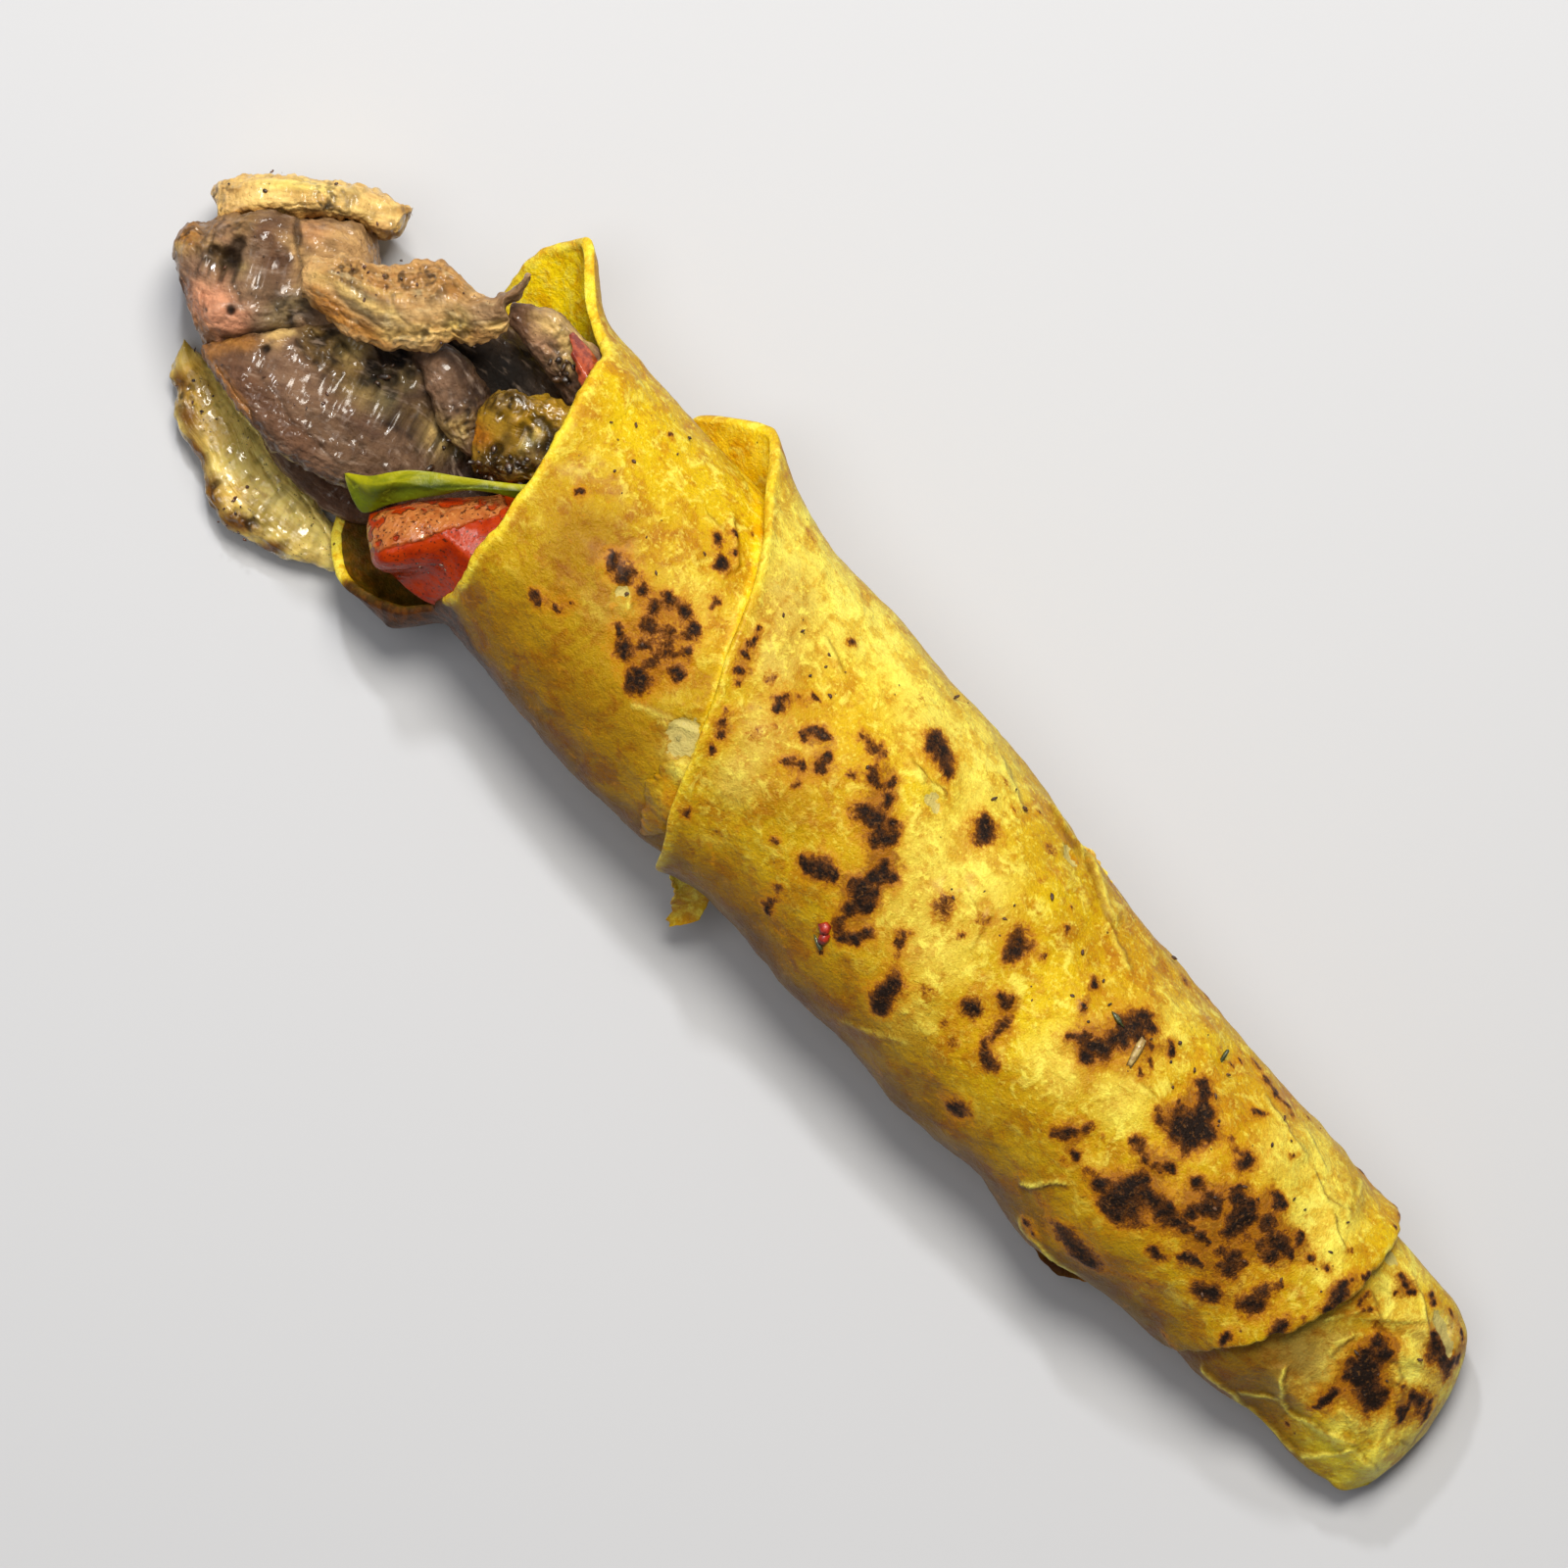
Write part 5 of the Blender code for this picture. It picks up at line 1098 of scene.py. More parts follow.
def scrapPiece(name, scrap, finish, seed):
    # a thin ragged tongue carried along its stations, its edges curled
    stations = []
    for x, y, z, wide in scrap["stations"]:
        if z is None:
            middle, wideRoll, high = (float(v) for v in rollSection(bread["roll"], np.array(float(x))))
            inward = bread["sheet"] + bread["plyGap"]
            share = min(max((y - middle) / (wideRoll - inward), -0.999), 0.999)
            z = high - bread["pressedFlat"] + (high - inward) * math.sqrt(1.0 - share**2) + 0.75
        stations.append((x, y, z, wide))
    rows, columns = scrapGrid
    at, line, ahead, side, up, (wide,), length = lineFrames(stations, rows)
    turn = (np.arange(columns) * 2.0 * math.pi / columns)[None]
    p = np.cos(turn) * wide[:, None]
    q = np.sign(np.sin(turn)) * np.abs(np.sin(turn)) ** 0.6 * 0.5 * scrap["thickness"]
    base = line[:, None] + p[..., None] * side[:, None]
    p = p * (1.0 + 0.22 * cloud(base, 2.2, seed) + 0.14 * cloud(base, 0.8, seed + 1))
    q = (q + scrap["curl"] * np.cos(turn) ** 2 + 0.35 * cloud(base, 3.0, seed + 2)
         + 0.10 * cloud(base, 1.0, seed + 3))
    rings = line[:, None] + p[..., None] * side[:, None] + q[..., None] * up[:, None]
    points = withEnds(rings)
    zero = np.zeros(len(points))
    marks = {"scorch": np.clip(0.55 * cloud(points, 3.0, seed + 5) - 0.1, 0, 1), "torn": zero, "wet": zero,
             "singe": np.clip(0.6 * cloud(points, 2.5, seed + 6), 0, 0.5),
             "tint": painted(points, scrap["colour"], scrap["patches"])}
    return addPiece("bread_" + name, points, gridFaces(rows, columns), poleFaces(rows, columns), finish,
                    ("flatbread",), marks)


# The filling

# each piece in the mouth: stations (x, y, z, half width, half depth) as in the part, the two edges
# that show from above where they differ, form, relief in millimetres (ragged edges, fibres,
# layers, lumps and fine) and colouring
fillings = {
    "tomato_wedge": {
        "stations": ((-87.6, -17.6, 27.5, 3.2, 4.4), (-83.4, -14.4, 29, 8.6, 6.8),
            (-76.6, -11, 30, 12.6, 8), (-67, -8, 29.5, 12, 8), (-55, -6, 28.5, 7.5, 6)),
        "left": ((-89.5, -19.6), (-88.6, -17), (-85.9, -12), (-81.4, -6), (-76, 0.6), (-71.9, 5.6),
            (-55, 0)),
        "right": ((-89.1, -20), (-87.4, -21.8), (-84.9, -23.3), (-81.4, -25.1), (-77.6, -26.1),
            (-72.9, -25.4), (-68.5, -24.5), (-62.1, -21.3), (-58.3, -15.8), (-55, -13)),
        "lean": 12, "curl": 0, "box": 2.6, "ends": 7, "seed": 20, "grid": (190, 160), "finish": "tomato",
        "slot": "tomato",
        "relief": {"ragged": 0.15, "fibre": 0, "layers": 0, "lump": 0.22, "fine": 0.05},
        "colour": "tomatoSkin",
        "patches": ((-86, -21, 4.2, "tomatoCut", 1), (-83.9, -16.8, 4.8, "tomatoCut", 1),
            (-81.6, -12.2, 5, "tomatoCut", 1), (-79.2, -7.6, 4.8, "tomatoCut", 1),
            (-76.8, -3, 3.8, "tomatoCut", 1), (-79.4, -24.7, 4.4, "tomatoSkin", 1),
            (-75.6, -18, 4, "tomatoSkin", 1, 1.5, 30), (-73, -10.2, 3.8, "tomatoSkin", 1, 1.5, 30),
            (-71.8, -3.4, 2.5, "tomatoSkin", 0.9), (-74.2, -23.8, 3, "tomatoDeep", 0.7),
            (-81.4, -7.1, 1, "tomatoTop", 0.8, 4, 45))},
    "meat_slice_curled": {
        "stations": ((-130.2, -0.8, 35, 2.4, 1.6), (-124.5, 1.4, 36.2, 4.6, 2.2), (-118, 4.4, 36.4, 6, 2.5),
            (-111, 9.4, 36.2, 7.8, 2.5), (-104.6, 14.6, 36.8, 6.9, 2.3), (-100.2, 20.2, 38, 4.4, 2),
            (-98.9, 27.4, 39.4, 1.6, 1.3)),
        "left": ((-127, -0.4), (-127.8, 1.7), (-125.2, 5.5), (-121.4, 8.3), (-118.3, 10.4), (-117.1, 12.9),
            (-115.4, 15.5), (-110.8, 18.7), (-105.8, 19.1), (-102.2, 20.4), (-101.3, 23.4), (-101, 27.9)),
        "right": ((-126.5, -0.8), (-124.4, -2.5), (-121.1, -2.6), (-118.3, -2), (-112.4, 0.1),
            (-107.3, 2.9), (-103.1, 6.8), (-101.8, 10.5), (-98.1, 13.5), (-97, 17.4), (-97.4, 20),
            (-99.8, 21.6), (-99, 24), (-99.8, 27.2)),
        "lean": -12, "curl": 1.6, "box": 3.4, "ends": 5, "seed": 23, "grid": (330, 170),
        "finish": "paleMeat", "slot": "meat_light",
        "relief": {"ragged": 0.7, "fibre": 0.28, "layers": 0.75, "lump": 0.5, "fine": 0.20},
        "colour": "tan",
        "patches": ((-122.2, 0.7, 3.4, "pinkTan", 0.7), (-123.7, 0.9, 2, "tanFat", 0.6),
            (-117.4, -0.3, 2.2, "orangeGlow", 0.95, 2.6, 80), (-111, 1.8, 1.6, "orangeGlow", 0.9, 2.8, 75),
            (-121.1, -1.4, 1.6, "orangeGlow", 0.8, 2, 95), (-122.4, 2.4, 1.5, "tanFat", 0.8, 2.2, 60),
            (-121.2, 5.4, 3.5, "honey", 0.7, 1.8, 50), (-116.7, 9.2, 3.5, "rust", 0.75, 1.8, 50),
            (-112.4, 15.4, 4.2, "rust", 0.75, 1.6, 50), (-108.2, 17.3, 2.6, "honey", 0.7),
            (-115.8, 3.9, 2.4, "greyOlive", 0.9, 2.4, 85), (-111.2, 5.3, 2.2, "greyOlive", 0.7, 2, 70),
            # the three thin tanFat streaks across the grey-olive band are painted highlights on its wet
            # sheen
            (-117.5, 3.8, 0.8, "tanFat", 0.8, 6, 82), (-112.7, 5.6, 0.7, "tanFat", 0.8, 6, 70),
            (-116, 7.5, 0.8, "tanFat", 0.6, 5, 60), (-106, 7.3, 2, "tanFat", 0.85, 2.4, 45),
            (-108.6, 4.1, 1.4, "tanFat", 0.7, 2, 60), (-102.7, 13.4, 2.6, "cream", 0.35),
            (-100.4, 13.5, 1.8, "orangeGlow", 0.55, 2.4, 40), (-106.2, 13.2, 2.6, "tan", 0.6),
            (-100.6, 18.2, 2.6, "greyTan", 0.8, 1.8, 45), (-100.8, 22.9, 2.8, "greyTan", 0.9, 2, 100),
            (-100.6, 26.4, 2.2, "greyBrown", 0.7), (-98, 17.9, 0.8, "tanFat", 0.8, 3, 45))},
    "meat_slice_top": {
        "stations": ((-148.8, -3.2, 14, 2, 6), (-141.4, 2.6, 15, 4.3, 9.5), (-132.2, 9.8, 15.5, 4.6, 10),
            (-121.6, 18.8, 16, 2.4, 7)),
        "left": ((-148.9, -2.5), (-149.5, -0.6), (-148.5, 1.4), (-145.7, 4.7), (-143.1, 7.9), (-137, 13.1),
            (-130.7, 18.3), (-127.1, 19.8), (-124, 20.8)),
        "right": ((-148.7, -2.7), (-146.5, -3.1), (-144.7, -4.5), (-142.3, -1.3), (-139.5, 2.4),
            (-134.9, 7), (-130.7, 10.6), (-127.5, 12.9), (-124.3, 13.7), (-122.6, 15.5), (-123.7, 20.5)),
        "lean": 8, "curl": 0, "box": 4.4, "ends": 8, "seed": 26, "grid": (280, 150), "finish": "paleMeat",
        "slot": "meat_light",
        "relief": {"ragged": 0.85, "fibre": 0.08, "layers": 0.16, "lump": 0.34, "fine": 0.26},
        "colour": "tanFat",
        "patches": ((-147.8, -1.5, 2.4, "tan", 0.6), (-146.4, 1.3, 2, "goldCrust", 0.35),
            (-145.2, -1.6, 2, "tan", 0.4), (-140.9, 0.8, 1, "orangeGlow", 0.8, 6, 45),
            (-132.4, 8.8, 1, "orangeGlow", 0.85, 6, 52), (-127.4, 12.8, 1.2, "orangeGlow", 0.8, 3, 60),
            (-124.4, 15.1, 1.8, "tan", 0.7), (-124.6, 19.8, 1.4, "goldCrust", 0.7),
            # the two thin darkMeat streaks follow the crack there: painted shade in it
            (-129.4, 18.5, 1, "tan", 0.5, 3, 55), (-134.3, 10.1, 0.5, "darkMeat", 0.7, 4, 45),
            (-135.5, 8.5, 0.5, "darkMeat", 0.6, 2, 45), (-129, 15.9, 0.5, "goldCrust", 0.5, 4, 50),
            (-139.7, 8.7, 1, "cream", 0.4, 6, 50))},
    "meat_slice_front": {
        "stations": ((-131, -19.6, 21, 2.6, 4), (-124, -16, 23.5, 8, 6.2), (-115, -13, 24, 10.6, 6.8),
            (-104, -10.6, 23, 12.6, 6.8), (-93, -8.4, 21, 12.6, 6.2), (-80, -6, 17.5, 12, 5),
            (-62, -3, 14.5, 10, 4.4), (-46, -2, 13.5, 7, 4)),
        "left": ((-130.6, -21.2), (-129.2, -18.4), (-127.6, -16), (-125.7, -12.6), (-124.3, -10.3),
            (-120.9, -4.6), (-118.3, -0.6), (-113.7, 3.1), (-106, 7.3), (-100.5, 9.6), (-93, 7.9),
            (-86.4, 5.3), (-80, 6), (-62, 7), (-46, 5)),
        "right": ((-130.1, -21.7), (-127, -22.2), (-121.4, -23), (-117.2, -23.6), (-113.5, -23.9),
            (-109.6, -23.9), (-106.3, -23), (-101.6, -21.8), (-97.9, -20.5), (-95.5, -18.8), (-87.8, -16),
            (-80, -18), (-62, -13), (-46, -9)),
        "lean": 8, "curl": 0, "box": 4.2, "ends": 8, "seed": 29, "grid": (380, 230), "finish": "darkMeat",
        "slot": "meat_dark",
        "relief": {"ragged": 0.55, "fibre": 0.10, "layers": 0.34, "lump": 0.30, "fine": 0.22},
        "colour": "lilac",
        # the darkMeat patches at x -121.9, -108.5, -107.5, -98.6 and -96.3 lie in the pressed dents and are
        # painted shade in them; the last three, at x -88 to -80, are painted shade where the slab runs in
        # under the other pieces and the lip
        "patches": ((-115.6, -13.2, 5.5, "pinkGrey", 0.75, 1.8, 90),
            (-120, -20.5, 4, "mauve", 0.85, 2.2, 98), (-107.6, -20.5, 3.4, "mauve", 0.7, 2.4, 90),
            (-129.2, -20, 2.2, "orangeFat", 0.8), (-126.1, -16, 1.8, "orangeGlow", 0.7, 2, 45),
            (-125, -22.2, 1, "orangeFat", 0.9, 4, 100), (-118.6, -23.1, 0.9, "orangeFat", 0.8, 4, 98),
            (-123, -11.4, 2, "tan", 0.7), (-121.9, -13.4, 1, "darkMeat", 0.85),
            (-122.3, -9.4, 1.2, "tanFat", 0.6, 2, 45), (-118.3, -6.2, 3, "gristle", 0.9),
            (-114, -5.7, 3.4, "gristle", 0.9, 1.6, 95), (-108.3, -5.2, 3.2, "gristle", 0.9, 1.6, 95),
            (-113.1, -3, 2, "paleGristle", 0.8, 1.6, 95), (-110.6, -1.5, 1.8, "paleGristle", 0.7, 1.6, 95),
            (-106.1, -2.7, 2.4, "oliveGristle", 0.9), (-101.9, -4.3, 2.6, "greenGrey", 0.85),
            (-105.9, -7.4, 2, "paleGristle", 0.7, 1.8, 80), (-107.5, 2, 3, "darkMeat", 0.85),
            (-102.7, 1, 3, "oliveGristle", 0.9), (-98.5, -0.6, 2.6, "darkMeat", 0.6),
            (-108.5, -1.6, 1, "darkMeat", 0.9, 2, 95), (-95.5, -2.2, 3, "gristle", 0.8),
            (-91.4, -1.4, 3.4, "paleGristle", 0.9), (-87.9, -0.1, 2.6, "paleGristle", 0.9),
            (-93.5, -2.5, 1.2, "tanFat", 0.6), (-87.7, 0.9, 1, "onionPale", 0.5, 2, 40),
            (-95.1, -10.4, 4, "lilac", 0.8), (-103.2, -13.2, 3.6, "lilac", 0.8, 2, 90),
            (-102.2, -9.6, 0.8, "greyBrown", 0.8, 7, 88), (-98, -16.8, 3, "lilac", 0.7),
            (-98.6, -6.1, 0.7, "darkMeat", 0.8, 5, 60), (-96.3, -4.1, 0.8, "darkMeat", 0.7),
            (-101.8, -19, 2.2, "pinkGrey", 0.6), (-84.8, -2.9, 3, "darkMeat", 0.9),
            (-80, -4, 8, "darkMeat", 0.9), (-88, 3, 4, "darkMeat", 0.8))},
    "roasted_pepper": {
        "stations": ((-92, 3.4, 25, 2.6, 2.2), (-87, 6, 28, 6.8, 3.4), (-79.5, 9.4, 30.2, 8.6, 4),
            (-67, 10, 30.5, 8.6, 4), (-52, 9, 29, 6, 3.4)),
        "left": ((-89.9, 5.1), (-90.6, 8.4), (-89.2, 12.4), (-85.4, 15.6), (-80.9, 18.3), (-62, 17),
            (-52, 12)),
        "right": ((-89.4, 4.5), (-87.3, 1.4), (-83.1, -0.4), (-78.5, 0.8), (-74.6, 4.7), (-75, 1), (-62, 3),
            (-52, 6)),
        "lean": -10, "curl": 0.6, "box": 3.6, "ends": 6, "seed": 32, "grid": (220, 170), "finish": "pepper",
        "slot": "pepper",
        "relief": {"ragged": 0.8, "fibre": 0.12, "layers": 0.7, "lump": 0.8, "fine": 0.25},
        "colour": "pepperYellow",
        "patches": ((-87.1, 3.3, 1.8, "pepperOrange", 0.9, 2, 95),
            (-81.5, 0.8, 3.5, "pepperDark", 0.9, 1.6, 35), (-78.2, 6.9, 2.8, "pepperDark", 0.8, 1.8, 0),
            (-87.9, 11.1, 2.6, "pepperDark", 0.75, 1.6, 45),
            (-83.7, 9.6, 2.4, "pepperYellow", 0.8, 1.6, 20), (-81.5, 14.4, 2.6, "pepperYellow", 0.8),
            # the darkMeat patch at (-77.8, 11) is painted shade in the dent pressed there
            (-82.9, 5.5, 1.4, "gristle", 0.6), (-77.8, 11, 1.2, "darkMeat", 0.8, 2.4, 10),
            (-80.4, 10, 1.2, "onionPale", 0.5, 2, 0))},
    "meat_strip_side": {
        "stations": ((-99.2, 21.6, 29.5, 1.8, 1.8), (-93, 23.2, 29.6, 3.8, 2.8), (-84.5, 23.4, 28, 4.4, 3),
            (-72, 21.5, 27, 4, 3), (-60, 19, 26.5, 2.6, 2.2)),
        "lean": -20, "curl": 0.3, "box": 3.2, "ends": 5, "seed": 35, "grid": (190, 120),
        "finish": "darkMeat", "slot": "meat_dark",
        "relief": {"ragged": 0.4, "fibre": 0.16, "layers": 0.2, "lump": 0.35, "fine": 0.16},
        "colour": "pinkGrey",
        "patches": ((-96, 22, 2.6, "mauve", 0.9, 1.6, 100), (-90.9, 25.2, 2.8, "tanFat", 0.75, 1.8, 80),
            (-86.5, 24.5, 2.8, "tanFat", 0.9), (-90.5, 22.6, 1.8, "pinkTan", 0.8, 2, 90),
            # the darkMeat patch at x -78, where the strip runs in under the lip, is painted shade
            (-84.8, 20.7, 2, "darkMeat", 0.8), (-78, 20, 5, "darkMeat", 0.7))},
    "red_pepper_bit": {
        "stations": ((-89, 26.6, 33.6, 1, 1), (-86.2, 26.8, 34.4, 2, 1.6), (-82, 24.6, 34.6, 2, 1.6),
            (-78, 21.6, 35, 1, 1)),
        "lean": 0, "curl": 0, "box": 2.6, "ends": 4, "seed": 38, "grid": (90, 80), "finish": "redPepper",
        "slot": "red_pepper",
        "relief": {"ragged": 0.35, "fibre": 0, "layers": 0, "lump": 0.3, "fine": 0.16}, "colour": "brick",
        "patches": ()},
    "meat_shred_inner": {
        "stations": ((-105, 4.6, 26.5, 1.6, 1.6), (-99.5, 6.6, 28, 4, 2.8), (-92, 4.4, 27, 4.4, 3),
            (-84, 1.6, 25, 3, 2.4)),
        "lean": 12, "curl": 0.2, "box": 3.2, "ends": 5, "seed": 41, "grid": (190, 130),
        "finish": "darkMeat", "slot": "meat_dark",
        "relief": {"ragged": 0.5, "fibre": 0.2, "layers": 0.45, "lump": 0.4, "fine": 0.14},
        "colour": "lilac",
        "patches": ((-99, 5.1, 2.8, "pinkGrey", 0.7, 2, 100), (-93.1, -2.1, 3, "paleGristle", 0.8),
            (-89.7, 0.4, 2.4, "paleGristle", 0.95), (-90.6, 1.9, 1.2, "tanFat", 0.5),
            # the three darkMeat patches lie deep in the mouth's hollow: partly dark meat, partly painted
            # shade
            (-89.9, 4, 2.2, "gristle", 0.6), (-92.5, 8.6, 2.4, "darkMeat", 0.9),
            (-98.4, 9.5, 2.2, "darkMeat", 0.8, 1.8, 100), (-102.8, 3.4, 2, "darkMeat", 0.8))},
    "onion_petal": {
        "stations": ((-134.6, -23.6, 4, 1.8, 1.4), (-125, -26.6, 5, 6.2, 2.4),
            (-112.5, -29.6, 5.2, 9.6, 2.8), (-100.5, -30.6, 5, 7.8, 2.6), (-88, -28.8, 4.2, 2.6, 1.6)),
        "left": ((-134.8, -22.8), (-132, -23), (-128.5, -22.6), (-124.4, -22.8), (-119.9, -22.8),
            (-112, -24.1), (-105.8, -24.4), (-99.8, -24.8), (-94.7, -25.4), (-90.9, -26.4), (-88.3, -27.5)),
        "right": ((-134.7, -23.1), (-133.6, -25.7), (-131.8, -28.7), (-129, -29.6), (-126.9, -32.2),
            (-123.4, -34.1), (-120.4, -34.5), (-118.6, -34.6), (-114.5, -36.7), (-111.1, -38.7),
            (-107.2, -39.3), (-103.1, -38.1), (-98.8, -37.1), (-95, -35.8), (-90.8, -33), (-87.9, -30.8),
            (-87.8, -27.9)),
        "lean": 6, "curl": 1, "box": 3.4, "ends": 5, "seed": 44, "beside": True, "grid": (300, 160),
        "finish": "onion", "slot": "onion",
        "relief": {"ragged": 0.45, "fibre": 0.12, "layers": 0.16, "lump": 0.30, "fine": 0.08},
        "colour": "onionPale",
        "patches": ((-133.6, -24.3, 2.4, "onionOlive", 0.9), (-129.3, -28.2, 2.6, "onionBrown", 1, 1.6, 98),
            (-129.8, -25.1, 2.2, "onionGold", 0.8), (-124.2, -31.3, 2.4, "onionBrown", 1, 1.8, 100),
            (-125, -27.2, 2.8, "onionGold", 0.8), (-118.8, -34, 1.8, "onionBrown", 1, 2.4, 100),
            (-111.5, -37.2, 2.2, "onionBrown", 1, 2.2, 110), (-105, -37.5, 2.2, "onionBrown", 1, 2.2, 60),
            (-98, -36, 1.8, "onionBrown", 1, 2.4, 50), (-91.7, -32.7, 1.2, "onionBrown", 0.6, 2.4, 40),
            (-118.4, -29.8, 3, "onionGold", 0.6, 1.6, 98), (-108.7, -34.1, 3, "onionGold", 0.6),
            (-103.2, -33, 2.2, "onionOlive", 0.8, 1.8, 90),
            (-111.9, -30.1, 2.6, "onionGreen", 0.7, 2.2, 98), (-103.7, -28.6, 3, "onionPale", 0.9, 1.8, 98),
            (-93.1, -28, 2.4, "onionPale", 0.8), (-97.1, -31.2, 1.6, "onionOlive", 0.7, 2, 80),
            (-114.4, -25.5, 1.2, "onionPale", 0.7, 5, 98))},
    "meat_slice_under": {
        "stations": ((-117.6, -20.6, 11.4, 2.6, 2.6), (-108, -20, 12, 5.6, 3.6),
            (-98, -18.6, 11.6, 6.4, 2.8), (-87, -15.5, 10.8, 4.2, 1.7)),
        "lean": 0, "curl": 0.3, "box": 3.2, "ends": 5, "seed": 47, "grid": (170, 120), "finish": "darkMeat",
        "slot": "meat_dark",
        "relief": {"ragged": 0.35, "fibre": 0.14, "layers": 0.2, "lump": 0.25, "fine": 0.1},
        "colour": "mauve",
        "patches": ((-111, -23.5, 1.4, "brick", 0.7), (-104.5, -23.3, 3, "lilac", 0.7, 2, 95))},
    "meat_slice_back": {
        "stations": ((-148.6, -12.2, 15, 3.8, 9), (-140.5, -7.6, 15.8, 10.6, 13.4),
            (-131, -4.8, 16.2, 15.4, 14.6), (-121, 1.2, 15.6, 10.8, 13.8), (-110, 5.4, 14.6, 8.8, 11.4),
            (-97, 10, 14.2, 9, 8.8), (-74, 11, 14.6, 9, 7.6), (-46, 10, 15, 7, 6.4)),
        "left": ((-145.4, -14.5), (-146.8, -12.3), (-146.8, -8.5), (-144.6, -6.9), (-144.6, -4.4),
            (-142.6, -1), (-140.1, 3), (-135.4, 6.2), (-130.8, 10.8), (-126.8, 13.2), (-123.4, 12.2),
            (-120.1, 9.9), (-110, 14.2), (-97, 19), (-74, 20), (-46, 17)),
        "right": ((-144.8, -14.8), (-140.6, -16.8), (-135.8, -18.7), (-131, -20.4), (-127.1, -18.1),
            (-123.9, -14.2), (-119.9, -9.3), (-114, -6), (-110, -3.4), (-97, 1), (-74, 2), (-46, 3)),
        "lean": 0, "curl": 0, "box": 4, "ends": 8, "seed": 50, "grid": (400, 230), "finish": "darkMeat",
        "slot": "meat_dark",
        "relief": {"ragged": 0.7, "fibre": 0.12, "layers": 0.65, "lump": 0.6, "fine": 0.22},
        "colour": "greyTan",
        "patches": ((-145.2, -11, 3, "goldCrust", 0.85), (-144.8, -13, 1.6, "tanFat", 0.6),
            (-145.9, -9.3, 1.6, "orangeGlow", 0.6), (-140.2, -14.2, 2.8, "pinkGrey", 0.85, 1.8, 95),
            (-138.9, -17.2, 1.8, "greyBrown", 0.6), (-132.6, -15.3, 4.4, "pink", 0.95, 1.4, 95),
            (-136.9, -13, 1.6, "pinkTan", 0.7), (-128.4, -15.1, 2.4, "pink", 0.7),
            (-132.2, -19, 1.4, "orangeFat", 0.5, 2, 100), (-141.7, -2.3, 3, "brownGold", 0.85, 2.2, 45),
            (-141.8, -5.6, 2.2, "pinkTan", 0.5), (-136.1, 3.7, 2.8, "duskBrown", 0.9),
            (-136.3, -0, 2.4, "mauve", 0.8), (-132.5, -1.2, 3.4, "mauve", 0.85),
            (-135, -2.3, 2.2, "lilac", 0.6), (-128.6, -1.4, 2.2, "greyBrown", 0.7),
            (-130.4, -8.3, 3.4, "greyTan", 0.7, 1.6, 95), (-126.6, -5.4, 3, "lilac", 0.7, 1.8, 100),
            (-124.7, -7.6, 2.8, "greyOlive", 0.7), (-124.1, -4.4, 2.2, "greyOlive", 0.6),
            (-139.5, -9, 1.8, "tan", 0.7, 2, 100), (-134.8, -7, 1, "paleGristle", 0.6),
            # the darkMeat patches at x -137.2, -130.9 and -123.2 sit in the pressed holes: painted shade in
            # them
            (-137.2, -8, 1.2, "darkMeat", 0.95, 1.5, 90), (-130.9, -13.4, 0.9, "darkMeat", 0.95),
            (-123.2, -6.9, 0.7, "darkMeat", 0.9), (-140.3, -8.3, 1, "brownGold", 0.8, 2, 45),
            (-127.8, 8.1, 4.6, "panel", 1, 1.6, 50), (-131.5, 5.8, 3, "pinkPanel", 0.8),
            (-124.4, 9.4, 2.6, "panel", 0.9), (-127.4, 4.3, 2.4, "panel", 0.8),
            (-129.9, 1.6, 1.4, "tan", 0.8, 3, 95), (-126.6, -0.5, 2.4, "tan", 0.5),
            # the three near-black patches from x -100 to -84 and the two darkMeat ones at x -108 and -105
            # are painted shade deep in the mouth
            (-125.7, -12.6, 0.8, "greyTan", 0.6), (-108, 6, 5, "darkMeat", 0.7), (-100, 8, 8, "cavityShade", 1),
            (-92, 14, 9, "cavityShade", 1), (-84, 10, 9, "cavityShade", 1), (-105, 14, 4, "darkMeat", 0.8))},
}
# holes and dents pressed into a piece from above: x, y, radius, depth
pressed = {
    "meat_slice_back": ((-137.7, -7.5, 1.4, 4.5), (-135.4, -8.5, 0.9, 3.2), (-130.9, -13.4, 0.7, 1.8),
        (-123.2, -6.9, 0.5, 1.2), (-140.4, -8.5, 0.9, 1.4), (-138.4, -4.8, 1.2, 1.6)),
    "meat_slice_front": ((-106.5, -2.4, 1, 2.4), (-108.2, -1.9, 0.8, 2), (-104, -1.2, 1.2, 1.8),
        (-121.9, -13.4, 0.7, 1), (-96.3, -4.1, 0.6, 1), (-106.7, 2.3, 2, 2.2), (-98.6, -6.6, 0.5, 0.8),
        (-114.7, -8.4, 0.5, 0.8)),
    "roasted_pepper": ((-83, 4, 1.6, 1.2), (-80, 9, 1.4, 1), (-77.8, 11, 1.4, 1.4)),
}
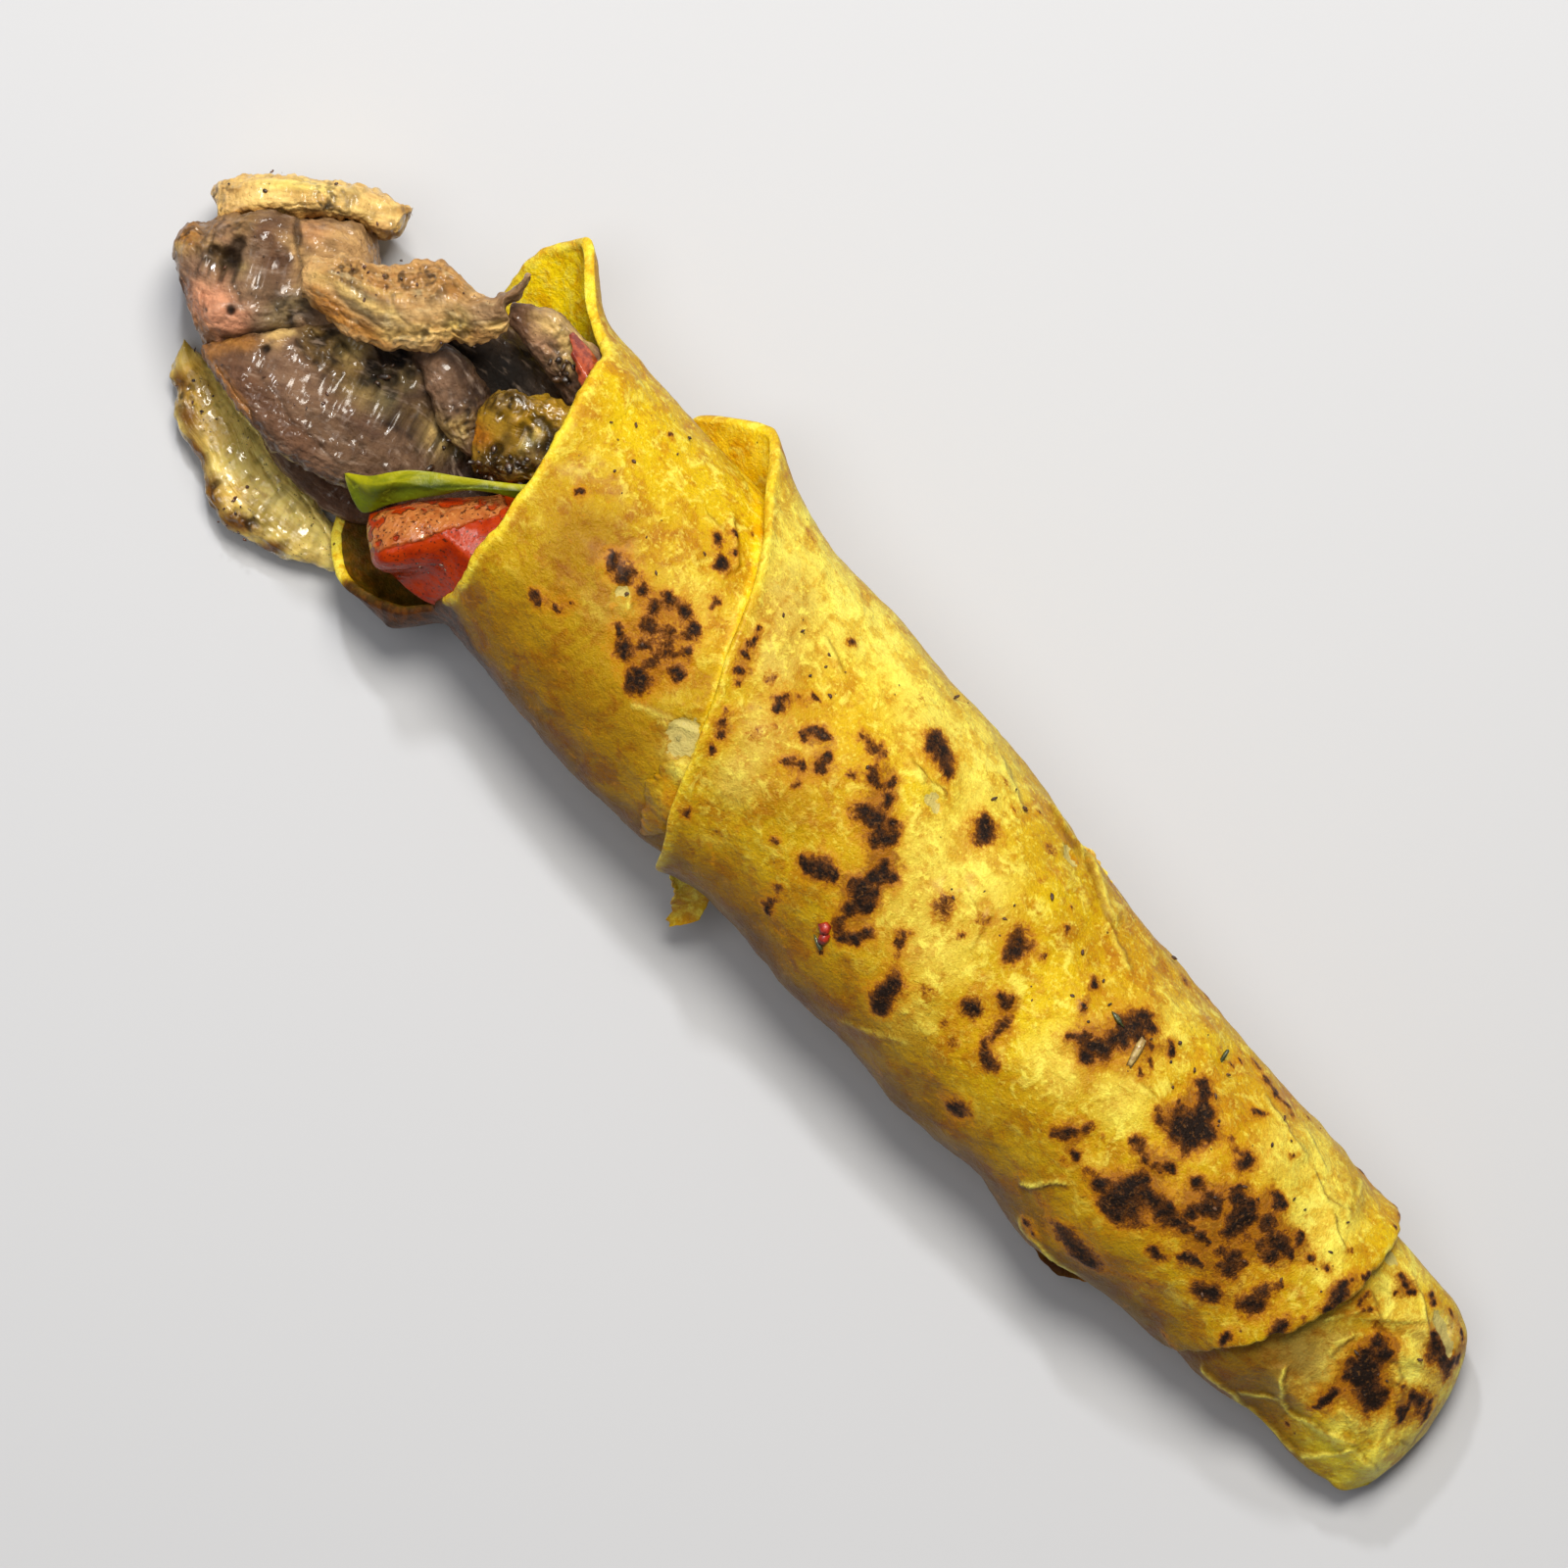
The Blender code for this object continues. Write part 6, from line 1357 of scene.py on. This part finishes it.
# cracks and steps cut into a piece: from x, y to x, y, width, depth
cracks = {
    "meat_slice_back": ((-135.5, -9.1, -135.9, -11.9, 0.4, 0.9), (-134.9, -9.6, -131.4, -11, 0.4, 0.9),
        (-140.3, -8.3, -134.9, -9.6, 0.5, 1.2), (-131.4, -11, -127.4, -12, 0.3, 0.5),
        (-136.4, -15, -133.6, -17.3, 0.35, 0.5), (-131.6, -7.2, -125.7, -7.6, 0.3, 0.6),
        (-125.7, -7.6, -123.3, -8, 0.3, 0.5), (-131.9, 2.3, -127, -0.2, 0.5, 0.9),
        (-135, 5.8, -131.8, 2.5, 0.7, 1.2), (-143.2, -5.6, -140.6, -9.2, 0.4, 0.6),
        (-131.4, -11, -129.2, -7.1, 0.25, 0.4), (-128.4, -17.3, -121.4, -7.9, 0.8, 1.2),
        (-130, -6.9, -127.3, -2.5, 0.3, 0.35), (-135.4, 0.3, -133.2, -4, 0.35, 0.4)),
    "meat_slice_front": ((-121.5, -16.4, -110.1, -18.2, 0.35, 0.5),
        (-110.1, -18.2, -99.5, -17.7, 0.35, 0.5), (-125.3, -21.3, -114.1, -23.1, 0.3, 0.4),
        (-119.4, -8.6, -109.5, -9.7, 0.4, 0.7), (-109.5, -9.7, -100.6, -6.6, 0.5, 0.8),
        (-115.5, -3.1, -107.3, -2.8, 0.4, 0.7), (-105.9, -7.4, -95.9, -4.1, 0.3, 0.5),
        (-119.4, -5.7, -112.4, -6, 0.35, 0.5), (-111.8, 0.9, -106.9, -0.4, 0.4, 0.8),
        (-107.1, -12, -98, -12.9, 0.3, 0.5)),
    "meat_slice_curled": ((-120.3, 1.2, -110.3, 3.4, 0.35, 0.5), (-119.9, 4.2, -108.3, 7.2, 0.35, 0.5),
        (-115.1, 5.5, -104.3, 10.4, 0.3, 0.4), (-123.9, -1.2, -112.8, 1.1, 0.3, 0.3),
        (-104.3, 14.8, -99.1, 19.6, 0.25, 0.4), (-104.4, 17.2, -100.3, 24.7, 0.25, 0.4),
        (-99.1, 16.9, -97.3, 20.1, 0.3, 0.6)),
    "onion_petal": ((-122.2, -24.1, -103.8, -26.2, 0.3, 0.3), (-112.6, -27.2, -97.7, -29.4, 0.3, 0.35),
        (-120.2, -28.2, -107, -32.2, 0.3, 0.3), (-101.4, -26.1, -90.7, -27.9, 0.3, 0.3)),
    "meat_slice_top": ((-138.4, 5.3, -132.6, 12.4, 0.3, 0.4), (-133.3, 9.7, -125.6, 16.2, 0.3, 0.3)),
}
# crumbly places: x, y, radius, how high the crumbs stand, their size
crumbly = {
    "meat_slice_front": ((-116, -4.9, 3.4, 0.9, 1.6), (-111.4, -5.3, 3.4, 1.1, 1.8),
        (-106, -4.3, 3.2, 1.1, 1.8), (-101.3, -3.7, 3, 0.9, 1.5), (-94.3, -3.3, 4, 1, 1.2),
        (-90.2, -1.4, 4, 1, 1.2), (-85.6, 0, 4, 0.9, 1.2), (-104.6, 2.7, 3.5, 0.9, 1.6)),
    "meat_shred_inner": ((-92, -0.9, 4, 0.9, 1.2), (-89.9, 4, 4, 0.9, 1.2)),
    "meat_slice_curled": ((-104.2, 8, 3.5, 0.6, 1.2), (-101.5, 12.3, 3.5, 0.6, 1.2),
        (-107.9, 3.5, 2.5, 0.5, 1.1), (-112.2, 15.3, 5, 0.45, 1.1), (-116.7, 10.4, 5, 0.4, 1.1),
        (-122.5, 6.6, 4, 0.35, 1.0)),
    "roasted_pepper": ((-79.7, 1.5, 4, 1, 1.3), (-77, 6.9, 4, 0.9, 1.3), (-87.9, 11.1, 3.5, 0.8, 1.3),
        (-80.8, 11.5, 5, 0.5, 1.6)),
    "meat_strip_side": ((-88.5, 24.1, 4, 0.7, 1.2), (-84.2, 21.3, 4, 1, 1.3)),
    "meat_slice_back": ((-142.5, -2.3, 3.5, 0.5, 1.1), (-145.3, -9.9, 3.5, 0.5, 1.1),
        (-123, -6.5, 4, 0.5, 1.2), (-139.7, -11.1, 3, 0.4, 1.2)),
    "onion_petal": ((-127.5, -29.9, 3, 0.3, 1.1), (-112.1, -37.8, 3, 0.35, 1.1),
        (-103.8, -37.4, 4, 0.35, 1.1)),
    "meat_slice_top": ((-147.2, -2.1, 3, 0.4, 1.1), (-133.6, 9.9, 5, 0.25, 0.9)),
}
# the leaf: its middle line, the two edges seen from above, thickness, lean in degrees, grid
leafForm = {"stations": ((-97.4, -18.6, 29.5), (-93, -17, 32.5), (-88, -11.8, 35), (-81, -3.6, 37),
                         (-74, 2.6, 38), (-64, 8, 37)),
            "left": ((-97.8, -17.7), (-96, -16.4), (-94.2, -14.9), (-92.2, -12), (-90.5, -9.6),
                     (-88.1, -7.2), (-83.8, -3.8), (-78.6, 0.5), (-74.3, 4.5), (-71, 9.3), (-64, 10)),
            "right": ((-97.6, -17.9), (-95, -19.1), (-93, -19.8), (-90.4, -19.9), (-89.6, -18.8),
                      (-88.9, -16.8), (-86.5, -12.6), (-83.7, -8.4), (-80.9, -4.2),
                      (-77.8, -1.4), (-74.3, 1), (-71.9, 2.9), (-68.8, 7.3), (-64, 7)),
            "thick": 0.5, "lean": 26, "grid": (220, 90)}


def edgesOf(piece, at, line, side, wide):
    # the middle line and the half width at each place along, from the two edges seen from above
    if "left" not in piece:
        return line, side * wide[:, None]
    ends = []
    for edge in (piece["left"], piece["right"]):
        knots = np.array(edge, float)
        steps = np.linalg.norm(np.diff(knots, axis=0), axis=1)
        reached = np.concatenate(((0,), np.cumsum(steps))) / steps.sum()
        ends.append(np.stack([curveThrough(reached, knots[:, k], at) for k in (0, 1)], axis=1))
    middle, half = (ends[0] + ends[1]) / 2, (ends[1] - ends[0]) / 2.0
    return (np.column_stack((middle, line[:, 2])), np.column_stack((half, np.zeros(len(at)))))


def stepped(points, size, seed, steps=3.0):
    # a cloud cut into steps, flat with short slopes between: layers that have come apart
    level = cloud(points, size, seed) * steps
    foot = np.floor(level)
    return (foot + ease(0.32, 0.68, level - foot)) / steps


def fillingRings(piece, rows, columns):
    # a rounded-box section carried along the stations between its two edges, its ends rounded off;
    # on it run fibres along the piece, torn layers, lumps and ragged edges
    at, line, ahead, side, up, (wide, deep), length = lineFrames(piece["stations"], rows)
    line, half = edgesOf(piece, at, line, side, wide)
    closing = ((1.0 - np.abs(2.0 * at - 1) ** piece["ends"]) ** (1.0 / piece["ends"]))[:, None]
    turn = np.arange(columns) * 2.0 * math.pi / columns
    power = 2.0 / piece["box"]
    across = (np.sign(np.cos(turn)) * np.abs(np.cos(turn)) ** power)[None]
    above = (np.sign(np.sin(turn)) * np.abs(np.sin(turn)) ** power)[None]
    wide = np.linalg.norm(half, axis=1)
    lean = np.tan(math.radians(piece["lean"]))
    spread = closing if "left" not in piece else np.minimum(closing * 1.4, 1)
    p = across * wide[:, None] * spread
    q = above * deep[:, None] * closing - piece["curl"] * across**2 * closing
    sideWay = half / np.maximum(wide, 0.01)[:, None]
    flat = line[:, None] + p[..., None] * sideWay[:, None]
    flat[..., 2] += q + p * lean
    grain = np.stack(((at * length)[:, None] + 0.0 * p, p, q), axis=-1)
    seed, relief = piece["seed"] + 100, piece["relief"]
    bent = grain + 0.9 * cloud(grain, 6, seed)[..., None]
    swell = relief["lump"] * clouds(flat, 5, seed + 3, 3) + relief["fine"] * clouds(flat, 0.9, seed + 4, 2)
    if relief["fibre"] > 0.0:
        swell = swell + relief["fibre"] * (strands(bent, (11, 1.3, 1.3), seed + 1) - 0.5)
    if relief["layers"] > 0.0:
        swell = swell + relief["layers"] * stepped(bent, (16, 3.6, 3.6), seed + 2)
    tears = cloud(flat, 3.2, seed + 5) + 0.8 * cloud(flat, 1.3, seed + 6)
    torn = relief["ragged"] * tears * np.abs(across) ** 6
    p = swell * np.sign(across) * np.abs(across) ** 4 + torn * np.sign(across)
    rings = flat + p[..., None] * sideWay[:, None]
    rings[..., 2] += swell * above
    frayed = relief["ragged"] * np.abs(2.0 * at - 1)[:, None] ** 8 * cloud(flat, 1.6, seed + 7)
    rings[..., :2] += (ahead[:, None] * frayed[..., None])[..., :2]
    return rings, grain, above + 0.0 * p


def cutInto(points, lines):
    # how deep cracks reach at each point: each fades away from its line, wandering a little
    wander = 0.5 * cloud(points, 2.2, 612)
    x, y = points[..., 0] + wander, points[..., 1] + 0.5 * cloud(points, 2.2, 613)
    depth = np.zeros(x.shape)
    for fromX, fromY, toX, toY, width, deep in lines:
        runX, runY = toX - fromX, toY - fromY
        share = np.clip(((x - fromX) * runX + (y - fromY) * runY) / (runX**2 + runY**2), 0, 1)
        away = ((x - fromX - share * runX) ** 2 + (y - fromY - share * runY) ** 2) / width**2
        depth = np.maximum(depth, deep * np.exp(-away))
    return depth


def fillingPiece(name, piece, finish):
    # a piece of the filling with its dents, cracks and crumbly places, kept inside the bread
    rows, columns = piece["grid"]
    rings, grain, above = fillingRings(piece, rows, columns)
    upwards = ease(0.35, 0.85, above)
    seen = rings.copy()
    hollow = cutInto(seen, cracks.get(name, ()))
    for x, y, radius, depth in pressed.get(name, ()):
        hollow = hollow + depth * np.exp(-fromSpot(seen, x, y) / radius**2)
    crumbled, creviceShade, peak = 0.0, 0.0, 0.0
    for x, y, radius, height, size in crumbly.get(name, ()):
        here = ease(0.5, 0.95, above) * np.exp(-(fromSpot(seen, x, y) / radius**2) ** 1.5)
        grains = cloud(seen, size, piece["seed"] + 700) + 0.6 * cloud(seen, 0.5 * size, piece["seed"] + 701)
        crumbled = np.maximum(crumbled, here * height)
        creviceShade = np.maximum(creviceShade, here * ease(0.15, -0.5, grains))
        peak = np.maximum(peak, here * ease(0.25, 0.8, grains))
    if name in crumbly:
        rings[..., 2] += crumbled * grains
    rings[..., 2] -= hollow * upwards
    if piece.get("beside"):
        rings[..., 2] = np.maximum(rings[..., 2], bread["floorGap"])
    else:
        rings = insideBread(rings)
    tint = painted(seen, piece["colour"], piece["patches"])
    if name in crumbly:
        # painted shade in the crevices between the crumbs; their tops paler, partly pale gristle and partly
        # painted light
        paler = np.array(paint["paleGristle"]) - tint
        tint = tint * (1.0 - 0.80 * creviceShade)[..., None] + 0.30 * peak[..., None] * paler
    # painted shade in small furrows all over the piece
    furrowShade = cloud(seen, 1.7, piece["seed"] + 710) + 0.5 * cloud(seen, 0.8, piece["seed"] + 711)
    tint = tint * (1.0 - 0.32 * ease(-0.15, -0.75, furrowShade))[..., None]
    # painted shade in the pressed dents and cracks, on the upper faces
    tint = tint * (1.0 - 0.72 * ease(0.1, 1, hollow) * upwards)[..., None]
    points = withEnds(rings)
    return addPiece(name + "_detail", points, gridFaces(rows, columns), poleFaces(rows, columns), finish,
                    (name,), inRows({"tint": tint, "grain": grain}, ends=True))


def leafPiece(finish):
    # a thin blade between its two edges, leaning, creased along the middle and waving at its edges
    rows, columns = leafForm["grid"]
    at, line, ahead, side, up, (), length = lineFrames(leafForm["stations"], rows)
    line, half = edgesOf(leafForm, at, line, side, None)
    wide = np.linalg.norm(half, axis=1)
    turn = (np.arange(columns) * 2.0 * math.pi / columns)[None]
    across = np.cos(turn) * ease(0, 0.02, at)[:, None] * ease(0, 0.02, 1.0 - at)[:, None]
    sideWay = half / np.maximum(wide, 0.01)[:, None]
    p = across * wide[:, None]
    flat = line[:, None] + p[..., None] * sideWay[:, None]
    crease = 0.9 * np.abs(across - 0.1 + 0.5 * np.sin(at * 9)[:, None]) * wide[:, None] / 3.0
    wave = 0.35 * np.sin(at * 23)[:, None] * across + 0.25 * cloud(flat, 2.6, 151)
    q = np.sign(np.sin(turn)) * np.abs(np.sin(turn)) ** 0.5 * 0.5 * leafForm["thick"]
    flat[..., 2] += q + wave - crease - p * math.tan(math.radians(leafForm["lean"]))
    rings = insideBread(flat)
    points = withEnds(rings)
    grain = np.stack(((at * length)[:, None] + 0.0 * p, p, q + 0.0 * p), axis=-1)
    light = ease(0.15, -0.85, across + 0.35 * cloud(flat, 3, 152))
    light = np.maximum(light, 0.8 * ease(0.10, 0, at)[:, None])
    shade = 0.5 * np.exp(-((across - 0.1) / 0.22) ** 2)
    tint = laidOver(np.array(paint["leafDeep"]), paint["lime"], light) * (1.0 - shade)[..., None]
    return addPiece("green_leaf_detail", points, gridFaces(rows, columns), poleFaces(rows, columns), finish,
                    ("green_leaf",), inRows({"tint": tint, "grain": grain}, ends=True))


def coreFinish():
    # packed chopped meat deep in the mouth, wet, near black: partly dark meat, partly painted shade of the
    # deep mouth
    f = Finish("packed meat", Specular_IOR_Level=0.08, Coat_Roughness=0.12)
    lump = f.cells(3, 0.5)
    base = f.mix(f.cloud(2, 1, 4).between(0.45, 0.70), (0.006, 0.0025, 0.001), (0.060, 0.024, 0.008))
    f.set("Base Color", f.mix(lump.between(0.3, 0.6) * 0.6, base, (0.010, 0.004, 0.002)))
    f.set("Roughness", 0.5 + f.cloud(1, 2) * 0.2)
    f.set("Coat Weight", f.cloud(2, 4).between(0.56, 0.7) * 0.15)
    f.set("Normal", f.relief(lump, 1.2, 0.8))
    return f.material


# Small bits

def scattered(name, spots, finish, seed, length=(1, 1), sides=6):
    # each bit is a small pointed bead: rings of corners shrunk to its ends, stretched and turned;
    # all of them are worked out at once and make one mesh. spots: x, y, z, size
    draw = np.random.default_rng(seed)
    spots = np.asarray(spots, float)
    count = len(spots)
    level = np.array((-0.75, -0.25, 0.35, 0.8))
    ring = np.sqrt(1.0 - level**2)
    turn = np.arange(sides) * 2.0 * math.pi / sides
    bead = np.stack((np.repeat(level, sides), np.outer(ring, np.cos(turn)).ravel(),
                     np.outer(ring, np.sin(turn)).ravel()), axis=1)
    bead = np.vstack((bead, (-1, 0, 0), (1, 0, 0)))
    shape = bead[None] * (1.0 + draw.uniform(-0.3, 0.3, (count, len(bead), 1)))
    stretch = np.stack((draw.uniform(*length, count), draw.uniform(0.7, 1.1, count),
                        draw.uniform(0.35, 0.7, count)), axis=1)
    shape = shape * stretch[:, None] * spots[:, 3][:, None, None]
    heading, tilt = draw.uniform(0, 2.0 * math.pi, count), draw.uniform(-0.35, 0.35, count)
    if spots.shape[1] > 4:
        heading, tilt = np.radians(spots[:, 4]), 0.3 * tilt
    ahead = np.stack((np.cos(heading) * np.cos(tilt), np.sin(heading) * np.cos(tilt), np.sin(tilt)), axis=1)
    side = np.stack((-np.sin(heading), np.cos(heading), np.zeros(count)), axis=1)
    up = np.cross(ahead, side)
    points = (shape[..., 0:1] * ahead[:, None] + shape[..., 1:2] * side[:, None]
              + shape[..., 2:3] * up[:, None] + spots[:, None, :3])
    quads = gridFaces(len(level), sides)
    triangles = poleFaces(len(level), sides)
    steps = np.arange(count)[:, None, None] * len(bead)
    return addPiece(name, points.reshape(-1, 3), (quads[None] + steps).reshape(-1, 4),
                    (triangles[None] + steps).reshape(-1, 3), finish)


def onTopOf(pieces, x, y, radius, count, seed, sink=0.15):
    # seeded places on the uppermost of these pieces' points, within a circle seen from above
    draw = np.random.default_rng(seed)
    found = []
    for piece in pieces:
        points = np.empty(len(piece.data.vertices) * 3)
        piece.data.vertices.foreach_get("co", points)
        points = points.reshape(-1, 3) / mm
        found.append(points[fromSpot(points, x, y) < (radius + 1.5) ** 2])
    found = np.vstack(found + [np.full((1, 3), -99)])
    wanted = np.stack((draw.normal(0, 0.5, count), draw.normal(0, 0.5, count)), axis=1) * radius
    wanted = wanted + (x, y)
    apart = (found[None, :, 0] - wanted[:, None, 0]) ** 2 + (found[None, :, 1] - wanted[:, None, 1]) ** 2
    height = np.where(apart < 0.8, found[None, :, 2], -1).max(axis=1)
    kept = height > 0.0
    return np.column_stack((wanted[kept], height[kept] - sink))


# Putting it together

breadSkin = breadFinish()
inner = innerTurn(breadSkin)
outer = outerTurn(breadSkin)
foot = footEnd(breadSkin)
for number, (name, scrap) in enumerate(scraps.items()):
    scrapPiece(name, scrap, breadSkin, 300 + 20 * number)
print("bread rolled")

finishes = {
    "tomato": tomatoFinish(),
    "paleMeat": meatFinish("pale roast meat", gloss=0.6, streak=0.55, speck=0.7, fibre=1.0,
                           dark=(0.52, 0.36, 0.20), light=(0.95, 0.74, 0.38)),
    "darkMeat": meatFinish("dark roast meat", gloss=0.55, streak=0.6, speck=0.6, fibre=1.0,
                           dark=(0.50, 0.42, 0.40), light=(0.50, 0.36, 0.26)),
    "pepper": onionFinish("roasted pepper", dark=(0.20, 0.16, 0.12)),
    "onion": onionFinish("soft onion"),
    "redPepper": plainFinish("red pepper", paint["brick"], 0.3, (0.20, 0.02, 0.006), 1.4, 0.5),
}
made = {name: fillingPiece(name, piece, finishes[piece["finish"]]) for name, piece in fillings.items()}
made["green_leaf"] = leafPiece(leafFinish())
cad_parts["meat_core"].data.materials.clear()
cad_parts["meat_core"].data.materials.append(coreFinish())
print("filling laid in")

# ground pepper on the bread: sizes, how many round each spot, and the spots (piece, x, y, radius)
pepperSpecks = {"size": (0.14, 0.46), "seed": 900, "count": 10,
                "on": ((inner, -66, 20, 12), (inner, -50, 8, 12), (outer, -20, 20, 14), (outer, 0, 20, 16),
                       (outer, 25, 18, 18), (outer, 45, 15, 16), (outer, 60, 20, 14), (outer, 75, 22, 14),
                       (outer, 90, 18, 14), (outer, 100, 8, 14), (outer, 112, 14, 10), (foot, 132, 10, 12)),
                "colours": ((0.045, 0.020, 0.008), (0.12, 0.045, 0.012))}
draw = np.random.default_rng(pepperSpecks["seed"])
spots = np.vstack([onTopOf([host], x, y, radius, pepperSpecks["count"], pepperSpecks["seed"] + k, 0.05)
                   for k, (host, x, y, radius) in enumerate(pepperSpecks["on"])])
spots = np.column_stack((spots, draw.uniform(*pepperSpecks["size"], len(spots)) ** 1.3))
pepperLook = plainFinish("ground pepper", pepperSpecks["colours"][0], 0.6, pepperSpecks["colours"][1])
scattered("pepper_specks", spots, pepperLook, pepperSpecks["seed"] + 1, (0.8, 2.2))

# crumbs in the mouth: x, y, radius, how many; herbs on the bread: x, y, heading, length
crumbs = {
    "dark_crumbs": {
        "size": (0.25, 0.8), "colours": ((0.016, 0.007, 0.003), (0.075, 0.034, 0.012)), "slot": "meat_dark",
        "hosts": ("meat_slice_front", "meat_shred_inner", "roasted_pepper", "meat_strip_side"), "seed": 940,
        "at": ((-81.2, 0.6, 4, 14), (-77.8, 5.4, 4, 10), (-84.8, 20.7, 3, 10), (-105.9, -1.7, 2.5, 5),
            (-90.8, -2, 4, 8))},
    "meat_flecks": {
        "size": (0.12, 0.42), "colours": ((0.10, 0.030, 0.010), (0.030, 0.012, 0.005)), "slot": "meat_dark",
        "hosts": ("meat_slice_top", "meat_slice_curled", "meat_slice_back", "meat_slice_front",
                  "onion_petal", "tomato_wedge", "meat_strip_side"),
        "seed": 960,
        "at": ((-138.4, 7.6, 12, 10), (-116.1, 9.8, 10, 18), (-106.1, 9.7, 8, 8), (-136.4, -10, 8, 8),
            (-114.9, -16.1, 9, 8), (-126.1, -28.4, 6, 16), (-106.8, -37, 7, 16), (-74.6, -18.9, 6, 9))},
    "herb_slivers": {
        "size": (0.50, 0.50), "colours": ((0.030, 0.038, 0.006), (0.085, 0.090, 0.020)), "slot": "leaf",
        "lying": ((58.6, 16.8, -5, 3.6), (75.8, 25.9, -74, 2.6), (15.3, -11.9, -18, 3)), "seed": 980},
    "herb_stem": {
        "size": (0.60, 0.60), "colours": ((0.50, 0.36, 0.12), (0.30, 0.18, 0.05)), "slot": "bread",
        "lying": ((64.9, 15.3, -72, 5),), "seed": 990},
    "red_flake": {
        "size": (1.1, 1.1), "colours": ((0.40, 0.020, 0.004), (0.22, 0.010, 0.004)), "slot": "red_pepper",
        "lying": ((14.1, -9.3, 20, 1.2), (15.3, -10.5, 80, 0.8)), "seed": 995},
}
for name, kind in crumbs.items():
    if "lying" in kind:
        spots = [(*onTopOf([outer, inner], x, y, 0.0, 1, kind["seed"], -0.15)[0], kind["size"][0], way)
                 for x, y, way, long in kind["lying"]]
        length = (np.mean([long for x, y, way, long in kind["lying"]]),) * 2
    else:
        draw = np.random.default_rng(kind["seed"])
        hosts = [made[host] for host in kind["hosts"]]
        spots = np.vstack([onTopOf(hosts, x, y, radius, count, kind["seed"] + k, 0.0)
                           for k, (x, y, radius, count) in enumerate(kind["at"])])
        spots = np.column_stack((spots, draw.uniform(*kind["size"], len(spots)) ** 1.3))
        length = (0.8, 1.9)
    look = plainFinish(name, kind["colours"][0], 0.45, kind["colours"][1], 1.2, 0.35)
    scattered(name, spots, look, kind["seed"] + 1, length)
print("specks, crumbs and herbs scattered")

# Floor, light and camera

# a square floor in metres, just under the roll
floorReach, floorZ = 3.0, -0.0003
corners = [(x * floorReach, y * floorReach, floorZ) for x, y in ((-1, -1), (1, -1), (1, 1), (-1, 1))]
floorMesh = bpy.data.meshes.new("floor")
floorMesh.from_pydata(corners, [], [(0, 1, 2, 3)])
floor = bpy.data.objects.new("floor", floorMesh)
bpy.context.scene.collection.objects.link(floor)
floorLook = Finish("pale floor", Base_Color=(0.54, 0.55, 0.58), Roughness=0.85, Specular_IOR_Level=0.2)
floorMesh.materials.append(floorLook.material)

light = {"key": {"from": (-0.30, 0.44, 1.25), "size": 0.5, "watts": 17.5, "colour": (1.0, 0.95, 0.86)},
         "top": {"from": (-0.35, -0.25, 1.5), "size": 0.9, "watts": 5.0, "colour": (1.0, 0.98, 0.95)},
         "sparkle": {"from": (-0.55, 0.35, 0.75), "size": 0.08, "watts": 3.0, "colour": (1.0, 1.0, 1.0)},
         "world": {"strength": 0.15, "colour": (0.92, 0.96, 1.0)}}
middle = (cadBox[0] + cadBox[1]) / 2
for name in ("key", "top", "sparkle"):
    lamp = bpy.data.lights.new(name, "AREA")
    lamp.shape, lamp.size = "DISK", light[name]["size"]
    lamp.energy, lamp.color = light[name]["watts"], light[name]["colour"]
    stand = bpy.data.objects.new(name, lamp)
    stand.location = light[name]["from"]
    stand.rotation_euler = (middle - stand.location).to_track_quat("-Z", "Y").to_euler()
    bpy.context.scene.collection.objects.link(stand)
world = bpy.data.worlds.new("studio")
world.use_nodes = True
world.node_tree.nodes["Background"].inputs["Color"].default_value = (*light["world"]["colour"], 1.0)
world.node_tree.nodes["Background"].inputs["Strength"].default_value = light["world"]["strength"]
bpy.context.scene.world = world
bpy.context.scene.view_settings.view_transform = "Standard"

# the view is straight down, the roll turned to run down and to the right
shot = {"middle": (-0.0084, 0.0019), "height": 1.525, "turn": 47.7, "lens": 202.5}
lens = bpy.data.cameras.new("camera")
lens.lens, lens.sensor_width = shot["lens"], 36.0
camera = bpy.data.objects.new("camera", lens)
camera.location = (*shot["middle"], shot["height"])
camera.rotation_euler = (0.0, 0.0, math.radians(shot["turn"]))
bpy.context.scene.collection.objects.link(camera)
bpy.context.scene.camera = camera
print("lit")
